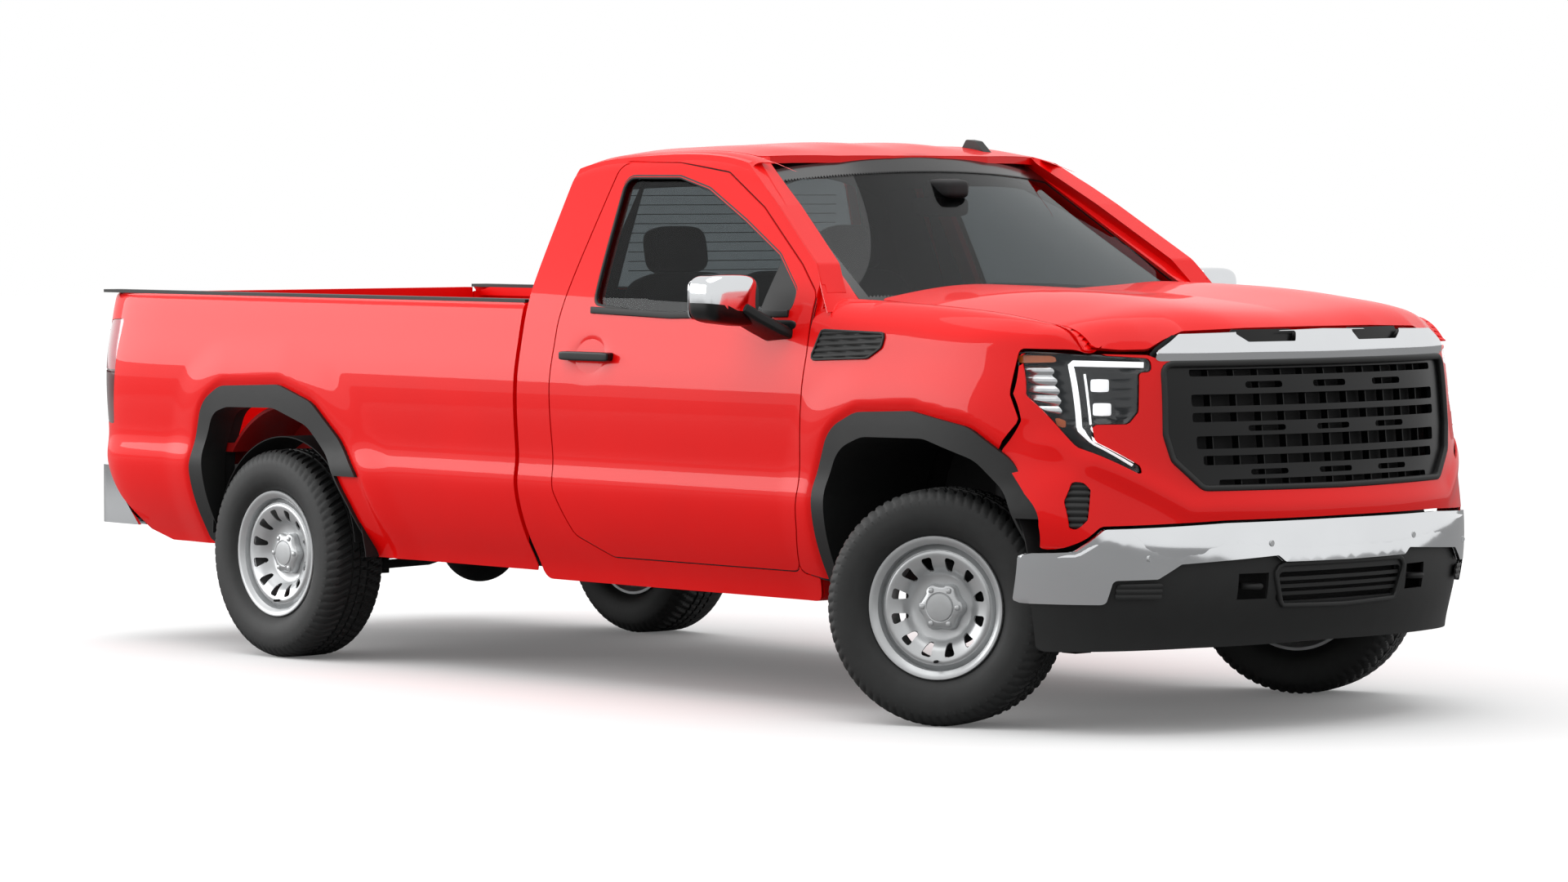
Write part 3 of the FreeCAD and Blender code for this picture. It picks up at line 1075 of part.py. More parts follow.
def make_rail_caps():
    """Black caps along both bed rails."""
    tail = REAR_AXLE - s.bed_tail + s.panel_gap
    strip = box((tail, s.bed_half_width - s.rail_lip, s.bed_rail_height + s.seat_gap),
                (BED_FRONT - s.panel_gap, s.flank_half_width * (1 - 0.058), s.bed_rail_height + s.cap_wall))
    return both_sides(strip)


def make_frame():
    """Ladder frame: two box rails kicked up over the axles, crossmembers and two tow hooks."""
    points = [(plan_station(axle, a), b * s.shoulder_height) for axle, a, b in RAIL_SHARES]
    rail = side_prism(points, s.rail_half_gap, s.rail_half_gap + s.rail_width, 2 * s.overrun)
    parts = [rail, mirrored(rail)]
    for x, z, size, half in frame_members():
        parts.append(box((x - size / 2, -half, z), (x + size / 2, half, z + s.member_height)))
    rail_top = RAIL_SHARES[8][2] * s.shoulder_height
    for side in (-1, 1):
        for share in (-0.98, -0.72, -0.38):
            parts.append(Part.makeCylinder(s.mount_radius, s.cab_floor_height - s.seat_gap - rail_top + s.mount_radius,
                                           Vector(FRONT_AXLE + share * s.cab_length,
                                                  side * (s.rail_half_gap + s.rail_width / 2),
                                                  rail_top - s.mount_radius)))
        y = side * s.hook_half
        x = FRONT_AXLE + s.hook_reach
        z = s.hook_height
        ring = Part.makeTorus(s.hook_radius, s.hook_wire, Vector(x, y, z), Vector(0, 0, 1))
        shank = rod((x - 4 * s.hook_radius, y, z), (x - s.hook_radius, y, z), s.hook_wire)
        plate = box((x - 6 * s.hook_radius, min(y, side * (s.rail_half_gap + s.rail_width)), z - s.hook_wire),
                    (x - 3 * s.hook_radius, max(y, side * (s.rail_half_gap + s.rail_width)), z + s.member_height))
        parts.extend([ring, shank, plate])
    return fused(parts)


def frame_members():
    """Crossmembers as station, underside, width and half length."""
    between = s.rail_half_gap + s.rail_width / 4
    high = s.rear_rail_base + s.seat_gap
    low = s.rail_base + s.seat_gap
    nose = RAIL_SHARES[5][2] * s.shoulder_height
    return (
        (plan_station("rear", -0.80), high, s.rail_width, between),
        (plan_station("rear", -0.42), high, s.rail_width, between),
        (plan_station("rear", 0.40), high, s.rail_width, between),
        (plan_station("rear", 1.55), low, s.rail_width, between),
        (plan_station("front", -1.00), low, s.rail_width, between),
        (plan_station("front", 0.0), nose + s.arm_wall / 2 - s.member_height, 1.5 * s.arm_spread,
         s.rail_half_gap + s.rail_width),
        (plan_station("front", 0.72), nose + s.seat_gap, s.rail_width, between),
    )


def make_engine():
    """Engine as one block on its mounts, and the radiator ahead of it as its own solid."""
    x = FRONT_AXLE - s.engine_setback
    block = box((x - s.engine_length / 2, -s.engine_half, s.engine_base),
                (x + s.engine_length / 2, s.engine_half, s.engine_base + s.engine_height))
    rail_top = RAIL_SHARES[7][2] * s.shoulder_height + s.seat_gap
    far = s.rail_half_gap + s.rail_width / 2
    feet = [box((x - s.overrun, min(side * s.engine_half, side * far), rail_top),
                (x + s.overrun, max(side * s.engine_half, side * far), rail_top + s.overrun)) for side in (-1, 1)]
    grid_x = plan_station("front", 0.72) - s.overrun / 2
    grid_z = RAIL_SHARES[5][2] * s.shoulder_height + s.member_height + 2 * s.seat_gap
    radiator = box((grid_x, -s.radiator_half, grid_z),
                   (grid_x + s.overrun, s.radiator_half, grid_z + s.radiator_height))
    return Part.makeCompound([fused([block] + feet), radiator])


def make_driveline():
    """Gearbox, propeller shaft and its flange, from engine to rear axle."""
    back = FRONT_AXLE - s.engine_setback - s.engine_length / 2 - s.seat_gap
    middle = s.engine_base + s.gearbox_rise
    gearbox = Part.makeCone(s.gearbox_radius, 0.55 * s.gearbox_radius, s.gearbox_length, Vector(back, 0, middle),
                            Vector(-1, 0, 0))
    face = REAR_AXLE + s.diff_radius + s.seat_gap
    shaft = rod((back - s.gearbox_length, 0, middle), (face + s.drum_width / 2, 0, AXLE_HEIGHT), s.shaft_radius)
    flange = rod((face, 0, AXLE_HEIGHT), (face + s.drum_width / 2, 0, AXLE_HEIGHT), 1.3 * s.shaft_radius)
    return fused([gearbox, shaft, flange])


def make_exhaust():
    """Exhaust pipe with its silencer on the right of the shaft, hung from the frame rail."""
    y = -s.exhaust_half
    z = s.exhaust_height
    points = [(FRONT_AXLE - 0.48 * s.front_overhang, y, z), (REAR_AXLE + 0.62 * s.rear_overhang, y, z)]
    pipe = rod(*points, s.pipe_radius)
    silencer = rod((REAR_AXLE + 1.25 * s.rear_overhang, y, z), (REAR_AXLE + 0.75 * s.rear_overhang, y, z),
                   s.silencer_radius)
    hanger = box((REAR_AXLE + 1.0 * s.rear_overhang - s.pipe_radius, s.seat_gap - s.rail_half_gap,
                  s.exhaust_height - s.pipe_radius),
                 (REAR_AXLE + 1.0 * s.rear_overhang + s.pipe_radius, y, s.exhaust_height))
    return fused([pipe, silencer, hanger])


def make_fuel_tank():
    """Fuel tank on the left between rail and shaft."""
    back = REAR_AXLE + 0.75 * s.rear_overhang
    tank = box((back, s.tank_inner_half, s.tank_base),
               (back + s.tank_length, s.rail_half_gap - s.seat_gap, s.tank_base + s.tank_height))
    return tank.makeFillet(s.overrun / 2, tank.Edges)


def make_spare():
    """Spare wheel and tyre as one plain form under the bed's tail."""
    x = REAR_AXLE - s.spare_reach
    z = s.spare_height
    body = Part.makeCylinder(s.tyre_radius * 0.94, 2 * s.tyre_half_width * 0.86, Vector(x, 0, z))
    well = Part.makeCylinder(s.rim_radius, s.tyre_half_width, Vector(x, 0, z - s.seat_gap))
    carrier = rod((x, 0, z), (x, 0, s.rear_rail_base + s.member_height / 2), s.spindle_radius)
    arm = box((x - 0.02 * s.rear_overhang, -s.rail_half_gap + s.seat_gap, s.rear_rail_base + s.member_height / 4),
              (x + 0.02 * s.rear_overhang, s.rail_half_gap - s.seat_gap, s.rear_rail_base + s.member_height / 2))
    return fused([body.cut(well), carrier, arm])


def make_rear_axle():
    """Rear axle: tube, differential, hubs with drums, leaf springs with hangers and shackles."""
    half = s.track_width / 2
    hub_end = half + s.mount_face - s.seat_gap
    parts = [rod((REAR_AXLE, -hub_end, AXLE_HEIGHT), (REAR_AXLE, hub_end, AXLE_HEIGHT), s.axle_tube),
             Part.makeSphere(s.diff_radius, Vector(REAR_AXLE, 0, AXLE_HEIGHT))]
    for side in (-1, 1):
        parts.append(rod((REAR_AXLE, side * (half - s.drum_width), AXLE_HEIGHT),
                         (REAR_AXLE, side * (hub_end - s.panel_gap), AXLE_HEIGHT), s.disc_radius))
        parts.append(rod((REAR_AXLE, side * half, AXLE_HEIGHT),
                         (REAR_AXLE, side * (half + s.mount_face + s.spindle_length), AXLE_HEIGHT),
                         s.spindle_radius))
    leaf = leaf_spring()
    leaf.translate(Vector(0, s.leaf_spread, 0))
    return fused(parts + [leaf, mirrored(leaf)])


def leaf_spring():
    """One leaf pack under the axle tube, from its front hanger to its rear shackle."""
    points = [(REAR_AXLE + a * s.rear_overhang, AXLE_HEIGHT + b * s.diff_radius) for a, b in LEAF_SHARES]
    top = points + [(x, z - s.leaf_wall) for x, z in reversed(points)]
    pack = side_prism(top, -s.leaf_width / 2, s.leaf_width / 2)
    saddle = box((REAR_AXLE - 1.2 * s.leaf_width, -s.leaf_width / 2, AXLE_HEIGHT - s.axle_tube - 1.5 * s.leaf_wall),
                 (REAR_AXLE + 1.2 * s.leaf_width, s.leaf_width / 2, AXLE_HEIGHT))
    ends = []
    for x, z in (points[0], points[-1]):
        reach = s.leaf_spread - s.rail_half_gap - s.rail_width - s.seat_gap
        ends.append(box((x - s.leaf_width / 2, -reach, z - s.leaf_wall),
                        (x + s.leaf_width / 2, s.leaf_width / 2, s.rear_rail_base + s.rail_height / 2)))
    return fused([pack, saddle] + ends)


def make_front_suspension():
    """Lower and upper arms, spring struts and the steering rack, between the rails and the ball joints."""
    pin = s.kingpin_spread / 2
    low = AXLE_HEIGHT - s.ball_joint_rise - s.seat_gap
    high = AXLE_HEIGHT + s.ball_joint_rise + s.seat_gap
    rail = s.rail_half_gap + s.rail_width
    rail_low = RAIL_SHARES[5][2] * s.shoulder_height - s.seat_gap
    rail_high = RAIL_SHARES[7][2] * s.shoulder_height
    tip = [(FRONT_AXLE - s.arm_tip, pin + s.arm_tip), (FRONT_AXLE + s.arm_tip, pin + s.arm_tip)]
    waist = [(FRONT_AXLE + side * s.arm_waist, s.arm_waist_half) for side in (1, -1)]
    lower_root = [(FRONT_AXLE + side * s.arm_spread, s.rail_half_gap) for side in (1, -1)]
    upper_root = [(FRONT_AXLE + side * s.arm_spread, rail + s.seat_gap) for side in (1, -1)]
    parts = [plan_prism(tip + waist[:1] + lower_root + waist[1:], low - s.arm_wall, low),
             plan_prism(tip + waist[:1] + upper_root + waist[1:], high, high + s.arm_wall)]
    for way in (-1, 1):
        x = FRONT_AXLE + way * (s.arm_spread + s.arm_wall)
        parts.append(box((x - 2 * s.arm_wall, s.rail_half_gap, low - s.arm_wall),
                         (x + s.arm_wall, rail, rail_low)))
        parts.append(box((x - 2 * s.arm_wall, rail + s.seat_gap, rail_low + s.member_height),
                         (x + s.arm_wall, rail + s.overrun, rail_high)))
    parts.append(rod((FRONT_AXLE, s.strut_half_low, low - s.arm_wall / 2),
                     (FRONT_AXLE, s.strut_half_high, s.strut_top), s.strut_radius))
    parts.append(box((FRONT_AXLE - s.overrun, rail + s.seat_gap, rail_high - s.overrun),
                     (FRONT_AXLE + s.overrun, s.strut_half_high, s.strut_top)))
    side = fused(parts)
    rack = rod((FRONT_AXLE + s.rack_reach, s.seat_gap - s.rail_half_gap, rail_low - s.member_height),
               (FRONT_AXLE + s.rack_reach, s.rail_half_gap - s.seat_gap, rail_low - s.member_height), s.rack_radius)
    return [side, mirrored(side), rack]


def make_knuckle():
    """Left knuckle about its own steering axis: upright, spindle, brake disc and caliper."""
    half = s.track_width / 2 - s.kingpin_spread / 2
    rise = s.ball_joint_rise - s.spindle_radius / 2
    upright = box((-s.spindle_radius, -s.spindle_radius, -rise), (s.spindle_radius, s.spindle_radius / 2, rise))
    bosses = [rod((0, 0, 0), (0, 0, side * s.ball_joint_rise), s.spindle_radius / 2) for side in (-1, 1)]
    hub_end = half + s.mount_face - s.seat_gap
    hub = rod((0, 0, 0), (0, hub_end, 0), 1.5 * s.spindle_radius)
    spindle = rod((0, 0, 0), (0, half + s.mount_face + s.spindle_length, 0), s.spindle_radius)
    disc = rod((0, half - s.disc_wall, 0), (0, half, 0), s.disc_radius)
    caliper = box((-s.disc_radius - s.disc_wall / 4, half - 2 * s.disc_wall, -s.disc_radius / 3),
                  (-s.disc_radius * 0.55, half + s.disc_wall * 0.6, s.disc_radius / 3))
    bracket = box((-s.disc_radius, half - 2 * s.disc_wall, -s.disc_wall), (0, half - s.disc_wall, s.disc_wall))
    return fused([upright, hub, spindle, disc, caliper, bracket] + bosses)


def make_wheel_form():
    """Steel wheel about the Y axis: rim and disc turned in one profile, round holes, cap in the hub."""
    points = [Vector(a * s.rim_radius, b * s.rim_half_width, 0) for a, b in WHEEL_SHARES]
    profile = Part.Face(Part.makePolygon(points + points[:1]))
    wheel = outward(profile.revolve(Vector(), Vector(0, 1, 0), 360))
    hole = rod((s.hole_circle, 0, 0), (s.hole_circle, 2 * s.rim_half_width, 0), s.hole_radius)
    holes = []
    for step in range(int(s.hole_count)):
        turned = hole.copy()
        turned.rotate(Vector(), Vector(0, 1, 0), step * 360 / s.hole_count)
        holes.append(turned)
    return wheel.cut(holes)


def make_tyre_form():
    """Tyre about the Y axis: beads on the rim seats, bulged sidewalls, flat tread."""
    half = [Vector(a * s.tyre_radius, b * s.tyre_half_width, 0) for a, b in TYRE_OUTER_SHARES]
    back = [Vector(a * s.tyre_radius, b * s.tyre_half_width, 0) for a, b in TYRE_INNER_SHARES]
    points = half + [Vector(p.x, -p.y, 0) for p in reversed(half)] + [Vector(p.x, -p.y, 0) for p in back]
    points = points + list(reversed(back))
    bead = s.rim_radius + s.seat_gap
    points = [Vector(max(p.x, bead), p.y, 0) for p in points]
    profile = Part.Face(Part.makePolygon(points + points[:1]))
    return outward(profile.revolve(Vector(), Vector(0, 1, 0), 360))


def wheel_places():
    """Where each wheel stands: name, its middle, its turn."""
    pin = s.kingpin_spread / 2
    arm = s.track_width / 2 - pin
    turn = Rotation(UP, s.steer_angle)
    places = []
    for label, side in (("left", 1), ("right", -1)):
        reach = turn.multVec(Vector(0, side * arm, 0))
        middle = Vector(FRONT_AXLE, side * pin, AXLE_HEIGHT) + reach
        places.append((f"front_{label}", middle, turn, side))
        places.append((f"rear_{label}", Vector(REAR_AXLE, side * s.track_width / 2, AXLE_HEIGHT), Rotation(), side))
    return places


def make_seats():
    """Bench in three places, each one closed form: cushion on its pedestal, backrest, and headrests outside."""
    parts = []
    x = FRONT_AXLE - s.seat_setback
    floor = s.cab_floor_height + s.cab_sheet + s.seat_gap
    base = floor + s.seat_base
    lean = math.radians(s.seat_lean_angle)
    for y, width, head in ((s.seat_half, s.seat_width, True), (0, 0.6 * s.seat_width, False),
                           (-s.seat_half, s.seat_width, True)):
        foot = floor if head else floor + s.tunnel_rise - s.cab_sheet
        cushion = box((x, y - width / 2, base), (x + s.seat_length, y + width / 2, base + s.seat_wall))
        cushion = cushion.makeFillet(s.seat_wall / 4, cushion.Edges)
        pedestal = box((x + s.seat_wall / 2, y - width / 3, foot),
                       (x + s.seat_length - s.seat_wall, y + width / 3, base + s.seat_wall / 2))
        back = box((0, y - width / 2, 0), (s.seat_wall, y + width / 2, s.seat_back))
        back = back.makeFillet(s.seat_wall / 4, back.Edges)
        forms = [back]
        if head:
            rest = box((0, y - width / 4, 0), (s.seat_wall * 0.7, y + width / 4, s.seat_wall * 1.2))
            rest = rest.makeFillet(s.seat_wall / 5, rest.Edges)
            rest.translate(Vector(s.seat_wall * 0.2, 0, s.seat_back + s.seat_wall * 0.2))
            stem = box((s.seat_wall * 0.4, y - width / 8, s.seat_back - s.seat_wall / 2),
                       (s.seat_wall * 0.6, y + width / 8, s.seat_back + s.seat_wall / 2))
            forms.extend([rest, stem])
        upper = fused(forms)
        upper.rotate(Vector(), Vector(0, 1, 0), -s.seat_lean_angle)
        upper.translate(Vector(x - s.seat_wall * math.cos(lean) * 0.7, 0, base + s.seat_wall / 4))
        parts.append(fused([cushion, pedestal, upper]))
    return parts


def make_dashboard():
    """Dashboard with its console and steering column, as one closed form."""
    x = FRONT_AXLE - s.firewall_reach - s.cab_sheet - s.seat_gap
    half = s.flank_half_width - 1.6 * s.ring_wall
    points = [(x, 0.95 * s.shoulder_height), (x, 1.33 * s.shoulder_height),
              (x - 0.12 * s.cab_length, 1.345 * s.shoulder_height),
              (x - 0.20 * s.cab_length, 1.29 * s.shoulder_height),
              (x - 0.215 * s.cab_length, 1.14 * s.shoulder_height),
              (x - 0.12 * s.cab_length, 0.95 * s.shoulder_height)]
    body = side_prism(points, -half, half, WINDOW_CORNER)
    end = steering_column_end()
    column = rod(end - 2 * s.steering_radius * STEERING_TILT, end, s.spindle_radius)
    return fused([body, column])


def steering_column_end():
    """Where the steering column ends behind the dashboard."""
    return Vector(FRONT_AXLE - s.column_reach, s.seat_half, s.column_height)


def make_steering_wheel():
    """Steering wheel on the left: ring, hub and three spokes."""
    ring = Part.makeTorus(s.steering_radius, s.steering_grip)
    hub = Part.makeCylinder(s.spindle_radius, s.overrun, Vector(0, 0, -s.overrun))
    spokes = []
    for turn in (90, 210, 330):
        spoke = Part.makeBox(s.steering_radius, 2 * s.steering_grip, s.steering_grip,
                             Vector(0, -s.steering_grip, -s.steering_grip))
        spoke.rotate(Vector(), UP, turn)
        spokes.append(spoke)
    wheel = fused([ring, hub] + spokes)
    middle = steering_column_end() + STEERING_TILT * (s.overrun + s.seat_gap)
    wheel.Placement = Placement(middle, Rotation(UP, STEERING_TILT))
    return wheel


def make_arch_mouldings():
    """Left arch mouldings with their liners, each liner's rear end hanging down as a mud flap."""
    parts = []
    outer = s.flank_half_width + s.overrun
    for axle, inner_shares, outer_shares, reach in (
            (FRONT_AXLE, FRONT_ARCH_SHARES, FRONT_LIP_SHARES, s.liner_half),
            (REAR_AXLE, REAR_ARCH_SHARES, REAR_LIP_SHARES, s.bed_half_width + s.panel_gap)):
        radius = ARCH_CORNER
        arch = arch_points(axle, inner_shares)
        skin = side_prism(offset_points(arch, -s.seat_gap), 0, outer, radius)
        hole = side_prism(offset_points(arch, -s.liner_wall), 0, outer, radius)
        edge = side_prism(arch_points(axle, outer_shares), 0, outer, radius)
        band = flank_slab(-s.arch_stand, s.arch_stand - s.seat_gap).common(edge).cut(hole)
        clear = box((axle, 0, 0), (axle + s.wheel_base, outer, s.flap_clear))
        liner = skin.cut(hole).common(flank_slab(-s.arch_stand, s.flank_half_width))
        above = box((axle - s.wheel_base, reach, s.flap_top), (axle + s.wheel_base, outer, s.crown_height))
        flap = box((axle - s.wheel_base, s.flap_half, s.flap_base), (axle, outer, s.flap_top + s.liner_wall))
        parts.append(band.cut(clear).fuse(liner.common(above.fuse(flap))).removeSplitter())
    return parts


def make_antenna():
    """Roof antenna fin."""
    x = FRONT_AXLE - s.antenna_setback
    half = s.antenna_half
    top = s.crown_height + s.antenna_rise
    base = s.crown_height - s.overrun
    fin = side_prism([(x - s.antenna_length / 2, base), (x + s.antenna_length / 2, base),
                      (x + 0.05 * s.antenna_length, top - s.panel_wall / 2), (x - 0.2 * s.antenna_length, top)],
                     s.antenna_side - half, s.antenna_side + half, s.panel_wall)
    return fin.common(over_roof(s.seat_gap))


def main():
    """Make every sub-part in its place."""
    door = make_door()
    glass = make_door_glass()
    mirror = make_mirror()
    fender = make_fender()
    bed_side = make_bed_side()
    add_piece("frame_rails", make_frame())
    add_piece("cab_shell", make_cab_shell())
    add_piece("roof_panel", make_roof())
    add_piece("cab_glass", make_cab_glass())
    add_piece("cowl_panel", make_cowl())
    add_piece("fenders", both_sides(fender))
    add_piece("front_fascia", make_front_fascia())
    add_piece("grille", make_grille())
    add_piece("grille_header", make_header())
    add_piece("headlamps", make_headlamps())
    add_piece("front_bumper", make_front_bumper())
    add_piece("lower_valance", make_valance())
    add_piece("bed_box", make_bed_box())
    add_piece("bed_sides", both_sides(bed_side))
    add_piece("bed_rail_caps", make_rail_caps())
    add_piece("tail_lamps", make_tail_lamps())
    add_piece("rear_bumper", make_rear_bumper())
    add_piece("seats", Part.makeCompound(make_seats()))
    add_piece("dashboard", make_dashboard())
    add_piece("steering_wheel", make_steering_wheel())
    add_piece("engine", make_engine())
    add_piece("driveline", make_driveline())
    add_piece("exhaust", make_exhaust())
    add_piece("fuel_tank", make_fuel_tank())
    add_piece("spare_wheel", make_spare())
    add_piece("front_suspension", Part.makeCompound(make_front_suspension()))
    add_piece("rear_axle", make_rear_axle())
    mouldings = make_arch_mouldings()
    add_piece("arch_mouldings", Part.makeCompound(mouldings + [mirrored(part) for part in mouldings]))
    add_piece("antenna", make_antenna())
    add_piece("hood", make_hood())
    add_piece("tailgate", make_tailgate())
    for label, turned in (("left", lambda shape: shape), ("right", mirrored)):
        add_piece(f"door_{label}", turned(door))
        add_piece(f"door_glass_{label}", turned(glass))
        add_piece(f"mirror_{label}", turned(mirror))
    knuckle = make_knuckle()
    for label, side in (("left", 1), ("right", -1)):
        place = Placement(Vector(FRONT_AXLE, side * s.kingpin_spread / 2, AXLE_HEIGHT), Rotation(UP, s.steer_angle))
        add_piece(f"knuckle_{label}", knuckle if side > 0 else mirrored(knuckle), place)
    wheel = make_wheel_form()
    tyre = make_tyre_form()
    for label, middle, turn, side in wheel_places():
        place = Placement(middle, turn)
        add_piece(f"wheel_{label}", wheel if side > 0 else mirrored(wheel), place)
        add_piece(f"tyre_{label}", tyre, place)


main()
doc.recompute()
for piece in pieces:
    if "Invalid" in piece.State or "Error" in piece.State:
        raise RuntimeError(f"{piece.Label} failed: {piece.State}")
    if piece.Shape.isNull() or not piece.Shape.isValid():
        raise RuntimeError(f"{piece.Label} has no valid shape")
os.makedirs("parts", exist_ok=True)
for piece in pieces:
    piece.Shape.exportStep(os.path.join("parts", f"{piece.Label}.step"))
    print(piece.Label, len(piece.Shape.Solids), "solids")
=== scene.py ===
import json
import math

import bpy
import numpy as np
from bpy.props import FloatProperty, FloatVectorProperty, IntProperty, PointerProperty
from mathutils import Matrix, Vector


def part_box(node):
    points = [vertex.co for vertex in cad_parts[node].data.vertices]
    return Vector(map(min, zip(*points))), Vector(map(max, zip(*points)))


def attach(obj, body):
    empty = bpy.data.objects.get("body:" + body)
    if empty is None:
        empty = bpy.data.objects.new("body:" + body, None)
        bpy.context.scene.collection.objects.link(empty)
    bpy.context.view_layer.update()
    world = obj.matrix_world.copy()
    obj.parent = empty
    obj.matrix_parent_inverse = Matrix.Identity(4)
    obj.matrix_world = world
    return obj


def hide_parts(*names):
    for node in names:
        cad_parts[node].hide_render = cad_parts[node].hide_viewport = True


bl_info = {
    "name": "Pickup truck finishes",
    "version": (1, 0, 0),
    "blender": (4, 5, 0),
    "location": "View3D > Sidebar > Truck",
    "description": "Smooth panels, glass, lamps, chrome, tyres and seats on a packed pickup truck",
    "category": "Object",
}

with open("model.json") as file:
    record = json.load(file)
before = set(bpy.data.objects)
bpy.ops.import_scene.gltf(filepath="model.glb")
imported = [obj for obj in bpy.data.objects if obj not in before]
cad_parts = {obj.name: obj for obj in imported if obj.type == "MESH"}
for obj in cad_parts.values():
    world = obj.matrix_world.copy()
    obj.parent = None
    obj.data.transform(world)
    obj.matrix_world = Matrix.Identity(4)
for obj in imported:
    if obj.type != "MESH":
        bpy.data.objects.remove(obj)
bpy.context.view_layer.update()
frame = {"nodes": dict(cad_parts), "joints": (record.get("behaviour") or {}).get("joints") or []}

# Places that the frame gives, in metres
LEFT, RIGHT = 1, -1
SIDES = {"left": LEFT, "right": RIGHT}


def middle(node):
    """The middle of a node's box."""
    low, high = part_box(node)
    return (low + high) / 2


FRONT_AXLE = (middle("tyre_front_left").x + middle("tyre_front_right").x) / 2
REAR_AXLE = middle("tyre_rear_left").x
AXLE_HEIGHT = middle("tyre_rear_left").z
RAIL_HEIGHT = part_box("bed_box")[1].z
BED_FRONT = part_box("bed_box")[1].x
SPIN_AXIS = next(joint["axis"] for joint in frame["joints"] if joint["name"] == "wheel_spin_front_left")
STEER = math.atan2(-SPIN_AXIS[0], SPIN_AXIS[1])

# Driving sizes of the body, in metres
FRONT_OVERHANG = 1.0
REAR_OVERHANG = 1.29
CAB_LENGTH = 2.0
FLANK_HALF = 1.010
HOOD_HALF = 0.850
CROWN = 1.912
ARCH_UNIT = 0.5
SKIN = 0.004
PANEL_GAP = 0.006
WALL = 0.003
LINER_WALL = 0.004
GLASS_WALL = 0.005

# How fine the sheets are, in metres
CELL = 0.015
DOOR_CELL = 0.011
HOOD_CELL = 0.012
FRONT_CELL = 0.008
FINE_CELL = 0.005
COARSE_CELL = 0.03

# Limits of the sheet maker: shares of a cell, and lengths too short to count
FIRST_SNAP_SHARE = 0.56
SECOND_SNAP_SHARE = 0.5
SLIVER_SHARE = 0.004
STRAY_SHARE = 0.02
SAME_PLACE = 1e-7
TINY = 1e-12
CORNER_REACH_SHARE = 0.45
LOBE_START = 0.048
LOBE_FADE = 0.03
SHARP_ANGLE = 38


# Curves and tables

def smooth_curve(knots, values):
    """A cubic through each (knot, value) with a steady second slope and no bend at its ends.

    The second slopes solve the usual three-banded system; between two knots the value is their straight
    mix plus the cubic terms that those slopes give.
    """
    knots = np.asarray(knots, float)
    values = np.asarray(values, float)
    spans = np.diff(knots)
    wide = spans.reshape(-1, *[1] * (values.ndim - 1))
    last = len(knots) - 1
    inner = np.arange(1, last)
    system = np.eye(last + 1)
    system[inner, inner - 1] = spans[:-1]
    system[inner, inner] = 2 * (spans[:-1] + spans[1:])
    system[inner, inner + 1] = spans[1:]
    right = np.zeros_like(values)
    right[1:-1] = 6 * np.diff(np.diff(values, axis=0) / wide, axis=0)
    bends = np.linalg.solve(system, right)

    def at(where):
        where = np.clip(np.asarray(where, float), knots[0], knots[-1])
        index = np.clip(np.searchsorted(knots, where) - 1, 0, last - 1)
        share = ((where - knots[index]) / spans[index]).reshape(-1, *[1] * (values.ndim - 1))
        rest = 1 - share
        span = spans[index].reshape(share.shape)
        straight = rest * values[index] + share * values[index + 1]
        curved = (share ** 3 - share) * bends[index + 1] + (rest ** 3 - rest) * bends[index]
        return straight + curved * span ** 2 / 6

    return at


def smooth_table(rows, columns, table):
    """A height for each pair of arrays: smooth_curve along the rows times smooth_curve along the columns."""
    row_weights = smooth_curve(rows, np.eye(len(rows)))
    column_weights = smooth_curve(columns, np.eye(len(columns)))
    table = np.asarray(table, float)

    def at(along, across):
        return np.einsum("ni,ij,nj->n", row_weights(along), table, column_weights(across))

    return at


def ease(share):
    """A smooth step from 0 to 1: 3 s squared less 2 s cubed."""
    share = np.clip(share, 0, 1)
    return share * share * (3 - 2 * share)


def rounded(points, radius, steps=6):
    """A closed outline whose corners are circle arcs, each at most so much of its shorter side long.

    Each arc is the rational curve of second order over its corner, whose weight is half the turn's cosine.
    """
    points = np.asarray(points, float)
    back = np.roll(points, 1, axis=0) - points
    ahead = np.roll(points, -1, axis=0) - points
    back_length = np.linalg.norm(back, axis=1)
    ahead_length = np.linalg.norm(ahead, axis=1)
    back /= back_length[:, None]
    ahead /= ahead_length[:, None]
    turn = np.pi - np.arccos(np.clip((back * ahead).sum(1), -1, 1))
    reach = np.minimum(radius * np.tan(turn / 2), CORNER_REACH_SHARE * np.minimum(back_length, ahead_length))
    start = (points + back * reach[:, None])[:, None, :]
    end = (points + ahead * reach[:, None])[:, None, :]
    weight = np.cos(turn / 2)[:, None, None]
    share = np.linspace(0, 1, steps + 1)[None, :, None]
    rest = 1 - share
    top = rest ** 2 * start + 2 * share * rest * weight * points[:, None, :] + share ** 2 * end
    return (top / (rest ** 2 + 2 * share * rest * weight + share ** 2)).reshape(-1, 2)


def offset(outline, gap):
    """The same outline, written with how far it is grown."""
    return outline, gap


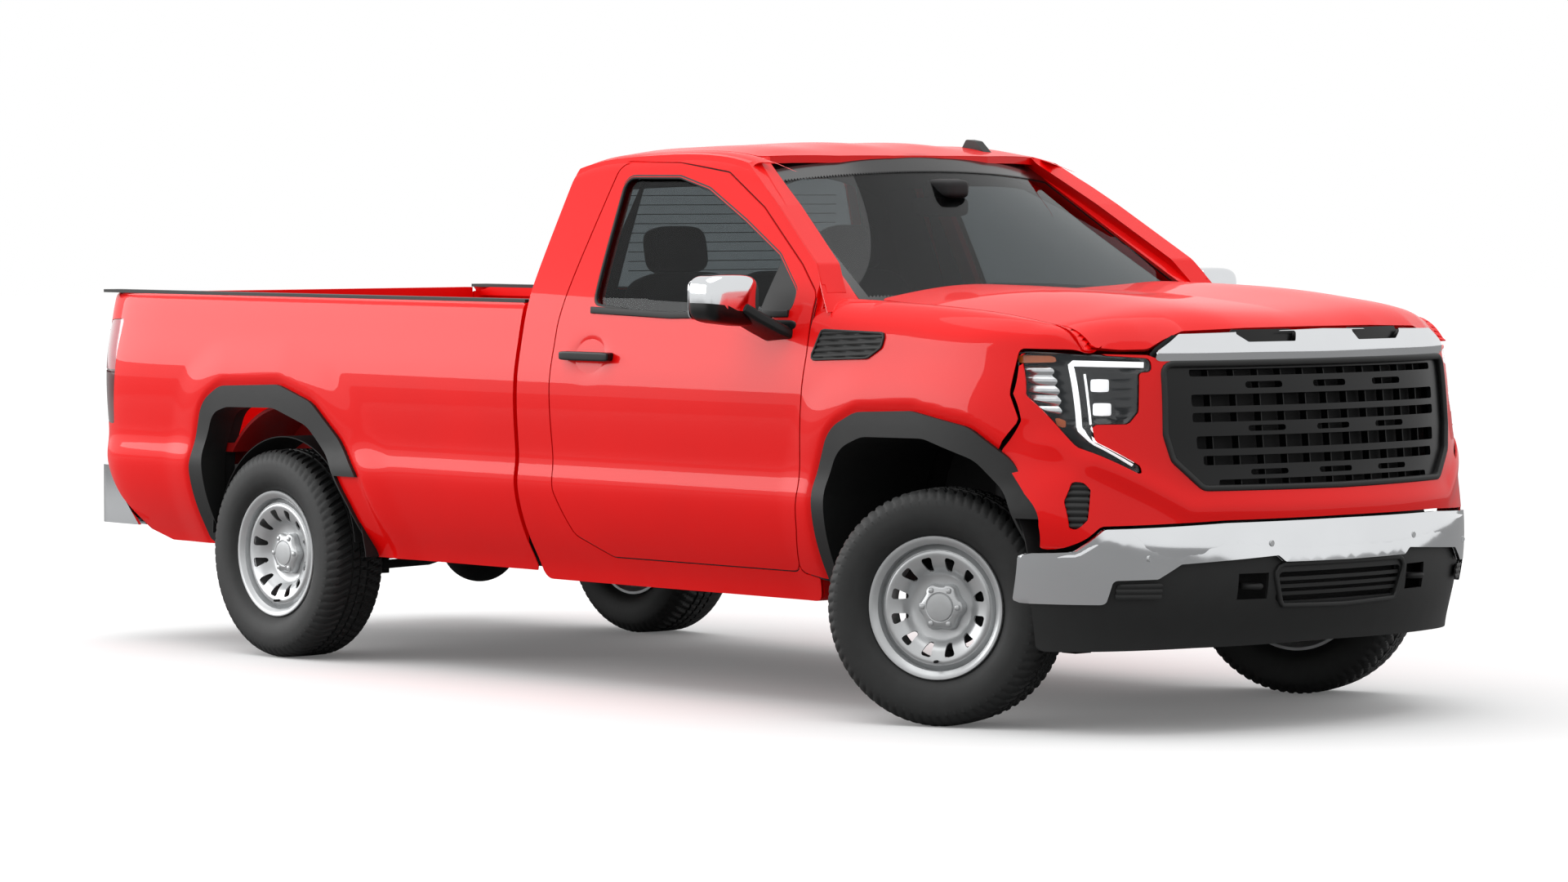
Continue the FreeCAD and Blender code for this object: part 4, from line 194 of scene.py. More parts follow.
def edge_room(points, keeps, cuts):
    """For each point, how far it lies inside the kept shape, and the way that leads straight to its edge.

    The room inside one outline is the distance to its nearest side, below nought outside; the room of the
    whole is the least over the kept outlines and the cut ones turned inside out.
    """
    room = np.full(len(points), np.inf)
    way = np.zeros_like(points)
    for sign, shapes in ((1, keeps), (-1, cuts)):
        for shape in shapes:
            outline, grown = shape if isinstance(shape, tuple) else (shape, 0.0)
            start, step = outline, np.roll(outline, -1, axis=0) - outline
            solid = (step ** 2).sum(1) > SAME_PLACE ** 2
            start, step = start[solid], step[solid]
            rel = points[:, None, :] - start[None]
            share = np.clip((rel * step).sum(2) / (step ** 2).sum(1), 0, 1)
            gap = rel - share[..., None] * step
            far = (gap ** 2).sum(2)
            near = far.argmin(1)
            rows = np.arange(len(points))
            away = gap[rows, near]
            distance = np.sqrt(far[rows, near])
            ends = start + step
            crosses = (start[None, :, 1] > points[:, None, 1]) != (ends[None, :, 1] > points[:, None, 1])
            level = np.where(np.abs(step[:, 1]) > TINY, step[:, 1], TINY)
            cross_x = start[:, 0] + (points[:, None, 1] - start[:, 1]) / level * step[:, 0]
            inside = (crosses & (points[:, None, 0] < cross_x)).sum(1) % 2 == 1
            side = np.where(inside, 1.0, -1.0)
            area = (start[:, 0] * ends[:, 1] - ends[:, 0] * start[:, 1]).sum()
            normal = np.stack((step[near, 1], -step[near, 0]), 1) * np.sign(area)
            normal /= np.linalg.norm(normal, axis=1)[:, None]
            outward = -side[:, None] * away / np.maximum(distance, TINY)[:, None]
            outward = np.where((distance > SAME_PLACE)[:, None], outward, normal)
            depth = (side * distance + grown) * sign
            closer = depth < room
            room = np.where(closer, depth, room)
            way[closer] = (outward * sign)[closer]
    return room, way


def trimmed(keeps, cuts=(), cell=CELL):
    """A flat sheet of triangles that fills a shape.

    A square grid covers it. Points within about half a cell of an edge slide onto the edge, and once more where
    a corner left them off it. Each cell is cut along the diagonal that leaves out its outside corner, and a
    triangle stays where none of its corners and not its middle lies outside.
    """
    first, grown = keeps[0] if isinstance(keeps[0], tuple) else (keeps[0], 0.0)
    low, high = first.min(0) - grown - cell, first.max(0) + grown + cell
    counts = np.ceil((high - low) / cell).astype(int) + 1
    a, b = [low[axis] + cell * np.arange(counts[axis]) for axis in (0, 1)]
    points = np.stack(np.meshgrid(a, b, indexing="ij"), 2).reshape(-1, 2)
    room, way = edge_room(points, keeps, cuts)
    near = np.abs(room) < FIRST_SNAP_SHARE * cell
    outside = (room < 0) & ~near
    moved = points[near] + way[near] * room[near, None]
    again, way_again = edge_room(moved, keeps, cuts)
    close = np.abs(again) < SECOND_SNAP_SHARE * cell
    moved[close] += way_again[close] * again[close, None]
    points[near] = moved
    index = np.arange(len(points)).reshape(counts)
    corners = np.stack((index[:-1, :-1], index[1:, :-1], index[1:, 1:], index[:-1, 1:]), 2).reshape(-1, 4)
    out = outside[corners]
    turned = out[:, 0] | out[:, 2]
    plain, other = corners[~turned], corners[turned]
    triangles = np.concatenate((plain[:, [0, 1, 2]], plain[:, [0, 2, 3]], other[:, [0, 1, 3]],
                                other[:, [1, 2, 3]]))
    triangles = triangles[~outside[triangles].any(1)]
    first_side = points[triangles[:, 1]] - points[triangles[:, 0]]
    second_side = points[triangles[:, 2]] - points[triangles[:, 0]]
    size = np.abs(first_side[:, 0] * second_side[:, 1] - first_side[:, 1] * second_side[:, 0])
    triangles = triangles[size > SLIVER_SHARE * cell * cell]
    on_edge = near[triangles].all(1)
    centres = points[triangles[on_edge]].mean(1)
    if len(centres):
        inside = edge_room(centres, keeps, cuts)[0] > -STRAY_SHARE * cell
        triangles = np.concatenate((triangles[~on_edge], triangles[on_edge][inside]))
    used, triangles = np.unique(triangles, return_inverse=True)
    return points[used], triangles.reshape(-1, 3)


# Mesh building

def face_normals(points, triangles):
    """Each triangle's normal, as long as twice its area."""
    place = points[triangles]
    return np.cross(place[:, 1] - place[:, 0], place[:, 2] - place[:, 0])


def point_normals(points, triangles):
    """The mean normal at each point, by area."""
    total = np.zeros_like(points)
    normals = face_normals(points, triangles)
    for corner in range(3):
        np.add.at(total, triangles[:, corner], normals)
    return total / np.maximum(np.linalg.norm(total, axis=1), TINY)[:, None]


def outward_faces(points, faces):
    """The faces of a closed body, turned outward by the sign of its volume."""
    first, second, third = (points[faces[:, corner]] for corner in range(3))
    volume = np.einsum("ij,ij->i", first, np.cross(second, third)).sum()
    return faces if volume > 0 else faces[:, ::-1]


def rim_edges(triangles):
    """The edges that only one triangle has, each in that triangle's order."""
    edges = np.concatenate((triangles[:, [0, 1]], triangles[:, [1, 2]], triangles[:, [2, 0]]))
    _, index, counts = np.unique(np.sort(edges, axis=1), axis=0, return_index=True, return_counts=True)
    return edges[index[counts == 1]]


def thickened(points, triangles, wall, facing):
    """A closed panel: the sheet turned to face a way, a copy set back by the wall, and a rim round both."""
    if (face_normals(points, triangles) @ np.asarray(facing, float)).sum() < 0:
        triangles = triangles[:, ::-1]
    normals = point_normals(points, triangles)
    rim = rim_edges(triangles)
    shift = len(points)
    walls = np.stack((rim[:, 1], rim[:, 0], rim[:, 0] + shift, rim[:, 1] + shift), 1)
    whole = np.concatenate((points, points - normals * wall))
    return whole, np.concatenate((triangles, triangles[:, ::-1] + shift, to_triangles(walls)))


def joined(parts):
    """One mesh from several (points, faces) meshes whose faces have the same number of corners."""
    shift = 0
    points, faces = [], []
    for part_points, part_faces in parts:
        points.append(part_points)
        faces.append(part_faces + shift)
        shift += len(part_points)
    return np.concatenate(points), np.concatenate(faces)


def flipped(mesh):
    """The mirror image on the other side of the middle plane, faces still outward."""
    points, faces = mesh
    return points * (1, -1, 1), faces[:, ::-1]


def to_triangles(quads):
    """Two triangles for each quad."""
    return np.concatenate((quads[:, [0, 1, 2]], quads[:, [0, 2, 3]]))


def grid_quads(rows, columns, closed_rows=False, closed_columns=False):
    """Quads over a grid of points, with either direction joined up to its start."""
    index = np.arange(rows * columns).reshape(rows, columns)
    if closed_rows:
        index = np.concatenate((index, index[:1]))
    if closed_columns:
        index = np.concatenate((index, index[:, :1]), 1)
    return np.stack((index[:-1, :-1], index[1:, :-1], index[1:, 1:], index[:-1, 1:]), 2).reshape(-1, 4)


def grid_panel(rows, columns, place, wall, facing):
    """A closed panel over two runs of values: place gives x, y and z for each pair of them."""
    first, second = np.meshgrid(rows, columns, indexing="ij")
    points = np.stack(place(first.ravel(), second.ravel()), 1)
    return thickened(points, to_triangles(grid_quads(len(rows), len(columns))), wall, facing)


def facing_axes(ahead):
    """Three directions in rows: level, up and ahead."""
    ahead = np.asarray(ahead, float) / np.linalg.norm(ahead)
    level = np.cross((0, 0, 1), ahead)
    level /= np.linalg.norm(level)
    return np.stack((level, np.cross(ahead, level), ahead))


def swept(section, path, up=(0, 0, 1), closed=False):
    """A closed section of (across, rise) carried along a path, square to it at each point."""
    section, path = np.asarray(section, float), np.asarray(path, float)
    if closed:
        along = np.roll(path, -1, axis=0) - np.roll(path, 1, axis=0)
    else:
        along = np.gradient(path, axis=0)
    along /= np.linalg.norm(along, axis=1)[:, None]
    across = np.cross(along, np.broadcast_to(up, along.shape))
    across /= np.linalg.norm(across, axis=1)[:, None]
    rise = np.cross(across, along)
    points = path[:, None] + section[None, :, :1] * across[:, None] + section[None, :, 1:] * rise[:, None]
    points = points.reshape(-1, 3)
    faces = to_triangles(grid_quads(len(path), len(section), closed_rows=closed, closed_columns=True))
    if not closed:
        count = len(section)
        fan = np.stack((np.zeros(count - 2, int), np.arange(1, count - 1), np.arange(2, count)), 1)
        faces = np.concatenate((faces, fan, fan[:, ::-1] + (len(path) - 1) * count))
    return points, outward_faces(points, faces)


def turned_form(line, count, lobes=0, swell=0.0):
    """A closed (radius, along) line turned about the axis; lobes swell the radius by their angle's cosine."""
    line = np.asarray(line, float)
    angle = np.linspace(0, 2 * np.pi, count, endpoint=False)[:, None]
    grown = ease((line[:, 0] - LOBE_START) / LOBE_FADE)
    radius = line[:, 0] * (1 + swell * grown * np.cos(lobes * angle))
    points = np.stack((radius * np.cos(angle), radius * np.sin(angle), np.tile(line[:, 1], (count, 1))), 2)
    points = points.reshape(-1, 3)
    return points, outward_faces(points, to_triangles(grid_quads(count, len(line), True, True)))


def pad(centre, half, power=0.35, rows=24, columns=48, turn=0.0):
    """A padded block: at two angles, each half size times the signed power of their sines and cosines."""
    down = np.linspace(-np.pi / 2, np.pi / 2, rows)[:, None]
    around = np.linspace(0, 2 * np.pi, columns, endpoint=False)[None]

    def bent(wave):
        return np.sign(wave) * np.abs(wave) ** power

    x = bent(np.cos(down)) * bent(np.cos(around))
    y = bent(np.cos(down)) * bent(np.sin(around))
    z = bent(np.sin(down)) * np.ones_like(around)
    points = np.stack((x * half[0], y * half[1], z * half[2]), 2).reshape(-1, 3)
    cos, sin = math.cos(turn), math.sin(turn)
    points = points @ np.array(((cos, 0, -sin), (0, 1, 0), (sin, 0, cos)))
    faces = to_triangles(grid_quads(rows, columns, closed_columns=True))
    return points + np.asarray(centre), faces[:, ::-1]


def add_piece(name, mesh, finish, body="chassis", slot=None, stands_for=(), sharp=SHARP_ANGLE):
    """A finished piece from points and faces, riding on its body."""
    points, faces = mesh
    used, faces = np.unique(faces, return_inverse=True)
    faces = faces.reshape(-1, 3)
    data = bpy.data.meshes.new(name)
    data.vertices.add(len(used))
    data.vertices.foreach_set("co", points[used].astype(np.float32).ravel())
    data.loops.add(faces.size)
    data.loops.foreach_set("vertex_index", faces.astype(np.int32).ravel())
    data.polygons.add(len(faces))
    data.polygons.foreach_set("loop_start", np.arange(0, faces.size, 3, dtype=np.int32))
    data.update(calc_edges=True)
    data.validate()
    data.polygons.foreach_set("use_smooth", np.ones(len(data.polygons), bool))
    data.set_sharp_from_angle(angle=math.radians(sharp))
    piece = bpy.data.objects.new(name, data)
    bpy.context.scene.collection.objects.link(piece)
    data.materials.append(material_of(finish))
    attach(piece, body)
    if stands_for:
        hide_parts(*stands_for)
    return piece


# Body surfaces, as the shares of the driving sizes that the panels follow

FLANK_SHARES = (
    (0.24, 0.165), (0.33, 0.142), (0.419, 0.114), (0.497, 0.073), (0.585, 0.034), (0.665, 0.011),
    (0.73, 0.004), (0.79, 0.011), (0.87, 0.009), (0.96, 0.003), (1.04, 0.002), (1.12, 0.008), (1.22, 0.026),
    (1.33, 0.049), (1.42, 0.080), (1.60, 0.156), (1.78, 0.236), (1.86, 0.277), (1.95, 0.345),
)
PLAN_SHARES = (
    ("rear", -1.02, 0.20), ("rear", -0.93, 0.105), ("rear", -0.88, 0.062), ("rear", -0.82, 0.026),
    ("rear", -0.72, 0.006), ("rear", -0.50, 0.0), ("rear", 0.30, 0.0), ("rear", 1.20, 0.0),
    ("front", -1.00, 0.0), ("front", -0.40, 0.0), ("front", 0.0, 0.002), ("front", 0.20, 0.010),
    ("front", 0.35, 0.032), ("front", 0.45, 0.056), ("front", 0.56, 0.095), ("front", 0.70, 0.165),
)
ROOF_CROWN_SHARES = (
    (-1.06, 0.958), (-0.99, 0.983), (-0.86, 0.997), (-0.70, 1.0), (-0.59, 0.991), (-0.48, 0.962),
)
ROOF_ARC_SHARES = (
    (-0.84, 0.044), (-0.76, 0.025), (-0.66, 0.015), (-0.45, 0.006), (-0.20, 0.001), (0.20, 0.001),
    (0.45, 0.006), (0.66, 0.015), (0.76, 0.025), (0.84, 0.044),
)
ROOF_PLAN_SHARES = (
    (-1.026, -0.655), (-1.026, 0.655), (-0.578, 0.655), (-0.540, 0.35), (-0.530, 0.12), (-0.530, -0.12),
    (-0.540, -0.35), (-0.578, -0.655),
)
HOOD_ACROSS_SHARES = (0.0, 0.30, 0.55, 0.80, 1.0)
HOOD_LEVEL_SHARES = (
    (-0.50, (1.416, 1.426, 1.431, 1.412, 1.386)), (-0.30, (1.414, 1.425, 1.431, 1.410, 1.380)),
    (-0.10, (1.410, 1.422, 1.428, 1.405, 1.373)), (0.10, (1.404, 1.416, 1.422, 1.398, 1.362)),
    (0.30, (1.393, 1.404, 1.410, 1.384, 1.345)), (0.50, (1.376, 1.386, 1.390, 1.362, 1.318)),
    (0.70, (1.350, 1.355, 1.354, 1.314, 1.252)), (0.90, (1.295, 1.290, 1.265, 1.15, 1.02)),
)
HOOD_PLAN_SHARES = (
    (0.812, 0.12), (0.802, 0.40), (0.765, 0.68), (0.745, 0.80), (0.640, 0.965), (0.50, 1.0), (-0.20, 1.0),
    (-0.355, 0.985), (-0.325, 0.72), (-0.280, 0.35), (-0.268, 0.12),
)
SHOULDER_ACROSS_SHARES = (0.76, 0.84, 0.91, 0.96, 1.02)
SHOULDER_LEVEL_SHARES = (
    (-0.62, (1.405, 1.390, 1.365, 1.325, 1.250)), (-0.20, (1.397, 1.380, 1.353, 1.312, 1.240)),
    (0.20, (1.375, 1.359, 1.330, 1.285, 1.210)), (0.45, (1.350, 1.334, 1.298, 1.250, 1.170)),
    (0.62, (1.320, 1.301, 1.252, 1.195, 1.110)), (0.80, (1.270, 1.245, 1.190, 1.130, 1.040)),
)
NOSE_ACROSS_SHARES = (0.0, 0.30, 0.55, 0.74, 0.86, 0.94, 0.985)
NOSE_SHARES = (
    (0.20, (0.940, 0.918, 0.852, 0.755, 0.640, 0.500, 0.36)),
    (0.40, (0.965, 0.943, 0.877, 0.780, 0.668, 0.530, 0.40)),
    (0.60, (0.985, 0.962, 0.897, 0.805, 0.700, 0.568, 0.43)),
    (0.80, (0.952, 0.930, 0.874, 0.782, 0.680, 0.545, 0.41)),
    (1.00, (0.932, 0.910, 0.856, 0.758, 0.640, 0.495, 0.38)),
    (1.22, (0.893, 0.877, 0.826, 0.728, 0.592, 0.430, 0.32)),
    (1.36, (0.850, 0.836, 0.784, 0.685, 0.545, 0.380, 0.27)),
)
DOOR_SHARES = (
    (-0.934, 1.274), (-0.937, 1.069), (-0.930, 0.700), (-0.895, 0.545), (-0.810, 0.473), (-0.322, 0.473),
    (-0.294, 0.620), (-0.281, 0.760), (-0.276, 1.017), (-0.273, 1.200), (-0.276, 1.405),
    (-0.333, 1.500), (-0.4765, 1.689), (-0.600, 1.810), (-0.743, 1.845), (-0.894, 1.848),
)
WINDOW_SHARES = (
    (-0.849, 1.349), (-0.872, 1.797), (-0.7245, 1.796), (-0.6365, 1.755), (-0.5125, 1.646), (-0.3965, 1.533),
    (-0.325, 1.413), (-0.326, 1.345), (-0.365, 1.326), (-0.632, 1.312),
)
SIDE_SHARES = (
    (-1.028, 0.372), (-1.028, 1.412), (-1.014, 1.811), (-0.985, 2.25), (-0.40, 2.25), (-0.562, 1.845),
    (-0.443, 1.700), (-0.298, 1.505), (-0.236, 1.350), (-0.236, 0.62), (-0.290, 0.372),
)
FENDER_SHARES = (
    (-0.638, 0.473), (-0.582, 0.620), (-0.556, 0.760), (-0.546, 1.017), (-0.540, 1.200), (-0.545, 1.75),
    (0.600, 1.75), (0.648, 1.243), (0.420, 1.245), (0.404, 1.100), (0.445, 1.015), (0.360, 0.915),
    (0.30, 0.80), (0.20, 0.60), (-0.30, 0.42),
)
FRONT_ARCH_SHARES = (
    (-0.93, -0.80), (-0.900, 0.166), (-0.856, 0.758), (-0.730, 1.026), (-0.480, 1.118), (0.116, 1.126),
    (0.564, 0.998), (0.800, 0.796), (0.936, 0.476), (1.00, 0.20), (1.02, -0.80),
)
FRONT_LIP_SHARES = (
    (-1.000, -0.05), (-0.992, 0.166), (-0.964, 0.750), (-0.800, 1.144), (-0.532, 1.264), (0.0, 1.286),
    (0.516, 1.196), (0.856, 0.984), (1.040, 0.644), (1.090, 0.42),
)
REAR_ARCH_SHARES = (
    (-0.88, -0.80), (-0.850, 0.118), (-0.820, 0.756), (-0.680, 1.052), (-0.490, 1.104), (0.110, 1.114),
    (0.520, 0.992), (0.784, 0.758), (0.956, 0.416), (1.06, 0.05), (1.08, -0.80),
)
REAR_LIP_SHARES = (
    (-0.996, 0.04), (-0.994, 0.152), (-0.980, 0.612), (-0.808, 1.116), (-0.570, 1.246), (0.170, 1.274),
    (0.576, 1.154), (0.886, 0.894), (1.106, 0.634), (1.256, 0.160), (1.27, 0.04),
)
BED_SIDE_SHARES = (
    (0, 1.60), (0, 0.400), (-0.60, 0.402), (-0.70, 0.440), (-0.80, 0.56), (-0.885, 0.70), (-0.893, 1.250),
    (-0.888, 1.345), (-0.880, 1.60),
)
TAIL_LAMP_SHARES = (
    (-0.760, 1.255), (-0.880, 1.246), (-0.93, 1.20), (-0.93, 0.86), (-0.870, 0.845), (-0.805, 0.845),
)
GRILLE_SHARES = (
    (0.0, 0.786), (0.555, 0.790), (0.648, 0.885), (0.668, 0.970), (0.660, 1.206), (0.0, 1.206),
)
LAMP_SHARES = (
    (0.924, 1.233), (0.688, 1.214), (0.688, 1.173), (0.723, 1.173), (0.733, 1.046), (0.760, 1.008),
    (0.845, 1.006), (0.842, 0.950), (0.740, 0.874), (0.738, 0.845), (0.876, 0.934), (0.937, 1.096),
)
HEADER_SHARES = ((0.0, 1.206), (0.660, 1.206), (0.674, 1.212), (0.668, 1.240), (0.590, 1.292), (0.0, 1.302))
BUMPER_SHARES = (
    (0.0, 0.690), (0.49, 0.688), (0.845, 0.672), (0.903, 0.600), (0.975, 0.590), (0.975, 0.430),
    (0.834, 0.431), (0.824, 0.509), (0.712, 0.513), (0.645, 0.560), (0.309, 0.580), (0.280, 0.558),
    (0.0, 0.556),
)
SCREEN_HALF_SHARES = (0.800, 0.660)
SCREEN_STATION_SHARES = (-0.176, -0.520)
SCREEN_RISE_SHARES = (1.362, 1.848)
SCREEN_BOW = 0.105
REAR_WINDOW_SHARES = ((-0.62, 1.40), (0.62, 1.40), (0.54, 1.79), (-0.54, 1.79))

# Corner radii of outlines, in metres
CORNER = 0.04
DOOR_CORNER = 0.05
ARCH_CORNER = 0.15
FENDER_CORNER = 0.02
LAMP_CORNER = 0.014
SMALL_CORNER = 0.012
SLOT_CORNER = 0.006

# Places and rolls of the panels' edges, in metres
FENDER_END = 0.648
LAMP_TOP = 1.243
FENDER_ROLL = 0.15
SHOULDER_BLEND = 0.07
SHOULDER_REAR = -0.30
FLARE = 0.011
FLARE_RISE = 0.030
FLARE_FALL = 0.16


def station(axle, share):
    """The x of a station ahead of an axle, as a share of its overhang."""
    return REAR_AXLE + share * REAR_OVERHANG if axle == "rear" else FRONT_AXLE + share * FRONT_OVERHANG


def cab_outline(shares, radius=CORNER):
    """A side outline of the cab."""
    return rounded([(FRONT_AXLE + a * CAB_LENGTH, b) for a, b in shares], radius)


def arch_outline(axle, shares):
    """A side outline about an axle."""
    return rounded([(axle + a * ARCH_UNIT, AXLE_HEIGHT + b * ARCH_UNIT) for a, b in shares], ARCH_CORNER)


def both_halves(shares):
    """A left half of (y, z) shares with its mirror image, as one outline."""
    half = [(a * FLANK_HALF, b) for a, b in shares]
    return half + [(-y, z) for y, z in reversed(half) if y > 0]


FLANK_INSET = smooth_curve(*np.array(FLANK_SHARES).T)
PLAN_DRAW = smooth_curve([station(axle, share) for axle, share, _ in PLAN_SHARES],
                         [draw for _, _, draw in PLAN_SHARES])
ROOF_LEVEL = smooth_curve([FRONT_AXLE + a * CAB_LENGTH for a, _ in ROOF_CROWN_SHARES],
                          [b * CROWN for _, b in ROOF_CROWN_SHARES])
ROOF_DROP = smooth_curve([a * FLANK_HALF for a, _ in ROOF_ARC_SHARES],
                         [b * CROWN for _, b in ROOF_ARC_SHARES])
HOOD_LEVEL = smooth_table([FRONT_AXLE + a * FRONT_OVERHANG for a, _ in HOOD_LEVEL_SHARES],
                          [a * HOOD_HALF for a in HOOD_ACROSS_SHARES], [row for _, row in HOOD_LEVEL_SHARES])
SHOULDER_LEVEL = smooth_table([FRONT_AXLE + a * FRONT_OVERHANG for a, _ in SHOULDER_LEVEL_SHARES],
                              [a * FLANK_HALF for a in SHOULDER_ACROSS_SHARES],
                              [row for _, row in SHOULDER_LEVEL_SHARES])
NOSE_ACROSS = [-a for a in NOSE_ACROSS_SHARES[:0:-1]] + list(NOSE_ACROSS_SHARES)
NOSE_STATION = smooth_table([level for level, _ in NOSE_SHARES], [a * FLANK_HALF for a in NOSE_ACROSS],
                            [list(row[:0:-1]) + list(row) for _, row in NOSE_SHARES])
REAR_WINDOW = rounded([(a * FLANK_HALF, b) for a, b in REAR_WINDOW_SHARES], CORNER)
ARCHES = (arch_outline(FRONT_AXLE, FRONT_LIP_SHARES), arch_outline(REAR_AXLE, REAR_LIP_SHARES))


def arch_flare(x, z):
    """How far the panel swells round the wheel arches: a short rise from the moulding, then a long fall."""
    swell = np.zeros_like(x)
    points = np.stack((x, z), 1)
    for outline in ARCHES:
        away = -np.minimum(edge_room(points, [outline], ())[0], 0)
        swell = np.maximum(swell, ease(away / FLARE_RISE) * (1 - ease((away - FLARE_RISE) / FLARE_FALL)))
    return FLARE * swell


def flank(x, z, stand=SKIN):
    """The left flank's y: half width less this height's inset and this station's draw, plus the flare."""
    return FLANK_HALF * (1 - FLANK_INSET(z) - PLAN_DRAW(x)) + stand + arch_flare(x, z)


def nose(y, z, stand=SKIN):
    """The nose's x at a place across and a height."""
    return FRONT_AXLE + FRONT_OVERHANG * NOSE_STATION(z, y) + stand


def roof(x, y, stand=SKIN):
    """The roof's z."""
    return ROOF_LEVEL(x) - ROOF_DROP(y) + stand


def hood(x, y, stand=SKIN):
    """The hood's z, the same on both sides of the middle."""
    return HOOD_LEVEL(x, np.abs(y)) + stand


def shoulder(x, y, stand=SKIN):
    """The fender's top z, rolled down onto the lamp by the cube of the way into its last stretch.

    Beside the hood it starts at the hood's level, and it goes over to the table's across a short blend.
    """
    edge = np.full_like(x, FRONT_AXLE + FENDER_END)
    gap = np.maximum(SHOULDER_LEVEL(edge, y) - LAMP_TOP, 0)
    rolled = np.clip((x - edge + FENDER_ROLL) / FENDER_ROLL, 0, OVERRUN) ** 3
    level = SHOULDER_LEVEL(x, y) - gap * rolled + stand
    beside = hood_skin(x, np.full_like(x, HOOD_HALF)) - SKIN + stand
    share = ease((y - HOOD_HALF - PANEL_GAP) / SHOULDER_BLEND) + (x < FRONT_AXLE + SHOULDER_REAR)
    return beside + (level - beside) * np.minimum(share, 1)


def rolled_side(top, inner, bend):
    """A surface over (x, height) that runs up the flank, rolls over the edge and goes on inward on a top face.

    The crease lies where flank and top meet, found by turns. Within one bend of it a curve of second order takes
    over, and past it the height goes on as the way inward.
    """

    def at(flat):
        x, height = flat.T
        z = np.full_like(x, CREASE_GUESS)
        for _ in range(CREASE_ROUNDS):
            y = flank(x, z)
            z = top(x, y)
        low_z = z - bend
        low_y = flank(x, low_z)
        high_y = y - bend
        high_z = top(x, high_y)
        share = np.clip((height - low_z) / (2 * bend), 0, 1)
        rest = 1 - share
        roll_y = rest ** 2 * low_y + 2 * rest * share * y + share ** 2 * high_y
        roll_z = rest ** 2 * low_z + 2 * rest * share * z + share ** 2 * high_z
        far_y = np.maximum(high_y - (height - low_z - 2 * bend), inner)
        on_side = height <= low_z
        on_roll = height <= low_z + 2 * bend
        out_y = np.where(on_side, flank(x, height), np.where(on_roll, roll_y, far_y))
        out_z = np.where(on_side, height, np.where(on_roll, roll_z, top(x, far_y)))
        return np.stack((x, out_y, out_z), 1)

    return at


def bed_top(x, y):
    """The bed rail's level, the same everywhere."""
    return np.full_like(x, RAIL_HEIGHT + RAIL_STAND)


# The front corner and the hood's edge

STATIONS = np.linspace(FRONT_AXLE - 0.4, FRONT_AXLE + 0.70 * FRONT_OVERHANG, 400)
DRAWS = np.maximum.accumulate(PLAN_DRAW(STATIONS))
CORNER_SOFT = 0.02
CORNER_FORWARD = 0.10
CORNER_FORWARD_TOP = 0.93
CORNER_FORWARD_FADE = 0.15
HOOD_EDGE_SHARES = (
    (0.0, 0.812), (0.12, 0.812), (0.40, 0.802), (0.68, 0.765), (0.80, 0.745), (0.965, 0.640), (1.0, 0.625),
)
HOOD_LIP = (
    (0, 1.304), (0.3, 1.303), (0.55, 1.296), (0.62, 1.270), (0.68, 1.240), (0.75, 1.238), (0.82, 1.246),
    (0.85, 1.250),
)
HOOD_ROLL = 0.15
OVERRUN = 1.05
CREASE_GUESS = 1.30
CREASE_ROUNDS = 14
RAIL_STAND = 0.001


def front_face(y, z, stand=SKIN):
    """The front's x: the nose's x or the station where the flank is this wide, whichever is less.

    The two meet in a soft corner. Below the lamps the flank's share moves forward, because the wheel arch
    moulding takes the corner over there.
    """
    ahead = nose(y, z, stand)
    draw = 1 - FLANK_INSET(z) - (np.abs(y) - stand) / FLANK_HALF
    side = np.interp(draw, DRAWS, STATIONS) + 2 * np.maximum(draw - DRAWS[-1], 0)
    side = side + CORNER_FORWARD * ease((CORNER_FORWARD_TOP - z) / CORNER_FORWARD_FADE)
    share = np.clip(0.5 + 0.5 * (side - ahead) / CORNER_SOFT, 0, 1)
    return side + (ahead - side) * share - CORNER_SOFT * share * (1 - share)


def hood_skin(x, y):
    """The hood's z with its front edge rolled down by the cube of the way into its last stretch."""
    across = np.abs(y)
    edge = FRONT_AXLE + FRONT_OVERHANG * np.interp(across / HOOD_HALF, *np.array(HOOD_EDGE_SHARES).T)
    gap = HOOD_LEVEL(edge, across) - np.interp(across, *np.array(HOOD_LIP).T)
    share = np.clip((x - edge + HOOD_ROLL) / HOOD_ROLL, 0, OVERRUN)
    return hood(x, y) - np.maximum(gap, 0) * share ** 3


def resampled(points, spacing):
    """Points at even steps along straight runs."""
    points = np.asarray(points, float)
    runs = np.linalg.norm(np.diff(points, axis=0), axis=1)
    where = np.concatenate(((0,), np.cumsum(runs)))
    count = max(int(where[-1] / spacing), 2) + 1
    at = np.linspace(0, where[-1], count)
    return np.stack([np.interp(at, where, column) for column in points.T], 1)


def ring_line(outline, spacing):
    """Points at even steps round a closed outline."""
    return resampled(np.concatenate((outline, outline[:1])), spacing)[:-1]


def rounded_box(left, right, low, high, radius, steps=6):
    """A rectangle with round corners."""
    return rounded([(left, low), (right, low), (right, high), (left, high)], radius, steps)


def block_section(width, depth, corner=0.3):
    """A rounded rectangle about the middle."""
    return rounded_box(-width / 2, width / 2, -depth / 2, depth / 2, corner * min(width, depth), 3)


def mirrored_shape(points):
    """A (y, z) shape on the left and its mirror image on the right."""
    points = np.asarray(points, float)
    return points, points[::-1] * (-1, 1)


# Materials

def linear(hex_colour, alpha=1.0):
    """An sRGB hex value as linear light."""
    channels = [int(hex_colour[place:place + 2], 16) / 255 for place in (1, 3, 5)]
    return [c / 12.92 if c <= 0.04045 else ((c + 0.055) / 1.055) ** 2.4 for c in channels] + [alpha]


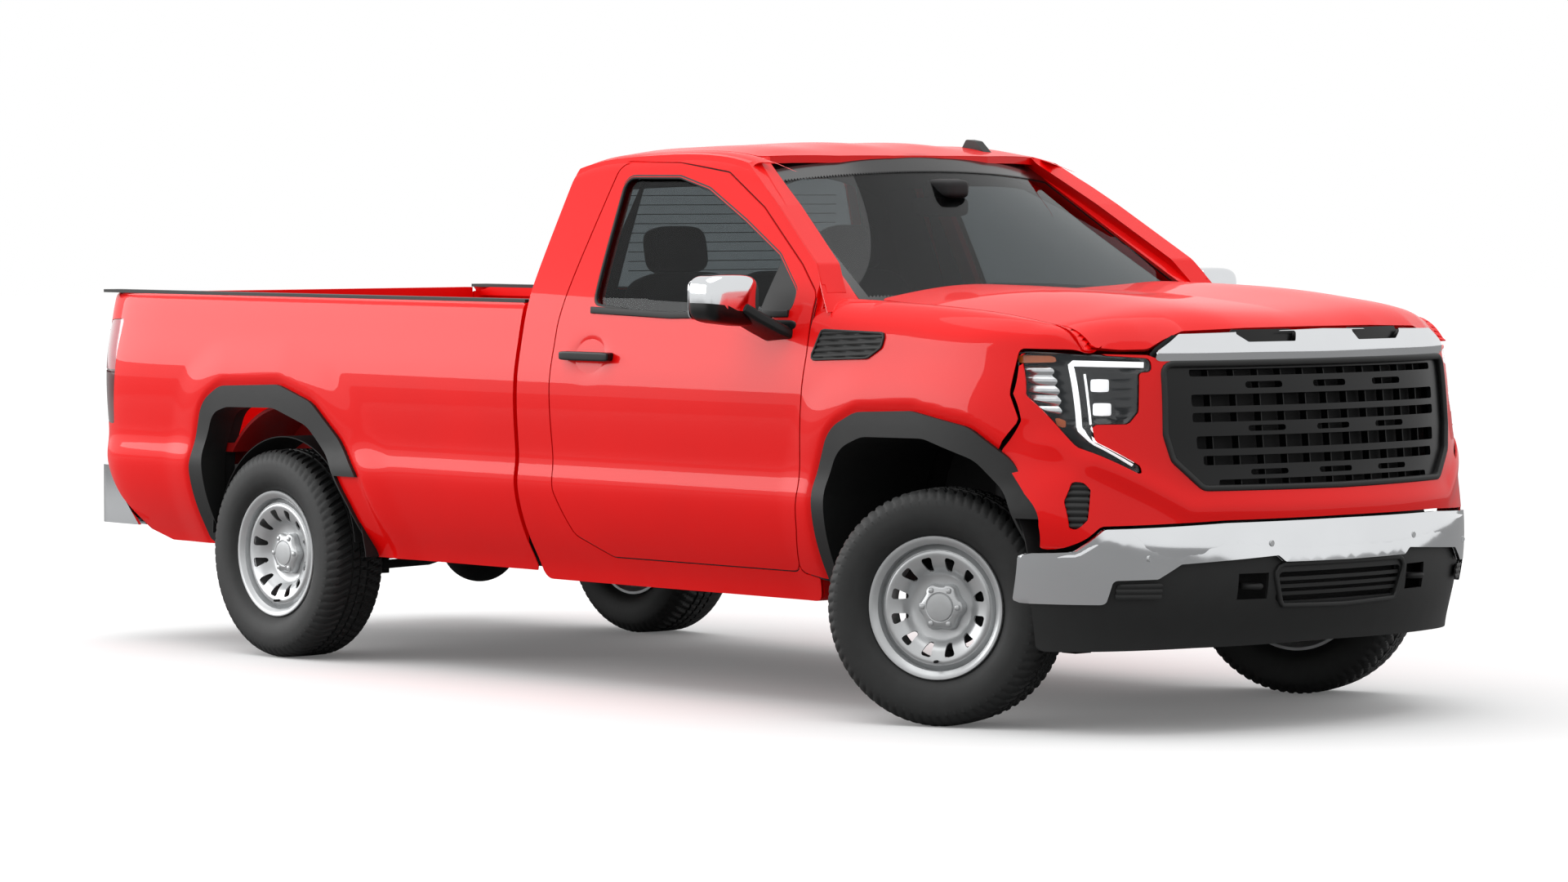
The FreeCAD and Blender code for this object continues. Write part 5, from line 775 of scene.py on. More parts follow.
def add_node(tree, kind, inputs=(), **settings):
    """One node with its settings; an input is a value, or another node's output to link."""
    node = tree.nodes.new(kind)
    for name, value in settings.items():
        setattr(node, name, value)
    for name, value in dict(inputs).items():
        if isinstance(value, bpy.types.NodeSocket):
            tree.links.new(value, node.inputs[name])
        else:
            node.inputs[name].default_value = value
    return node


def empty_material(name):
    """A node material with nothing in it, and its tree."""
    material = bpy.data.materials.new(name)
    material.use_nodes = True
    material.node_tree.nodes.clear()
    return material, material.node_tree


LEAST_BUMP = 0.001


def finish_surface(name, colour, spread, patch, bumps, depth, sockets, woven=False):
    """A surface whose colour wanders by a share over patches, with bumps that far apart and deep, all in mm.

    Woven surfaces take their bumps from two crossing waves, the others from noise, and the smoothest have none.
    """
    material, tree = empty_material(name)
    place = add_node(tree, "ShaderNodeTexCoord").outputs["Object"]
    patches = add_node(tree, "ShaderNodeTexNoise", {"Vector": place, "Scale": 1000 / patch, "Detail": 3})
    tones = add_node(tree, "ShaderNodeValToRGB", {"Fac": patches.outputs["Fac"]})
    for element, place_share, tone in zip(tones.color_ramp.elements, (0.35, 0.65), (1 - spread, 1 + spread)):
        element.position = place_share
        element.color = [min(channel * tone, 1) for channel in colour[:3]] + [1]
    if woven:
        waves = {"Vector": place, "Scale": 500 / bumps, "Distortion": 0.6}
        threads = [add_node(tree, "ShaderNodeTexWave", waves, bands_direction=direction).outputs["Fac"]
                   for direction in ("Y", "Z")]
        both = {0: threads[0], 1: threads[1]}
        height = add_node(tree, "ShaderNodeMath", both, operation="MULTIPLY").outputs[0]
    else:
        grain = {"Vector": place, "Scale": 1000 / bumps, "Detail": 3}
        height = add_node(tree, "ShaderNodeTexNoise", grain).outputs["Fac"]
    inputs = {"Base Color": tones.outputs["Color"]}
    if depth > LEAST_BUMP:
        bump = add_node(tree, "ShaderNodeBump", {"Height": height, "Distance": depth / 1000})
        inputs["Normal"] = bump.outputs["Normal"]
    inputs.update(sockets)
    shader = add_node(tree, "ShaderNodeBsdfPrincipled", inputs)
    add_node(tree, "ShaderNodeOutputMaterial", {"Surface": shader.outputs["BSDF"]})
    return material


# Each finish: its colour's name, how far the colour wanders, patch size, bump spacing and bump depth in mm, and
# the shader's own values
FINISHES = {
    # Baked red enamel under clear lacquer: an even solid colour with sharp reflections on top, no flakes.
    "red_enamel": ("paint", 0.02, 400, 14, 0.002,
                   {"Roughness": 0.45, "IOR": 1.45, "Specular IOR Level": 0.12, "Coat Weight": 0.42,
                    "Coat Roughness": 0.015, "Coat IOR": 1.5}),
    # The same enamel sprayed inside the bed without the polish: duller, with a fine orange peel; its red is
    # darker than the body's, as painted shade inside the bed.
    "bed_enamel": ("paint_bed_shade", 0.06, 200, 5, 0.02,
                   {"Roughness": 0.5, "Coat Weight": 0.15, "Coat Roughness": 0.2}),
    # Decorative chrome on pressed steel: a mirror with the press's faint waves under it.
    "chrome_plate": ("chrome", 0.02, 300, 110, 0.03, {"Metallic": 1.0, "Roughness": 0.075}),
    # Injection moulded polypropylene: near black, leather grain about 1 mm, drawn at 2.5 so that it shows.
    "grained_black": ("plastic", 0.10, 60, 2.5, 0.05, {"Roughness": 0.55, "IOR": 1.49}),
    # Moulded ABS with a polished tool: smooth, with a soft gloss.
    "smooth_black": ("plastic_gloss", 0.08, 80, 8, 0.008,
                     {"Roughness": 0.30, "IOR": 1.52, "Specular IOR Level": 0.3}),
    # Extruded EPDM rubber: matt black seals and gaps.
    "seal_rubber": ("rubber", 0.10, 20, 3, 0.02, {"Roughness": 0.8, "IOR": 1.5}),
    # Slush moulded cabin skin: dark, dull, 1.5 mm grain drawn at 3.
    "cabin_black": ("cabin", 0.08, 80, 3, 0.06, {"Roughness": 0.65, "IOR": 1.47}),
    # Carbon black tyre rubber, matt, with a faint bloom in patches.
    "tyre_rubber": ("tyre", 0.16, 45, 4, 0.08, {"Roughness": 0.62, "IOR": 1.52}),
    # Silver wheel paint on pressed steel: fine metal flakes under a thin clear coat.
    "wheel_silver": ("wheel", 0.03, 40, 3, 0.004, {"Metallic": 0.65, "Roughness": 0.36, "Coat Weight": 0.3}),
    # Chassis wax over black enamel: dull, uneven.
    "underbody_black": ("rubber", 0.25, 50, 6, 0.08, {"Roughness": 0.7, "IOR": 1.5}),
    # Cast iron and cast aluminium, as they come from the sand: pitted at about 2 mm.
    "cast_iron": ("iron", 0.18, 30, 3, 0.15, {"Metallic": 0.7, "Roughness": 0.55}),
    # Aluminised steel pipe: pale grey, faintly blotched by heat.
    "zinc_steel": ("steel", 0.14, 24, 8, 0.02, {"Metallic": 0.9, "Roughness": 0.42}),
    # Float glass tinted in the melt. Its index is set low, so that a thin pane bends and mirrors little.
    "window_glass": ("glass", 0.01, 500, 400, 0.001,
                     {"Roughness": 0.0, "IOR": 1.2, "Transmission Weight": 1.0}),
    # The same glass, dyed darker for the sides and the rear.
    "privacy_glass": ("glass_dark", 0.01, 500, 400, 0.001,
                      {"Roughness": 0.0, "IOR": 1.2, "Transmission Weight": 1.0}),
    # Black ceramic frit fired onto the glass edge.
    "glass_frit": ("rubber", 0.05, 60, 6, 0.004, {"Roughness": 0.15, "IOR": 1.5}),
    # Clear polycarbonate lens with a hard coat, thin enough that its own thickness can't be seen.
    "lens_clear": ("lens", 0.01, 300, 200, 0.002, {"Roughness": 0.02, "IOR": 1.58, "Alpha": 0.08}),
    # Dark tinted lamp cover over red chambers.
    "lens_red": ("lens_red", 0.06, 120, 60, 0.006, {"Roughness": 0.10, "IOR": 1.49, "Coat Weight": 0.8,
                                                   "Coat Roughness": 0.02}),
    # Paler red cover over the reversing lamp's white chamber.
    "lens_pink": ("lens_pink", 0.08, 40, 9, 0.02, {"Roughness": 0.12, "IOR": 1.49, "Coat Weight": 0.8,
                                                  "Coat Roughness": 0.02}),
    # Amber reflex lens.
    "amber_lens": ("amber", 0.06, 12, 5, 0.05, {"Roughness": 0.2, "IOR": 1.49, "Coat Weight": 0.5}),
    # Milky light guide that carries its own light.
    "white_guide": ("guide", 0.01, 60, 10, 0.004, {"Roughness": 0.3, "Emission Color": (1, 1, 1, 1),
                                                   "Emission Strength": 0.75}),
    # Vacuum metallised reflector.
    "lamp_mirror": ("chrome", 0.06, 30, 12, 0.05, {"Metallic": 1.0, "Roughness": 0.22}),
    # Dark polycarbonate lamp inside.
    "lamp_black": ("plastic_gloss", 0.10, 30, 8, 0.01, {"Roughness": 0.25, "IOR": 1.58}),
    # Woven polyester seat cloth: threads cross at 2 mm, drawn at 5 so that they show, dull with a soft sheen.
    "seat_cloth": ("cloth", 0.14, 25, 5, 0.5, {"Roughness": 0.85, "Sheen Weight": 0.3}),
}
MADE = {}


def material_of(finish):
    """The material for a finish, made once from the panel's colour."""
    if finish not in MADE:
        colour, spread, patch, bumps, depth, sockets = FINISHES[finish]
        shade = getattr(bpy.context.scene.truck_colours, colour)
        woven = finish == "seat_cloth"
        MADE[finish] = finish_surface(finish, shade, spread, patch, bumps, depth, sockets, woven)
    return MADE[finish]


WHEELS = ("front_left", "front_right", "rear_left", "rear_right")
NODE_FINISHES = {
    "red_enamel": ("cab_shell", "roof_panel", "fenders", "front_fascia", "bed_sides", "hood", "tailgate",
                   "door_left", "door_right"),
    "bed_enamel": ("bed_box",),
    "chrome_plate": ("grille_header", "front_bumper", "rear_bumper"),
    "grained_black": ("cowl_panel", "lower_valance", "bed_rail_caps", "arch_mouldings", "antenna"),
    "smooth_black": ("grille", "mirror_left", "mirror_right"),
    "cabin_black": ("dashboard", "steering_wheel"),
    "seat_cloth": ("seats",),
    "underbody_black": ("frame_rails", "rear_axle", "front_suspension", "fuel_tank"),
    "cast_iron": ("engine", "driveline", "knuckle_left", "knuckle_right"),
    "zinc_steel": ("exhaust",),
    "wheel_silver": tuple(f"wheel_{place}" for place in WHEELS),
    "tyre_rubber": tuple(f"tyre_{place}" for place in WHEELS) + ("spare_wheel",),
    "window_glass": ("cab_glass", "door_glass_left", "door_glass_right"),
    "lens_clear": ("headlamps",),
    "lens_red": ("tail_lamps",),
}


# Painted panels

def add_pair(name, mesh, finish, body, slot, **more):
    """A left piece and its mirror image, each on its own side's body."""
    for label, side in SIDES.items():
        own = mesh if side == LEFT else flipped(mesh)
        add_piece(f"{name}_{label}", own, finish, body.format(side=label), slot, **more)


def flank_path(flat, stand):
    """Points of (x, height) put on the left flank."""
    return np.stack((flat[:, 0], flank(*flat.T, stand), flat[:, 1]), 1)


def side_skin(keeps, cuts, surface, wall=WALL, cell=CELL):
    """A skin over the left flank from its flat outline."""
    flat, triangles = trimmed(keeps, cuts, cell)
    return thickened(surface(flat), triangles, wall, (0, 1, 0.2))


def front_sheet(keeps, cuts, stand, cell, wall=WALL, surface=None):
    """A skin over the front from its (y, z) outlines; stand is a number, or a function of y and z."""
    flat, triangles = trimmed(keeps, cuts, cell)
    height = stand(*flat.T) if callable(stand) else stand
    x = (surface or front_face)(*flat.T, height)
    return thickened(np.column_stack((x, flat)), triangles, wall, (1, 0, 0))


DOOR = cab_outline(DOOR_SHARES, DOOR_CORNER)
WINDOW = cab_outline(WINDOW_SHARES)
FENDER = rounded([(FRONT_AXLE + a * FRONT_OVERHANG, b) for a, b in FENDER_SHARES], FENDER_CORNER)
CAB_SIDE = rounded([(FRONT_AXLE + a * CAB_LENGTH, b) for a, b in SIDE_SHARES], CORNER)
BED_SIDE = rounded([(REAR_AXLE + a * REAR_OVERHANG if a < 0 else BED_FRONT, b) for a, b in BED_SIDE_SHARES],
                   SMALL_CORNER)
TAIL_LAMP = rounded([(REAR_AXLE + a * REAR_OVERHANG, b) for a, b in TAIL_LAMP_SHARES], SMALL_CORNER)
FRONT_ARCH = arch_outline(FRONT_AXLE, FRONT_ARCH_SHARES)
REAR_ARCH = arch_outline(REAR_AXLE, REAR_ARCH_SHARES)
HANDLE_PLACE = (0.246, 1.173)
HANDLE_BOWL = (0.075, 0.055, 0.014)
VENT_SHAPE = rounded([(1.400, 1.188), (1.438, 1.287), (1.747, 1.282), (1.739, 1.236), (1.679, 1.200)],
                     SMALL_CORNER)
VENT_REBATE = -0.004
# Each roll: how far in its top face goes, and its bend, in metres
CAB_ROLL = (0.655 * FLANK_HALF + PANEL_GAP, 0.05)
FENDER_TOP_ROLL = (0.856, 0.045)
BED_ROLL = (0.905, 0.022)
PILLAR_SHARES = ((-0.236, 1.345), (-0.298, 1.505), (-0.443, 1.700), (-0.555, 1.838), (-0.575, 1.93))
PILLAR_STEP = 0.015
PILLAR_TOP_SHARES = (-0.575, 0.648)
PILLAR_GLASS_SHARES = (0.985, 1.13)
PILLAR_LATE_SHARE = 0.86
PILLAR_BULGE = (0.016, 0.006, 0.004)
PILLAR_COLUMNS = 9
HOOD_WALL = 0.016
RIB_HEIGHT = 0.005
RIB_SPACING = 0.34
RIB_FADE = 0.12
RIB_END_SHARES = (-1.01, -0.56)


def cab_face(flat):
    """The cab side's surface over (x, height), with the bowl behind the door handle sunk by a bell curve."""
    points = rolled_side(roof, *CAB_ROLL)(flat)
    away = (((flat - HANDLE_PLACE) / HANDLE_BOWL[:2]) ** 2).sum(1)
    points[:, 1] -= HANDLE_BOWL[2] * np.exp(-away ** 1.5)
    return points


def make_body_sides():
    """Fender, door, cab side and bed side skins on both flanks."""
    gaps = [offset(DOOR, PANEL_GAP), offset(FENDER, PANEL_GAP)]
    for name, keeps, cuts, surface, body, cell, stands_for in (
            ("fender_skin", [FENDER], [FRONT_ARCH, offset(VENT_SHAPE, VENT_REBATE)],
             rolled_side(shoulder, *FENDER_TOP_ROLL), "chassis", CELL, ("fenders",)),
            ("door_skin", [DOOR], [WINDOW], cab_face, "door_{side}", DOOR_CELL, ()),
            ("cab_side_skin", [CAB_SIDE], gaps, cab_face, "chassis", CELL, ()),
            ("bed_side_skin", [BED_SIDE], [REAR_ARCH, TAIL_LAMP], rolled_side(bed_top, *BED_ROLL), "chassis",
             CELL, ())):
        skin = side_skin(keeps, cuts, surface, cell=cell)
        add_pair(name, skin, "red_enamel", body, "body_red", stands_for=stands_for)


def pillar_edges():
    """The two edges that the windshield pillar spans: the cab side's front edge and the glass's side edge."""
    line = resampled([(FRONT_AXLE + a * CAB_LENGTH, b) for a, b in PILLAR_SHARES], PILLAR_STEP)
    outer = cab_face(line)
    share = np.linspace(0, 1, len(outer))
    across, rise = PILLAR_GLASS_SHARES
    glass = screen_point(np.ones_like(share) * across, np.minimum(share * rise, 1.0))
    station_share, half_share = PILLAR_TOP_SHARES
    corner = np.array((FRONT_AXLE + station_share * CAB_LENGTH, half_share * FLANK_HALF, 0))
    corner[2] = roof(corner[:1], corner[1:2])[0]
    late = ease((share - PILLAR_LATE_SHARE) / (1 - PILLAR_LATE_SHARE))[:, None]
    return outer, glass * (1 - late) + corner * late


def make_pillars():
    """Windshield pillars: each row is a curve of second order from cab side to glass, bowed forward."""
    outer, inner = pillar_edges()
    across = np.linspace(0, 1, PILLAR_COLUMNS)[None, :, None]
    rest = 1 - across
    bulge = np.sin(np.pi * np.linspace(0, 1, len(outer)))[:, None]
    middle_line = (outer + inner) / 2 + bulge * np.array(PILLAR_BULGE)
    rows = rest ** 2 * outer[:, None] + 2 * across * rest * middle_line[:, None] + across ** 2 * inner[:, None]
    faces = to_triangles(grid_quads(len(outer), PILLAR_COLUMNS))
    mesh = thickened(rows.reshape(-1, 3), faces, LINER_WALL, (0.6, 0.6, 0.5))
    add_pair("pillar_skin", mesh, "red_enamel", "chassis", "body_red", sharp=50)


def make_hood():
    """The hood: one pressed panel whose front edge rolls down onto the lamps and the header."""
    half = [(FRONT_AXLE + a * FRONT_OVERHANG, b * HOOD_HALF) for a, b in HOOD_PLAN_SHARES]
    outline = rounded(half + [(x, -y) for x, y in reversed(half)], CORNER)
    flat, triangles = trimmed([outline], cell=HOOD_CELL)
    panel = thickened(np.column_stack((flat, hood_skin(*flat.T))), triangles, HOOD_WALL, (0, 0, 1))
    add_piece("hood_skin", panel, "red_enamel", "hood", "body_red", ("hood",))


def roof_ribs(x, y):
    """Shallow lengthwise swages in the roof: waves across it that fade out before its ends."""
    rear, front = (FRONT_AXLE + share * CAB_LENGTH for share in RIB_END_SHARES)
    fade = ease((x - rear) / RIB_FADE) * ease((front - x) / RIB_FADE)
    return RIB_HEIGHT * fade * (1 - np.cos(2 * np.pi * y / RIB_SPACING)) / 2


def make_roof():
    """The roof with its lengthwise swages."""
    plan = rounded([(FRONT_AXLE + a * CAB_LENGTH, b * FLANK_HALF) for a, b in ROOF_PLAN_SHARES], CORNER)
    flat, triangles = trimmed([plan])
    points = np.column_stack((flat, roof(*flat.T) + roof_ribs(*flat.T)))
    panel = thickened(points, triangles, WALL, (0, 0, 1))
    add_piece("roof_skin", panel, "red_enamel", "chassis", "body_red")


# Front end

FASCIA_EDGE = (
    (0.0, 0.699), (0.495, 0.697), (0.856, 0.682), (0.917, 0.608), (0.938, 0.602), (0.955, 0.68),
    (0.966, 0.780), (0.971, 0.915), (0.9555, 1.015), (0.9605, 1.100), (0.9355, 1.232), (0.700, 1.226),
    (0.660, 1.208), (0.0, 1.208),
)
FASCIA = rounded(list(FASCIA_EDGE) + [(-y, z) for y, z in reversed(FASCIA_EDGE) if y > 0], SMALL_CORNER)
GRILLE = rounded(both_halves(GRILLE_SHARES), CORNER)
LAMP = rounded([(a * FLANK_HALF, b) for a, b in LAMP_SHARES], LAMP_CORNER)
HEADER = rounded(both_halves(HEADER_SHARES), LAMP_CORNER)
BUMPER = rounded(both_halves(BUMPER_SHARES), LAMP_CORNER)
FOG_VENT = rounded(
    [(0.905, 0.825), (0.884, 0.821), (0.871, 0.799), (0.884, 0.702), (0.918, 0.653), (0.924, 0.76)], 0.01)
# The fascia's ridge: its line across, its height, its half breadth, and where it fades out
RIDGE_LINE = ((0.60, 0.62, 0.93), (0.735, 0.74, 0.93))
RIDGE_RISE = 0.014
RIDGE_BREADTH = 0.045
RIDGE_END = 0.97
RIDGE_FADE = 0.05
HEADER_SLOT = ((0.40, 1.297), (0.35, 1.264), (0.15, 1.264), (0.13, 1.297))
HEADER_FOOT = 1.204
HEADER_TALL = 0.10
HEADER_CROWN = 0.012
# The grille's long openings: foot, head and half length; and the feet and heads of its rows of short ones
LONG_SLOTS = (
    (1.156, 1.178, 0.57), (1.060, 1.098, 0.57), (1.010, 1.040, 0.57), (0.924, 0.965, 0.56),
    (0.872, 0.902, 0.54), (0.800, 0.825, 0.49),
)
SHORT_SLOTS = ((1.116, 1.137), (0.978, 0.997), (0.838, 0.856))
SHORT_SLOT_CENTRES = (-0.29, 0.0, 0.29)
SHORT_SLOT_HALF = 0.077
SHORT_SLOT_CORNER = 0.0095
GRILLE_RIB_HEIGHTS = (0.80, 0.95, 1.10, 1.19)
GRILLE_RIB_SPACING = 0.0975
GRILLE_RIM_INSET = 0.009
BUMPER_STAND = 0.002
BUMPER_BULGE = 0.0125
BUMPER_EDGE = 0.020
SENSOR_PLACES = ((0.337, 0.619), (0.745, 0.580))
SENSOR_STAND = 0.0145
SENSOR_LINE = ((0.0002, 0.003), (0.009, 0.003), (0.0105, 0.0015), (0.0105, -0.004), (0.0002, -0.004))
SENSOR_TURN = 0.25
PAD_SHAPE = ((0.70, 0.500), (0.82, 0.497), (0.82, 0.445), (0.70, 0.45))
INTAKE_EDGE = ((0.0, 0.549), (0.285, 0.549), (0.305, 0.52), (0.27, 0.415), (0.0, 0.408))
# The lamp's insides, as (y, height)
GUIDE_LINE = ((0.704, 1.194), (0.866, 1.199), (0.866, 0.990), (0.842, 0.950), (0.752, 0.880))
THIN_GUIDE_LINE = ((0.846, 1.165), (0.846, 0.99), (0.825, 0.958), (0.752, 0.903))
GUIDE_STEP = 0.012
PROJECTOR_Y = 0.805
PROJECTOR_HEIGHTS = (1.128, 1.052)
FIN_LINE = (0.776, 0.742)
FIN_HEIGHTS = (1.03, 1.06, 1.09, 1.12, 1.15)
REFLECTOR_SHAPE = ((0.932, 1.185), (0.884, 1.192), (0.884, 1.03), (0.905, 1.045), (0.930, 1.11))
AMBER_TOP = ((0.930, 1.197), (0.884, 1.202), (0.884, 1.222), (0.927, 1.222))
AMBER_FOOT = ((0.902, 1.030), (0.886, 1.015), (0.886, 0.990), (0.898, 1.000))


def ribbed(foot, spacing, low, rise):
    """How far a ribbed face stands out: a low level plus a rise times the folded sine up its height."""
    return lambda y, z: low + rise * np.abs(np.sin(np.pi * (z - foot) / spacing))


def crease(y, z):
    """How far the fascia stands out: a soft ridge along a line that falls inward below the lamps."""
    line = np.interp(np.abs(y), *RIDGE_LINE)
    fade = ease((RIDGE_END - np.abs(y)) / RIDGE_FADE)
    return SKIN + RIDGE_RISE * np.exp(-((z - line) / RIDGE_BREADTH) ** 2) * fade


def make_fascia():
    """The painted fascia round the grille and under the lamps, with black vents at its corners."""
    lamps = [offset(shape, 0.002) for shape in mirrored_shape(LAMP)]
    vents = mirrored_shape(FOG_VENT)
    skin = front_sheet([FASCIA], [GRILLE, *lamps, *vents], crease, FRONT_CELL, 0.006)
    add_piece("fascia_skin", skin, "red_enamel", "chassis", "body_red", ("front_fascia",))
    ribs = ribbed(0.65, 0.021, -0.012, 0.010)
    for label, shape in zip(SIDES, vents):
        vent = front_sheet([offset(shape, 0.003)], [], ribs, 0.004)
        add_piece(f"corner_vent_{label}", vent, "grained_black", "chassis", "black_plastic")


def make_header():
    """The chrome bar over the grille: crowned, with dark slots let into it."""
    slots = [rounded([(side * y, z) for y, z in HEADER_SLOT], 0.005) for side in (LEFT, RIGHT)]

    def crown(y, z):
        return SKIN + HEADER_CROWN * np.sin(np.pi * np.clip((z - HEADER_FOOT) / HEADER_TALL, 0, 1))

    skin = front_sheet([HEADER], slots, crown, 0.006, LINER_WALL)
    add_piece("header_skin", skin, "chrome_plate", "chassis", "chrome", ("grille_header",))
    parts = [front_sheet([offset(slot, 0.006)], [], -0.012, 0.01) for slot in slots]
    parts.append(front_sheet([offset(HEADER, -0.004)], [], -0.026, 0.02))
    add_piece("header_slots", joined(parts), "smooth_black", "chassis", "gloss_black")


def make_grille():
    """The grille: rim, slotted bars with end blocks, upright ribs behind them and a closed back."""
    cuts = [rounded_box(-half, half, low, high, SLOT_CORNER) for low, high, half in LONG_SLOTS]
    for low, high in SHORT_SLOTS:
        for centre in SHORT_SLOT_CENTRES:
            cuts.append(rounded_box(centre - SHORT_SLOT_HALF, centre + SHORT_SLOT_HALF, low, high,
                                    SHORT_SLOT_CORNER))
    face = front_sheet([offset(GRILLE, -0.004)], cuts, -0.010, FRONT_CELL, 0.014, nose)
    back = front_sheet([offset(GRILLE, -0.002)], [], -0.066, COARSE_CELL, LINER_WALL, nose)
    ribs = []
    for place in np.arange(-6, 7) * GRILLE_RIB_SPACING:
        path = np.array([(0, place, height) for height in GRILLE_RIB_HEIGHTS])
        path[:, 0] = nose(path[:, 1], path[:, 2], -0.045)
        ribs.append(swept(block_section(0.004, 0.030), path, up=(1, 0, 0)))
    border = ring_line(GRILLE, 0.015)
    border = border - edge_room(border, [GRILLE], ())[1] * GRILLE_RIM_INSET
    path = np.column_stack((nose(*border.T, -0.004), border))
    rim = swept(block_section(0.020, 0.030, 0.35), path, up=(1, 0, 0), closed=True)
    add_piece("grille_bars", joined([face] + ribs), "smooth_black", "chassis", "gloss_black", ("grille",), 30)
    add_piece("grille_back", back, "seal_rubber", "chassis", "gloss_black")
    add_piece("grille_rim", rim, "grained_black", "chassis", "gloss_black")


def make_bumper():
    """The chrome bumper, rolled back at its edges, with round sensors, black pads and an intake frame."""
    flat, triangles = trimmed([BUMPER], [], FRONT_CELL)
    share = np.clip(edge_room(flat, [BUMPER], ())[0] / BUMPER_EDGE, 0, 1)
    stand = BUMPER_STAND + BUMPER_BULGE * np.sqrt(np.clip(1 - (1 - share) ** 2, 0, 1))
    points = np.column_stack((nose(*flat.T, stand), flat))
    skin = thickened(points, triangles, WALL, (1, 0, 0))
    add_piece("bumper_skin", skin, "chrome_plate", "chassis", "chrome")
    ring, faces = turned_form(SENSOR_LINE, 32)
    rings = []
    for y, z in SENSOR_PLACES:
        for side in (LEFT, RIGHT):
            x = nose(np.array([side * y]), np.array([z]), SENSOR_STAND)[0]
            ahead = (1, -SENSOR_TURN * side * (y > 0.5), 0)
            rings.append((ring @ facing_axes(ahead) + (x, side * y, z), faces))
    add_piece("bumper_sensors", joined(rings), "wheel_silver", "chassis", "chrome")
    ribs = ribbed(0.445, 0.018, 0.010, 0.004)
    pads = [front_sheet([rounded([(side * y, z) for y, z in PAD_SHAPE], 0.008)], [], ribs, 0.006, 0.006, nose)
            for side in (LEFT, RIGHT)]
    add_piece("bumper_pads", joined(pads), "grained_black", "chassis", "black_plastic")
    half = rounded(INTAKE_EDGE, 0.01)[6:-6]
    line = ring_line(np.concatenate((half, half[::-1] * (-1, 1))), 0.02)
    path = np.column_stack((nose(*line.T, -0.012), line))
    frame_bar = swept(block_section(0.016, 0.030), path, up=(1, 0, 0), closed=True)
    room = rounded_box(-0.72, 0.72, 0.35, 0.60, 0.02)
    back = front_sheet([room], [], -0.11, COARSE_CELL, LINER_WALL, nose)
    add_piece("intake_back", back, "seal_rubber", "chassis", "black_plastic")
    add_piece("intake_frame", frame_bar, "grained_black", "chassis", "black_plastic")


def make_headlamps():
    """Headlamps: dark bowl, light guides, two projector blocks, ribbed reflector, amber strips, clear lens."""
    def bowl(y, z):
        return -0.003 - 0.055 * ease(edge_room(np.stack((np.abs(y), z), 1), [LAMP], ())[0] / 0.02)

    def bar_on_front(line, step, stand, width, depth):
        flat = resampled(line, step)
        path = np.column_stack((front_face(*flat.T, stand), flat))
        return swept(block_section(width, depth), path, up=(1, 0, 0))

    housing = [front_sheet([LAMP], [], bowl, 0.007)]
    for z in FIN_HEIGHTS:
        housing.append(bar_on_front([(y, z) for y in FIN_LINE], 0.01, -0.035, 0.004, 0.035))
    guides = [bar_on_front(GUIDE_LINE, GUIDE_STEP, -0.014, 0.019, 0.012),
              bar_on_front(THIN_GUIDE_LINE, GUIDE_STEP, -0.012, 0.005, 0.008)]
    blocks = []
    for z in PROJECTOR_HEIGHTS:
        x = front_face(np.array([PROJECTOR_Y]), np.array([z]), -0.040)[0]
        blocks.append(pad((x, PROJECTOR_Y, z), (0.024, 0.021, 0.020), 0.25))
    mirror = front_sheet([rounded(REFLECTOR_SHAPE, 0.01)], [], ribbed(1.03, 0.032, -0.034, 0.008), FINE_CELL)
    amber = [front_sheet([rounded(shape, radius)], [], -0.016, FINE_CELL)
             for shape, radius in ((AMBER_TOP, 0.006), (AMBER_FOOT, 0.004))]
    lens = front_sheet([LAMP], [], 0.003, FRONT_CELL)
    for name, mesh, finish, stands_for in (
            ("lamp_housing", joined(housing), "lamp_black", ("headlamps",)),
            ("lamp_guide", joined(guides), "white_guide", ()),
            ("lamp_projectors", joined(blocks), "white_guide", ()),
            ("lamp_reflector", mirror, "lamp_mirror", ()),
            ("lamp_amber", joined(amber), "amber_lens", ()),
            ("lamp_lens", lens, "lens_clear", ())):
        add_pair(name, mesh, finish, "chassis", "lamp_clear", stands_for=stands_for)


# Side trim

# Louvres in the fender vent, the door handle's grip and feet, and the belt moulding, in metres
LOUVRE_SLOPE = 0.05
LOUVRE_SPACING = 0.019
LOUVRE_DEPTH = 0.006
VENT_FOOT = (1.4, 1.19)
GRIP_HALF = (0.134, 0.010, 0.016)
GRIP_STAND = 0.027
FOOT_HALF = (0.032, 0.018, 0.015)
FOOT_STAND = 0.012
FOOT_REACH = 0.098
BELT_LINE = ((0.222, 1.333), (0.65, 1.322), (1.255, 1.338))
SAIL_SHAPE = ((1.105, 1.345), (1.275, 1.350), (1.275, 1.395), (1.150, 1.545))
SEAL_INSET = 0.008
FENDER_SEAL_END = 1.45
FENDER_SEAL_TOP = 1.33


def flank_ring(outline, spacing, stand, width, depth):
    """A bar that runs round a closed outline on the left flank."""
    path = flank_path(ring_line(outline, spacing), stand)
    return swept(block_section(width, depth), path, up=(0, 1, 0), closed=True)


def make_fender_vents():
    """The louvred vents behind the front wheels, with their rims."""
    flat, triangles = trimmed([VENT_SHAPE], cell=0.0045)
    louvres = flank_path(flat, WALL)
    height = flat[:, 1] - VENT_FOOT[1] - LOUVRE_SLOPE * (flat[:, 0] - VENT_FOOT[0])
    louvres[:, 1] += LOUVRE_DEPTH * np.abs(np.sin(np.pi * height / LOUVRE_SPACING))
    rim = flank_ring(VENT_SHAPE, 0.012, 0.006, 0.008, 0.010)
    vent = joined([thickened(louvres, triangles, WALL, (0, 1, 0)), rim])
    add_pair("fender_vent", vent, "grained_black", "chassis", "black_plastic")


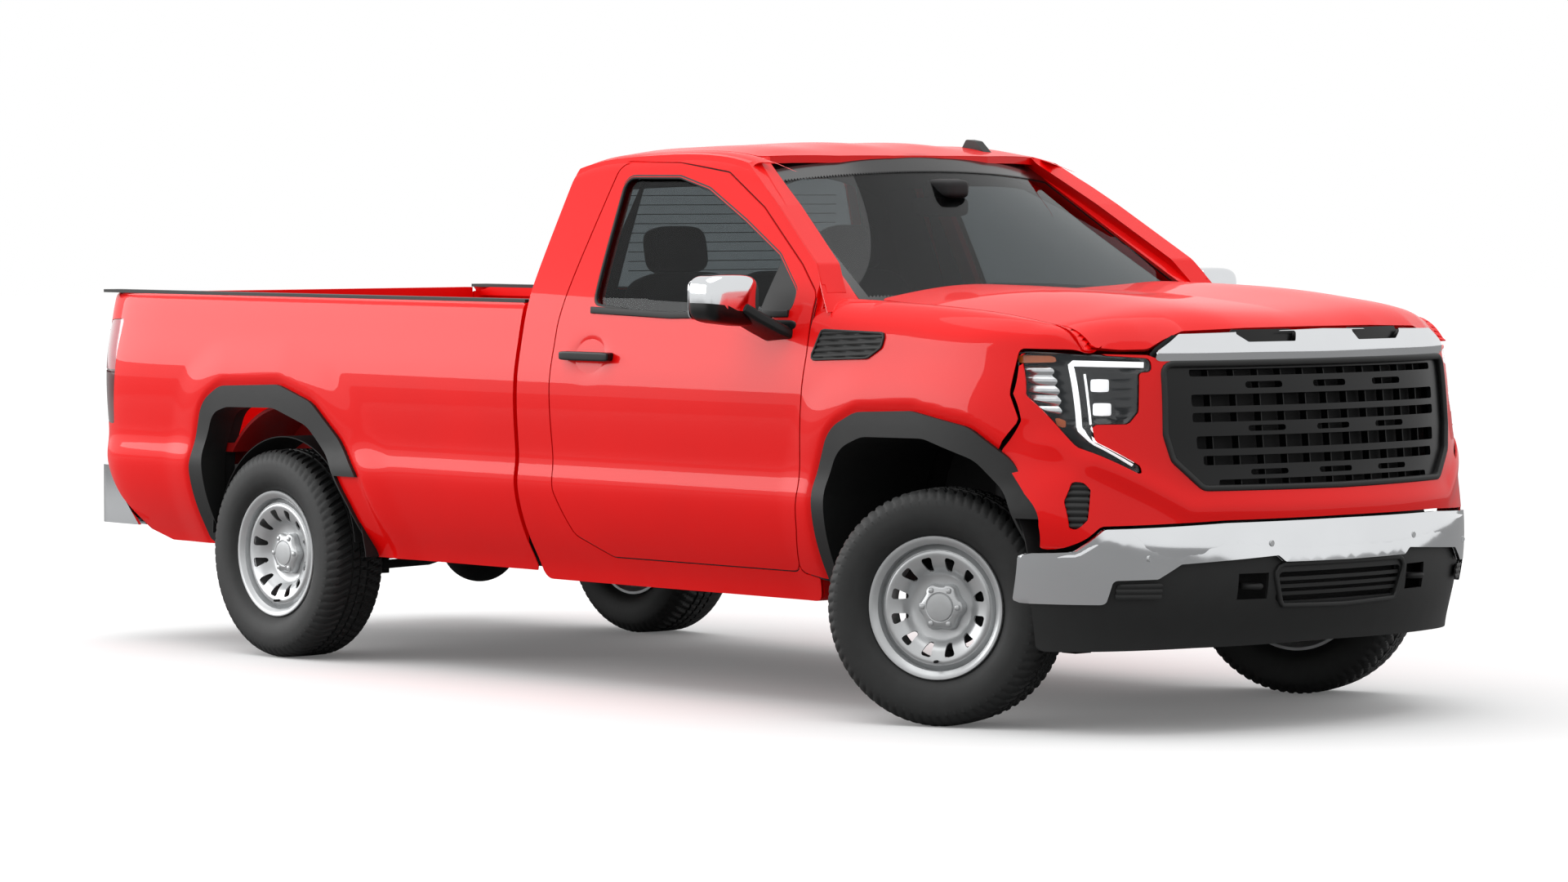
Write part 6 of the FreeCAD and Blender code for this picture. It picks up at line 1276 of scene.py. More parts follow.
def make_door_handles():
    """Door handles: a long grip on two feet over the bowl."""
    x, z = HANDLE_PLACE
    y = float(flank(np.array([x]), np.array([z]), 0)[0])
    handle = [pad((x, y + GRIP_STAND, z), GRIP_HALF, 0.30)]
    handle += [pad((x + step, y + FOOT_STAND, z), FOOT_HALF, 0.4) for step in (-FOOT_REACH, FOOT_REACH)]
    add_pair("door_handle", joined(handle), "smooth_black", "door_{side}", "black_plastic")


def make_window_trim():
    """The belt moulding, the dark corner in front of the window, and the window's seal."""
    belt = swept(block_section(0.024, 0.012), flank_path(resampled(BELT_LINE, 0.02), 0.006), up=(0, 1, 0))
    flat, triangles = trimmed([rounded(SAIL_SHAPE, SMALL_CORNER)], cell=0.012)
    sail = thickened(flank_path(flat, 0.003), triangles, 0.010, (0, 1, 0.2))
    trim = [belt, sail, flank_ring(WINDOW, 0.018, -0.003, 0.016, 0.012)]
    add_pair("window_trim", joined(trim), "grained_black", "door_{side}", "black_plastic")


def make_shut_seals():
    """Dark seals behind the gaps round the doors and along the fenders' rear edges."""
    seals = []
    for outline in (DOOR, FENDER):
        line = ring_line(outline, 0.02)
        line = line + edge_room(line, [outline], ())[1] * PANEL_GAP / 2
        path = cab_face(line)
        path[:, 1] -= SEAL_INSET
        if outline is FENDER:
            path = path[(line[:, 0] < FENDER_SEAL_END) & (line[:, 1] < FENDER_SEAL_TOP)]
        seals.append(swept(block_section(0.009, 0.005), path, up=(0, 1, 0), closed=outline is DOOR))
    add_pair("shut_seals", joined(seals), "seal_rubber", "chassis", "black_plastic")


# Liners: each opening's outline and how far in it goes, then the front inner wall, the rear wheelhouse and the
# black strip of painted shade behind the gap between cab and bed
LINERS = ((FRONT_ARCH, 0.46), (REAR_ARCH, 0.86))
LINER_OUTER = 0.955
LINER_FOOT = 0.40
INNER_WALL_Y = 0.462
INNER_WALL_STATIONS = (1.40, 2.44)
INNER_WALL_HEIGHTS = (0.68, 1.12)
HOUSE_RADIUS = 0.435
HOUSE_TURNS = (8, 172)
HOUSE_DEPTHS = (0.72, 0.93)
SHADE_STRIP_HALF = 0.06
SHADE_STRIP_HEIGHTS = (0.41, 1.335)
SHADE_STRIP_STAND = -0.045


def make_liners_and_gap_shade():
    """Black liners in the wheel openings and wheelhouses; a strip of painted shade behind the gap at the bed's
    front.
    """
    parts = []
    for outline, inner in LINERS:
        line = outline[outline[:, 1] > LINER_FOOT]
        runs = np.linalg.norm(np.diff(np.concatenate((line, line[:1])), axis=0), axis=1)
        line = np.roll(line, -int(np.argmax(runs)) - 1, axis=0)
        parts.append(grid_panel(np.arange(len(line)), np.linspace(inner, LINER_OUTER, 8),
                                lambda row, y, line=line: (line[row, 0], y, line[row, 1]),
                                LINER_WALL, (0, 0, -1)))
    parts.append(grid_panel(np.linspace(*INNER_WALL_STATIONS, 14), np.linspace(*INNER_WALL_HEIGHTS, 8),
                            lambda x, z: (x, np.full_like(x, INNER_WALL_Y), z), LINER_WALL, (0, 1, 0)))
    parts.append(grid_panel(np.radians(np.linspace(*HOUSE_TURNS, 40)), np.linspace(*HOUSE_DEPTHS, 6),
                            lambda turn, y: (REAR_AXLE + HOUSE_RADIUS * np.cos(turn), y,
                                             AXLE_HEIGHT + HOUSE_RADIUS * np.sin(turn)),
                            LINER_WALL, (0, 0, -1)))
    # A black sheet of painted shade, standing in the gap between cab and bed where there is only shade.
    stations = np.linspace(BED_FRONT - SHADE_STRIP_HALF, BED_FRONT + SHADE_STRIP_HALF, 5)
    parts.append(grid_panel(stations, np.linspace(*SHADE_STRIP_HEIGHTS, 48),
                            lambda x, z: (x, flank(x, z, SHADE_STRIP_STAND), z), WALL, (0, 1, 0)))
    add_pair("arch_liner", joined(parts), "seal_rubber", "chassis", "black_plastic")


MIRROR_CENTRE = np.array((1.140, 1.152, 1.385))
MIRROR_HALF = np.array((0.070, 0.113, 0.084))
MIRROR_DROP = 0.012
MIRROR_CROWN = 0.004
CAP_STAND = 0.002
CAP_FOOT = -0.030
CAP_SLOPE = 0.02
CAP_REAR = -0.045
ARM_LINE = ((1.235, 0.958, 1.262), (1.225, 1.000, 1.280), (1.195, 1.050, 1.312), (1.165, 1.095, 1.345))
ARM_SECTION = ((-0.075, -0.024), (0.060, -0.018), (0.060, 0.018), (-0.075, 0.024))
MIRROR_FOOT = (1.232, 0.962, 1.262)
PANE_SETBACK = 0.068


def make_mirrors():
    """Door mirrors: chrome cap over a black shell, a dark foot and a mirror pane behind."""
    shell, faces = pad(MIRROR_CENTRE, MIRROR_HALF, 0.42, 40, 64)
    out, up = ((shell - MIRROR_CENTRE) / MIRROR_HALF)[:, 1:].T
    shell[:, 2] += np.where(up < 0, MIRROR_DROP * out, -MIRROR_CROWN * out ** 2)
    ahead, out, up = (shell[faces].mean(1) - MIRROR_CENTRE).T
    upper = (up > CAP_FOOT + CAP_SLOPE * out / MIRROR_HALF[1]) & (ahead > CAP_REAR)
    cap = thickened(shell + point_normals(shell, faces) * CAP_STAND, faces[upper], WALL, (0.7, 0.3, 0.6))
    arm = swept(rounded(ARM_SECTION, SMALL_CORNER, 3), ARM_LINE, up=(0, -0.6, 1))
    foot = pad(MIRROR_FOOT, (0.080, 0.014, 0.055), 0.45)
    pane = pad(MIRROR_CENTRE - (PANE_SETBACK, 0, 0), (0.004, 0.098, 0.068), 0.3)
    body = joined([(shell, faces), arm, foot])
    add_pair("mirror_shell", body, "smooth_black", "door_{side}", "black_plastic")
    add_pair("mirror_cap", cap, "chrome_plate", "door_{side}", "chrome")
    add_pair("mirror_pane", pane, "chrome_plate", "door_{side}", "chrome")
    for label in SIDES:
        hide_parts(f"mirror_{label}")


# Wheels

TYRE_SIDE = (
    (0.2165, 0.0766), (0.2165, 0.088), (0.223, 0.093), (0.236, 0.097), (0.250, 0.110), (0.275, 0.125),
    (0.310, 0.1315), (0.345, 0.128), (0.368, 0.118), (0.381, 0.104), (0.3885, 0.085),
)
TYRE_SIDE_POINTS = 19
TREAD_RADIUS = 0.39
TREAD_BOW = 0.2
TREAD_LINES = (0.070, 0.055, 0.0400, 0.0392, 0.0308, 0.0300, 0.018, 0.0048, 0.0040)
CAVITY = ((0.232, 0.078), (0.265, 0.108), (0.310, 0.119), (0.350, 0.112), (0.372, 0.085))
# The tread's cuts: round grooves between these distances from the middle, the shoulders' start, the slanted
# cuts' slope and widths as shares of a pitch, how many steps draw a pitch, and the sidewall's two raised rings
ROUND_CUT = (0.0306, 0.0394)
MIDDLE_CUT = 0.0042
SHOULDER_START = 0.0396
TREAD_FOOT = 0.3835
SHOULDER_FOOT = 0.362
CUT_SLOPE = 12
SHOULDER_CUT_SHARE = 0.32
RIB_CUT_SHARE = 0.16
SHOULDER_CUT_DEPTH = 0.004
PITCH_STEPS = 5
SIDE_RINGS = ((0.0022, 0.262, 0.004), (0.0016, 0.352, 0.003))
RIM_LOOP = (
    (0.196, 0.074), (0.206, 0.064), (0.2085, 0.092), (0.222, 0.105), (0.228, 0.107), (0.234, 0.107),
    (0.236, 0.104), (0.236, 0.098), (0.222, 0.094), (0.216, 0.090), (0.214, 0.060), (0.186, 0.045),
    (0.186, -0.005), (0.212, -0.040), (0.216, -0.090), (0.222, -0.094), (0.236, -0.098), (0.236, -0.107),
    (0.226, -0.107), (0.210, -0.088), (0.205, -0.042), (0.178, -0.008), (0.178, 0.044), (0.172, 0.074),
    (0.178, 0.084), (0.190, 0.083),
)
DISC_RADIUS = 0.192
OPENING_SHAPE = ((0.119, -0.008), (0.119, 0.008), (0.166, 0.0205), (0.166, -0.0205))
DISC_RADII = (0.0, 0.06, 0.080, 0.096, 0.110, 0.130, 0.150, 0.170, 0.184, 0.194)
DISC_RISE = (0.036, 0.036, 0.036, 0.037, 0.043, 0.066, 0.079, 0.087, 0.087, 0.077)
CAP_LINE = (
    (0.0004, 0.072), (0.030, 0.072), (0.044, 0.0705), (0.0465, 0.0665), (0.050, 0.0685), (0.062, 0.066),
    (0.072, 0.060), (0.077, 0.050), (0.078, 0.037), (0.060, 0.034), (0.0004, 0.034),
)
CAP_LOBES = 6
CAP_SWELL = 0.07
STUD_RADIUS = 0.062


def wheel_frame(place):
    """A wheel's middle, and its directions in rows: level, up and outward."""
    side = LEFT if place.endswith("left") else RIGHT
    turn = STEER if place.startswith("front") else 0.0
    axes = facing_axes((-side * math.sin(turn), side * math.cos(turn), 0))
    return np.array(middle(f"tyre_{place}")), axes


def tyre_form(pitches, groove):
    """A tyre about its axis: a profile of (radius, along) turned round it, with the tread cut into it.

    Grooves run round it, and slanted cuts cross its ribs and shoulders once in each pitch.
    """
    steps = np.linspace(0, len(TYRE_SIDE) - 1, TYRE_SIDE_POINTS)
    side = smooth_curve(np.arange(len(TYRE_SIDE)), TYRE_SIDE)(steps)
    lines = np.concatenate((TREAD_LINES, -np.array(TREAD_LINES[::-1])))
    tread = np.column_stack((TREAD_RADIUS - TREAD_BOW * lines ** 2, lines))
    cavity = np.array(CAVITY)
    profile = np.concatenate((side, tread, side[::-1] * (1, -1), cavity * (1, -1), cavity[::-1]))
    outer = np.arange(len(profile)) < 2 * len(side) + len(tread)
    angle = np.linspace(0, 2 * np.pi, pitches * PITCH_STEPS, endpoint=False)
    radius = np.tile(profile[:, 0], (len(angle), 1))
    along = np.tile(profile[:, 1], (len(angle), 1))
    reach = np.abs(along)
    phase = (angle[:, None] * pitches / (2 * np.pi) + CUT_SLOPE * reach) % 1
    round_cut = ((reach > ROUND_CUT[0]) & (reach < ROUND_CUT[1])) | (reach < MIDDLE_CUT)
    cross_cut = phase < np.where(reach > SHOULDER_START, SHOULDER_CUT_SHARE, RIB_CUT_SHARE)
    on_tread = outer & (profile[:, 0] > TREAD_FOOT)
    on_shoulder = outer & (profile[:, 0] > SHOULDER_FOOT) & ~on_tread
    radius -= groove * (on_tread & (round_cut | cross_cut))
    along -= SHOULDER_CUT_DEPTH * np.sign(along) * (on_shoulder & (phase < SHOULDER_CUT_SHARE))
    ring = sum(rise * np.exp(-((radius - place) / breadth) ** 2) for rise, place, breadth in SIDE_RINGS)
    along += np.sign(along) * ring * outer
    points = np.stack((radius * np.cos(angle)[:, None], radius * np.sin(angle)[:, None], along), 2)
    points = points.reshape(-1, 3)
    return points, outward_faces(points, to_triangles(grid_quads(len(angle), len(profile), True, True)))


def disc_form(holes):
    """The wheel's pressed disc: a round sheet with openings, raised by a curve of the radius."""
    angle = np.linspace(0, 2 * np.pi, 96, endpoint=False)
    circle = DISC_RADIUS * np.stack((np.cos(angle), np.sin(angle)), 1)
    opening = rounded(OPENING_SHAPE, 0.0085)
    cuts = []
    for turn in 2 * np.pi * (np.arange(holes) + 0.5) / holes:
        cuts.append(opening @ np.array(((math.cos(turn), math.sin(turn)), (-math.sin(turn), math.cos(turn)))))
    flat, triangles = trimmed([circle], cuts, FINE_CELL)
    rise = smooth_curve(DISC_RADII, DISC_RISE)(np.linalg.norm(flat, axis=1))
    return thickened(np.column_stack((flat, rise)), triangles, 0.005, (0, 0, 1))


def make_wheels(sizes):
    """Four steel wheels with lobed caps, and their tyres."""
    tyre = tyre_form(sizes.pitches, sizes.groove)
    disc = joined([disc_form(sizes.holes), turned_form(RIM_LOOP, 120)])
    cap = [turned_form(CAP_LINE, 96, CAP_LOBES, CAP_SWELL)]
    for turn in 2 * np.pi * np.arange(CAP_LOBES) / CAP_LOBES:
        place = (STUD_RADIUS * math.cos(turn), STUD_RADIUS * math.sin(turn), 0.066)
        cap.append(pad(place, (0.009, 0.009, 0.006), 0.7, 10, 16))
    valve = pad((0, -0.176, 0.098), (0.005, 0.005, 0.016), 0.6, 10, 16)
    for place in WHEELS:
        centre, axes = wheel_frame(place)
        for name, (points, faces), finish, slot, stands_for in (
                ("tyre_tread", tyre, "tyre_rubber", "tyre", (f"tyre_{place}",)),
                ("wheel_disc", disc, "wheel_silver", "wheel_silver", (f"wheel_{place}",)),
                ("wheel_cap", joined(cap), "wheel_silver", "wheel_silver", ()),
                ("wheel_valve", valve, "seal_rubber", "black_plastic", ())):
            add_piece(f"{name}_{place}", (centre + points @ axes, faces), finish, f"wheel_{place}", slot,
                      stands_for, 32)


# Glass and cabin

# Border of the windshield as shares of it, its stand, and the wires in the rear window
SCREEN_DROOP = 0.4
FRIT_SIDE_SHARE = 0.955
FRIT_RISE_SHARES = (0.07, 0.93)
FRIT_STAND = (0.002, 0, 0.002)
FRIT_WALL = 0.0015
WIRE_HALF = 0.50
WIRE_HEIGHTS = (1.46, 1.73)
WIRE_COUNT = 9
DOOR_GLASS_STAND = -0.014


def screen_point(across, up):
    """The windshield: half width, station and height are each a straight mix up the glass.

    Its middle bows forward by the square of the place across, and its top droops toward its corners.
    """
    ends = (SCREEN_HALF_SHARES, SCREEN_STATION_SHARES, SCREEN_RISE_SHARES)
    half, place, level = (foot + (top - foot) * up for foot, top in ends)
    bow = SCREEN_BOW * across ** 2
    x = FRONT_AXLE + CAB_LENGTH * place - bow
    return np.stack((x, across * FLANK_HALF * half, level - SCREEN_DROOP * bow * up), -1)


def make_glass():
    """Windshield with its black border, rear window with its wires, and door glasses."""
    screen = grid_panel(np.linspace(-1, 1, 61), np.linspace(0, 1, 31), lambda a, b: screen_point(a, b).T,
                        GLASS_WALL, (1, 0, 1))
    add_piece("windshield", screen, "window_glass", "chassis", "glass_tint", ("cab_glass",))
    across, up = np.meshgrid(np.linspace(-1, 1, 121), np.linspace(-0.02, 1.055, 66), indexing="ij")
    faces = to_triangles(grid_quads(*across.shape))
    side, rise = np.abs(across.ravel()[faces].mean(1)), up.ravel()[faces].mean(1)
    border = (side > FRIT_SIDE_SHARE) | (rise < FRIT_RISE_SHARES[0]) | (rise > FRIT_RISE_SHARES[1])
    outer = screen_point(across, up).reshape(-1, 3) + FRIT_STAND
    frit = thickened(outer, faces[border], FRIT_WALL, (1, 0, 1))
    add_piece("windshield_border", frit, "glass_frit", "chassis", "glass_tint")
    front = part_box("cab_glass")[0].x + GLASS_WALL
    flat, triangles = trimmed([REAR_WINDOW], cell=0.05)
    pane = thickened(np.column_stack((np.full(len(flat), front), flat)), triangles, GLASS_WALL, (1, 0, 0))
    add_piece("rear_window", pane, "privacy_glass", "chassis", "glass_tint")
    wires = []
    for z in np.linspace(*WIRE_HEIGHTS, WIRE_COUNT):
        path = [(front + 0.001, side * WIRE_HALF, z) for side in (RIGHT, LEFT)]
        wires.append(swept(block_section(0.003, 0.002), path, up=(1, 0, 0)))
    add_piece("rear_window_heater", joined(wires), "smooth_black", "chassis", "glass_tint")
    flat, triangles = trimmed([WINDOW], cell=COARSE_CELL)
    pane = thickened(flank_path(flat, DOOR_GLASS_STAND), triangles, GLASS_WALL, (0, 1, 0.2))
    add_pair("door_window", pane, "privacy_glass", "door_{side}", "glass_tint")
    for label in SIDES:
        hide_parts(f"door_glass_{label}")


# Each seat: its name, its middle's y, its width, and whether it has a headrest
SEATS = (("left", 0.42, 0.50, True), ("middle", 0.0, 0.30, False), ("right", -0.42, 0.50, True))
CUSHION = ((0.42, 0.905), (0.27, 0.075))
SEAT_BACK = ((0.12, 1.160), (0.075, 0.30))
SEAT_LEAN = math.radians(-14)
HEADREST = ((0.035, 1.535), (0.045, 0.13, 0.085))
HEADREST_LEAN = math.radians(-10)
SEAT_STAND = ((0.42, 0.74), (0.24, 0.12))


def make_seats():
    """Padded bench in three places: cushions, backs and headrests with crowned faces."""
    for label, y, width, head in SEATS:
        forms = []
        for ((x, z), (long, tall)), lean in ((CUSHION, 0.0), (SEAT_BACK, SEAT_LEAN)):
            forms.append(pad((x, y, z), (long, width / 2, tall), 0.42, 28, 56, lean))
        if head:
            x, z = HEADREST[0]
            forms.append(pad((x, y, z), HEADREST[1], 0.5, turn=HEADREST_LEAN))
        piece = add_piece(f"seat_{label}", joined(forms), "seat_cloth", "chassis", "seat_fabric", ("seats",))
        (x, z), (long, tall) = SEAT_STAND
        stand = pad((x, y, z), (long, width / 2.4, tall), 0.2, 16, 32)
        add_piece(f"seat_stand_{label}", stand, "cabin_black", "chassis", "cabin_plastic")


# The cabin's trim, in metres: how far it stands in from the panels outside it, and its floor's two levels
DOOR_TRIM_STAND = -0.104
DOOR_TRIM_TOP = 1.84
POST_TRIM_STAND = -0.106
LINER_DROP = 0.062
LINER_HALF = 0.66
LINER_ROLL = 0.06
BACK_WALL_X = -0.082
BACK_WALL_SHAPE = ((-0.82, 0.62), (0.82, 0.62), (0.80, 1.35), (0.68, 1.82), (-0.68, 1.82), (-0.80, 1.35))
MAT_LEVEL = 0.614
TUNNEL_RISE = 0.126
TUNNEL_HALF = 0.175
TUNNEL_FLANK = 0.04
# Inner mirror's housing, glass and stalk, and the hood over the dials: middle, half sizes and roundness
CABIN_PADS = (
    ((1.00, 0.0, 1.755), (0.075, 0.055, 0.035), 0.5), ((0.97, 0.0, 1.690), (0.016, 0.125, 0.034), 0.4),
    ((0.985, 0.0, 1.725), (0.012, 0.012, 0.03), 0.7), ((1.05, 0.42, 1.345), (0.10, 0.19, 0.035), 0.5),
)
WIPER_LINES = (((1.575, -0.10), (1.49, -0.74)), ((1.590, 0.62), (1.565, 0.02)))
WIPER_LEVEL = 1.384
WIPER_BOW = 0.012


def make_cabin():
    """Cabin trim: door panels, headliner, back wall, floor, posts, dial hood, inner mirror and wipers."""
    flat, triangles = trimmed([offset(DOOR, -0.03)], [offset(WINDOW, 0.01)], 0.025)
    points = flank_path(np.minimum(flat, (np.inf, DOOR_TRIM_TOP)), DOOR_TRIM_STAND)
    points[:, 2] = flat[:, 1]
    door = thickened(points, triangles, WALL, (0, -1, 0))
    post = grid_panel(np.linspace(-0.13, 0.10, 8), np.linspace(0.62, 1.80, 30),
                      lambda x, z: (x, flank(x, z, POST_TRIM_STAND), z), WALL, (0, -1, 0))
    flat, triangles = trimmed([np.array(BACK_WALL_SHAPE)], [offset(REAR_WINDOW, 0.006)], COARSE_CELL)
    points = np.column_stack((np.full(len(flat), BACK_WALL_X), flat))
    wall = thickened(points, triangles, LINER_WALL, (1, 0, 0))
    liner = grid_panel(np.linspace(-0.09, 0.80, 30), np.linspace(-LINER_HALF, LINER_HALF, 41),
                       lambda x, y: (x, y, roof(x, y, 0) - LINER_DROP - LINER_ROLL * (y / LINER_HALF) ** 4),
                       LINER_WALL, (0, 0, -1))
    mat = grid_panel(np.linspace(-0.05, 1.36, 12), np.linspace(-0.80, 0.80, 81),
                     lambda x, y: (x, y, MAT_LEVEL + TUNNEL_RISE
                                   * (1 - ease((np.abs(y) - TUNNEL_HALF) / TUNNEL_FLANK))),
                     LINER_WALL, (0, 0, 1))
    add_pair("door_trim", door, "cabin_black", "door_{side}", "cabin_plastic")
    add_pair("post_trim", post, "cabin_black", "chassis", "cabin_plastic")
    for name, mesh in (("floor_mat", mat), ("headliner", liner), ("back_wall_trim", wall),
                       ("inner_mirror", joined([pad(*form) for form in CABIN_PADS]))):
        add_piece(name, mesh, "cabin_black", "chassis", "cabin_plastic")
    arms = []
    for ends in WIPER_LINES:
        line = resampled(ends, 0.04)
        rise = WIPER_BOW * np.sin(np.pi * np.linspace(0, 1, len(line)))
        arms.append(swept(block_section(0.014, 0.010), np.column_stack((line, WIPER_LEVEL + rise))))
    add_piece("wipers", joined(arms), "seal_rubber", "chassis", "black_plastic")


# The tail lamp's two covers: name, foot, head and finish
TAIL_COVERS = (("upper", 1.055, 1.262, "lens_pink"), ("lower", 0.84, 1.045, "lens_red"))
STEP_HALF = (0.060, 0.22, 0.006)
STEP_PLACE = (0.085, 0.60, 0.001)


def make_tail():
    """Tail lamp covers in two tones, and the rear bumper's step pads."""
    flat, triangles = trimmed([offset(TAIL_LAMP, -0.003)], [], FRONT_CELL)
    middles = flat[triangles].mean(1)[:, 1]
    for name, low, high, finish in TAIL_COVERS:
        inside = (middles > low) & (middles < high)
        cover = thickened(flank_path(flat, 0.003), triangles[inside], 0.002, (0, 1, 0))
        add_pair(f"tail_lens_{name}", cover, finish, "chassis", "lamp_red")
    low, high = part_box("rear_bumper")
    x, y, z = STEP_PLACE
    pads = [pad((low.x + x, side * y, high.z + z), STEP_HALF, 0.25) for side in (LEFT, RIGHT)]
    add_piece("bumper_steps", joined(pads), "grained_black", "chassis", "black_plastic")


# Stage

CAMERA_PLACE = (15.159, -13.301, 1.763)
CAMERA_YAW = math.radians(138.464)
CAMERA_PITCH = math.radians(-2.625)
CAMERA_LENS = 127.41
CAMERA_SENSOR = 36
CAMERA_REACH = 500
FLOOR_HALF = 60


def add_camera():
    """The camera at the photograph's place, looking along its yaw and pitch."""
    camera = bpy.data.cameras.new("camera")
    camera.lens = CAMERA_LENS
    camera.sensor_width = CAMERA_SENSOR
    camera.clip_end = CAMERA_REACH
    holder = bpy.data.objects.new("camera", camera)
    bpy.context.scene.collection.objects.link(holder)
    level = math.cos(CAMERA_PITCH)
    ahead = Vector((level * math.cos(CAMERA_YAW), level * math.sin(CAMERA_YAW), math.sin(CAMERA_PITCH)))
    holder.location = CAMERA_PLACE
    holder.rotation_mode = "QUATERNION"
    holder.rotation_quaternion = ahead.to_track_quat("-Z", "Y")
    bpy.context.scene.camera = holder


def add_lamp(name, kind, place, aim, **settings):
    """A lamp at a place, aimed at a point and hidden from the camera."""
    lamp = bpy.data.lights.new(name, kind)
    for key, value in settings.items():
        setattr(lamp, key, value)
    holder = bpy.data.objects.new(name, lamp)
    bpy.context.scene.collection.objects.link(holder)
    holder.location = place
    holder.rotation_mode = "QUATERNION"
    holder.rotation_quaternion = (Vector(aim) - Vector(place)).to_track_quat("-Z", "Y")
    holder.visible_camera = False


def add_floor():
    """A plain pale floor: matt white to the camera, a plain grey to mirrors and paint."""
    corners = [(a * FLOOR_HALF, b * FLOOR_HALF, 0) for a, b in ((-1, -1), (1, -1), (1, 1), (-1, 1))]
    data = bpy.data.meshes.new("floor")
    data.from_pydata(corners, [], [(0, 1, 2, 3)])
    floor = bpy.data.objects.new("floor", data)
    bpy.context.scene.collection.objects.link(floor)
    material, tree = empty_material("pale_floor")
    seen = add_node(tree, "ShaderNodeLightPath").outputs["Is Camera Ray"]
    pale = add_node(tree, "ShaderNodeBsdfDiffuse", {"Color": linear("#E8E8E8")})
    dim = add_node(tree, "ShaderNodeBsdfDiffuse", {"Color": linear("#8E8E8E")})
    glow = add_node(tree, "ShaderNodeEmission", {"Color": (1, 1, 1, 1), "Strength": 0.10})
    white = add_node(tree, "ShaderNodeAddShader", {0: pale.outputs[0], 1: glow.outputs[0]})
    finish = add_node(tree, "ShaderNodeMixShader", {"Fac": seen, 1: dim.outputs[0], 2: white.outputs[0]})
    add_node(tree, "ShaderNodeOutputMaterial", {"Surface": finish.outputs[0]})
    data.materials.append(material)


def set_world():
    """White to the camera, to mirrors and through glass; a plain grey light on everything else."""
    world = bpy.data.worlds.new("studio")
    world.use_nodes = True
    tree = world.node_tree
    tree.nodes.clear()
    paths = add_node(tree, "ShaderNodeLightPath")
    seen = paths.outputs["Is Camera Ray"]
    for ray in ("Is Glossy Ray", "Is Transmission Ray"):
        seen = add_node(tree, "ShaderNodeMath", {0: seen, 1: paths.outputs[ray]},
                        operation="MAXIMUM").outputs[0]
    dim = add_node(tree, "ShaderNodeBackground", {"Color": (1, 1, 1, 1), "Strength": 0.80})
    bright = add_node(tree, "ShaderNodeBackground", {"Color": (1, 1, 1, 1), "Strength": 1.0})
    mix = add_node(tree, "ShaderNodeMixShader", {"Fac": seen, 1: dim.outputs[0], 2: bright.outputs[0]})
    add_node(tree, "ShaderNodeOutputWorld", {"Surface": mix.outputs[0]})
    bpy.context.scene.world = world


# Panel entries

def colour_entry(label, text, hex_colour):
    """A colour that the panel shows."""
    return FloatVectorProperty(name=label, description=text, subtype="COLOR", size=4, min=0, max=1,
                               default=linear(hex_colour))


class TruckColours(bpy.types.PropertyGroup):
    """Base colours of the truck's finishes."""

    paint: colour_entry("Paint", "Body enamel", "#F00303")
    # A darker red than the body paint: painted shade inside the bed.
    paint_bed_shade: colour_entry("Bed paint", "Enamel inside the bed", "#B00808")
    chrome: colour_entry("Chrome", "Bright trim", "#DCDEE0")
    plastic: colour_entry("Plastic", "Grained trim", "#151616")
    plastic_gloss: colour_entry("Gloss plastic", "Grille and handles", "#08090A")
    rubber: colour_entry("Rubber", "Seals, liners and chassis", "#0B0B0C")
    cabin: colour_entry("Cabin", "Cabin trim", "#161618")
    tyre: colour_entry("Tyre", "Tyre rubber", "#1A1B1B")
    wheel: colour_entry("Wheel", "Wheel paint", "#BFC1C2")
    iron: colour_entry("Castings", "Engine and knuckles", "#3E3E3F")
    steel: colour_entry("Steel", "Exhaust pipe", "#7B7D80")
    glass: colour_entry("Windshield", "Windshield tint", "#7C8284")
    glass_dark: colour_entry("Side glass", "Side and rear glass tint", "#8A9092")
    lens: colour_entry("Lens", "Headlamp cover", "#70767A")
    lens_red: colour_entry("Tail lens", "Lower tail lamp", "#5A0A10")
    lens_pink: colour_entry("Reversing lens", "Upper tail lamp", "#B8505A")
    amber: colour_entry("Amber", "Marker lens", "#C8642A")
    guide: colour_entry("Light guide", "Headlamp light guide", "#F0F4F8")
    cloth: colour_entry("Seat cloth", "Seat covers", "#1A1A1C")


class TruckSizes(bpy.types.PropertyGroup):
    """Sizes of details that the frame leaves open."""

    pitches: IntProperty(name="Tread pitches", description="Cuts round each tyre",
                         default=72, min=24, max=120)
    groove: FloatProperty(name="Tread depth", description="Depth of the tread grooves",
                          default=0.008, min=0.001, max=0.012, unit="LENGTH")
    holes: IntProperty(name="Wheel openings", description="Openings in each wheel disc",
                       default=12, min=4, max=16)
    sun: FloatProperty(name="Overhead light", description="Strength of the soft overhead light",
                       default=1.35, min=0.0, max=5.0)
    wall: FloatProperty(name="Side light", description="Power of the large side light",
                        default=900.0, min=0.0, max=2000.0, unit="POWER")


class TruckOperator:
    """What the panel's operators share."""

    bl_options = {"REGISTER", "UNDO"}


class TRUCK_OT_finishes(TruckOperator, bpy.types.Operator):
    """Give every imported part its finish"""

    bl_idname = "truck.finishes"
    bl_label = "Finishes"

    def execute(self, context):
        for finish, names in NODE_FINISHES.items():
            for name in names:
                data = frame["nodes"][name].data
                data.materials.clear()
                data.materials.append(material_of(finish))
        return {"FINISHED"}


class TRUCK_OT_body(TruckOperator, bpy.types.Operator):
    """Make the painted skins: sides, pillars, hood and roof"""

    bl_idname = "truck.body"
    bl_label = "Painted skins"

    def execute(self, context):
        make_body_sides()
        make_pillars()
        make_hood()
        make_roof()
        return {"FINISHED"}


class TRUCK_OT_front(TruckOperator, bpy.types.Operator):
    """Make the fascia, header, grille and bumper"""

    bl_idname = "truck.front"
    bl_label = "Front end"

    def execute(self, context):
        make_fascia()
        make_header()
        make_grille()
        make_bumper()
        return {"FINISHED"}


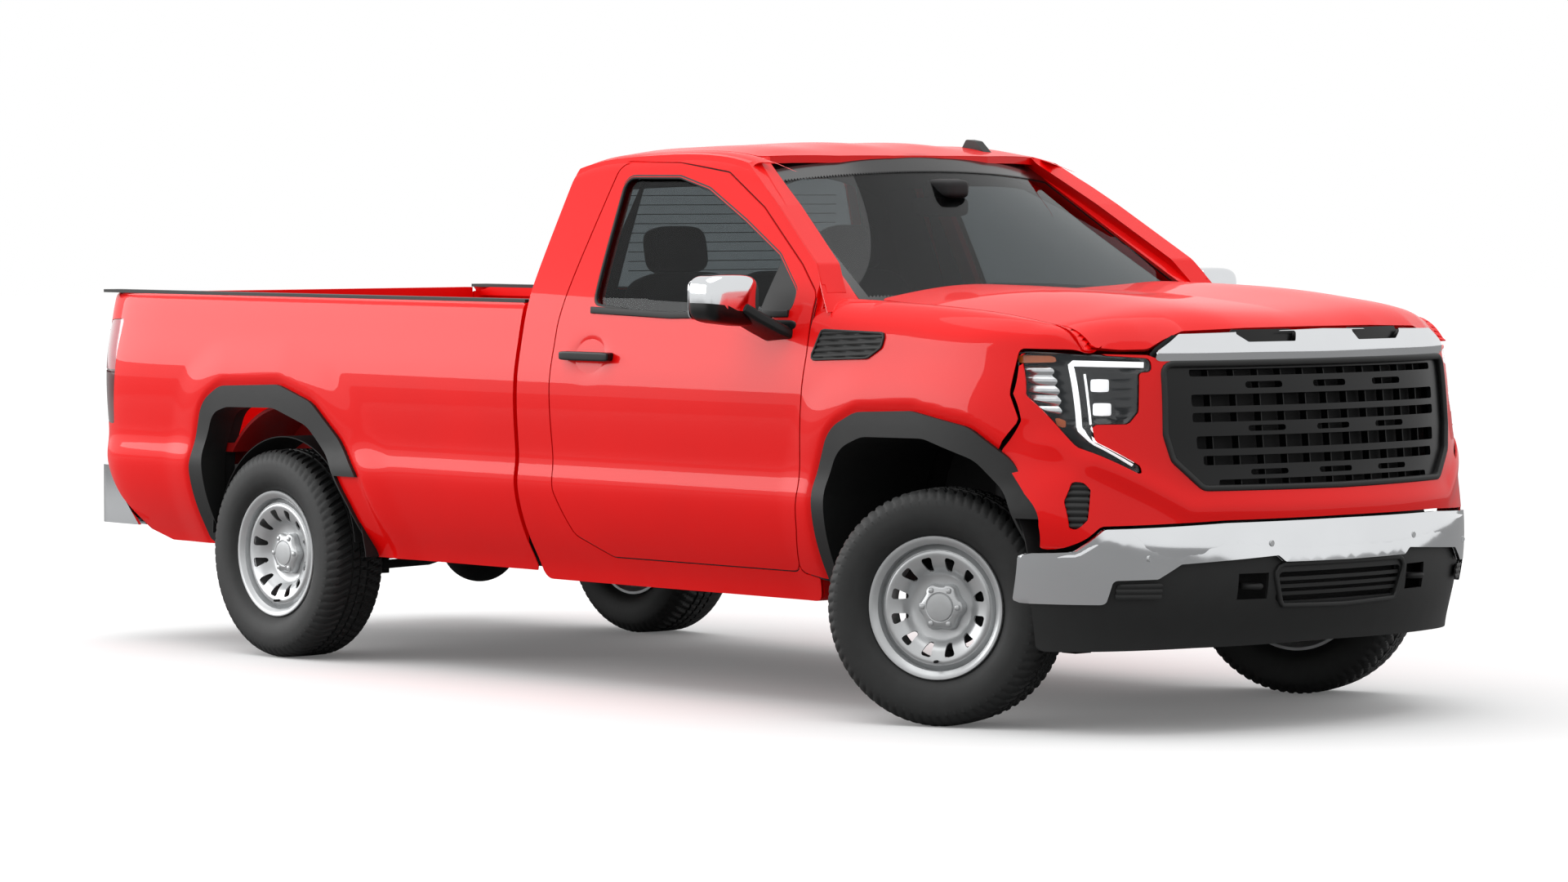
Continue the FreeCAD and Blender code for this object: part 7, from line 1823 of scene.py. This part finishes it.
class TRUCK_OT_headlamps(TruckOperator, bpy.types.Operator):
    """Make both headlamps"""

    bl_idname = "truck.headlamps"
    bl_label = "Headlamps"

    def execute(self, context):
        make_headlamps()
        return {"FINISHED"}


class TRUCK_OT_trim(TruckOperator, bpy.types.Operator):
    """Make handles, mouldings, vents, seals, liners and mirrors"""

    bl_idname = "truck.trim"
    bl_label = "Side trim and mirrors"

    def execute(self, context):
        make_fender_vents()
        make_door_handles()
        make_window_trim()
        make_shut_seals()
        make_liners_and_gap_shade()
        make_mirrors()
        return {"FINISHED"}


class TRUCK_OT_wheels(TruckOperator, bpy.types.Operator):
    """Make the four wheels and tyres"""

    bl_idname = "truck.wheels"
    bl_label = "Wheels"

    def execute(self, context):
        make_wheels(context.scene.truck_sizes)
        return {"FINISHED"}


class TRUCK_OT_cabin(TruckOperator, bpy.types.Operator):
    """Make the glass, the seats and the cabin trim"""

    bl_idname = "truck.cabin"
    bl_label = "Glass and cabin"

    def execute(self, context):
        make_glass()
        make_seats()
        make_cabin()
        return {"FINISHED"}


class TRUCK_OT_tail(TruckOperator, bpy.types.Operator):
    """Make the tail lamp covers and step pads"""

    bl_idname = "truck.tail"
    bl_label = "Tail"

    def execute(self, context):
        make_tail()
        return {"FINISHED"}


class TRUCK_OT_stage(TruckOperator, bpy.types.Operator):
    """Set the floor, the world, the lamps and the camera"""

    bl_idname = "truck.stage"
    bl_label = "Stage"

    def execute(self, context):
        sizes = context.scene.truck_sizes
        context.scene.view_settings.view_transform = "Standard"
        set_world()
        add_floor()
        add_lamp("overhead", "SUN", (0, 0, 8), (0.8, 0.6, 0), energy=sizes.sun, angle=1.3)
        add_lamp("side_wall", "AREA", (-10, -9, 4.2), (0, 0, 1.0), energy=sizes.wall, shape="RECTANGLE",
                 size=14, size_y=5.0)
        add_camera()
        return {"FINISHED"}


OPERATORS = (TRUCK_OT_finishes, TRUCK_OT_body, TRUCK_OT_front, TRUCK_OT_headlamps, TRUCK_OT_trim,
             TRUCK_OT_wheels, TRUCK_OT_cabin, TRUCK_OT_tail, TRUCK_OT_stage)


class TRUCK_PT_panel(bpy.types.Panel):
    """Lists what the add-on makes."""

    bl_label = "Truck"
    bl_idname = "TRUCK_PT_panel"
    bl_space_type = "VIEW_3D"
    bl_region_type = "UI"
    bl_category = "Truck"

    def draw(self, context):
        for operator in OPERATORS:
            self.layout.operator(operator.bl_idname)
        for group in (context.scene.truck_sizes, context.scene.truck_colours):
            for name in group.__annotations__:
                self.layout.prop(group, name)


CLASSES = (TruckColours, TruckSizes) + OPERATORS + (TRUCK_PT_panel,)


def register():
    for item in CLASSES:
        bpy.utils.register_class(item)
    bpy.types.Scene.truck_colours = PointerProperty(type=TruckColours)
    bpy.types.Scene.truck_sizes = PointerProperty(type=TruckSizes)


def unregister():
    del bpy.types.Scene.truck_sizes
    del bpy.types.Scene.truck_colours
    for item in reversed(CLASSES):
        bpy.utils.unregister_class(item)


def main():
    """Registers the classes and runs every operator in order."""
    register()
    for operator in OPERATORS:
        group, name = operator.bl_idname.split(".")
        getattr(getattr(bpy.ops, group), name)()


if __name__ == "__main__":
    main()
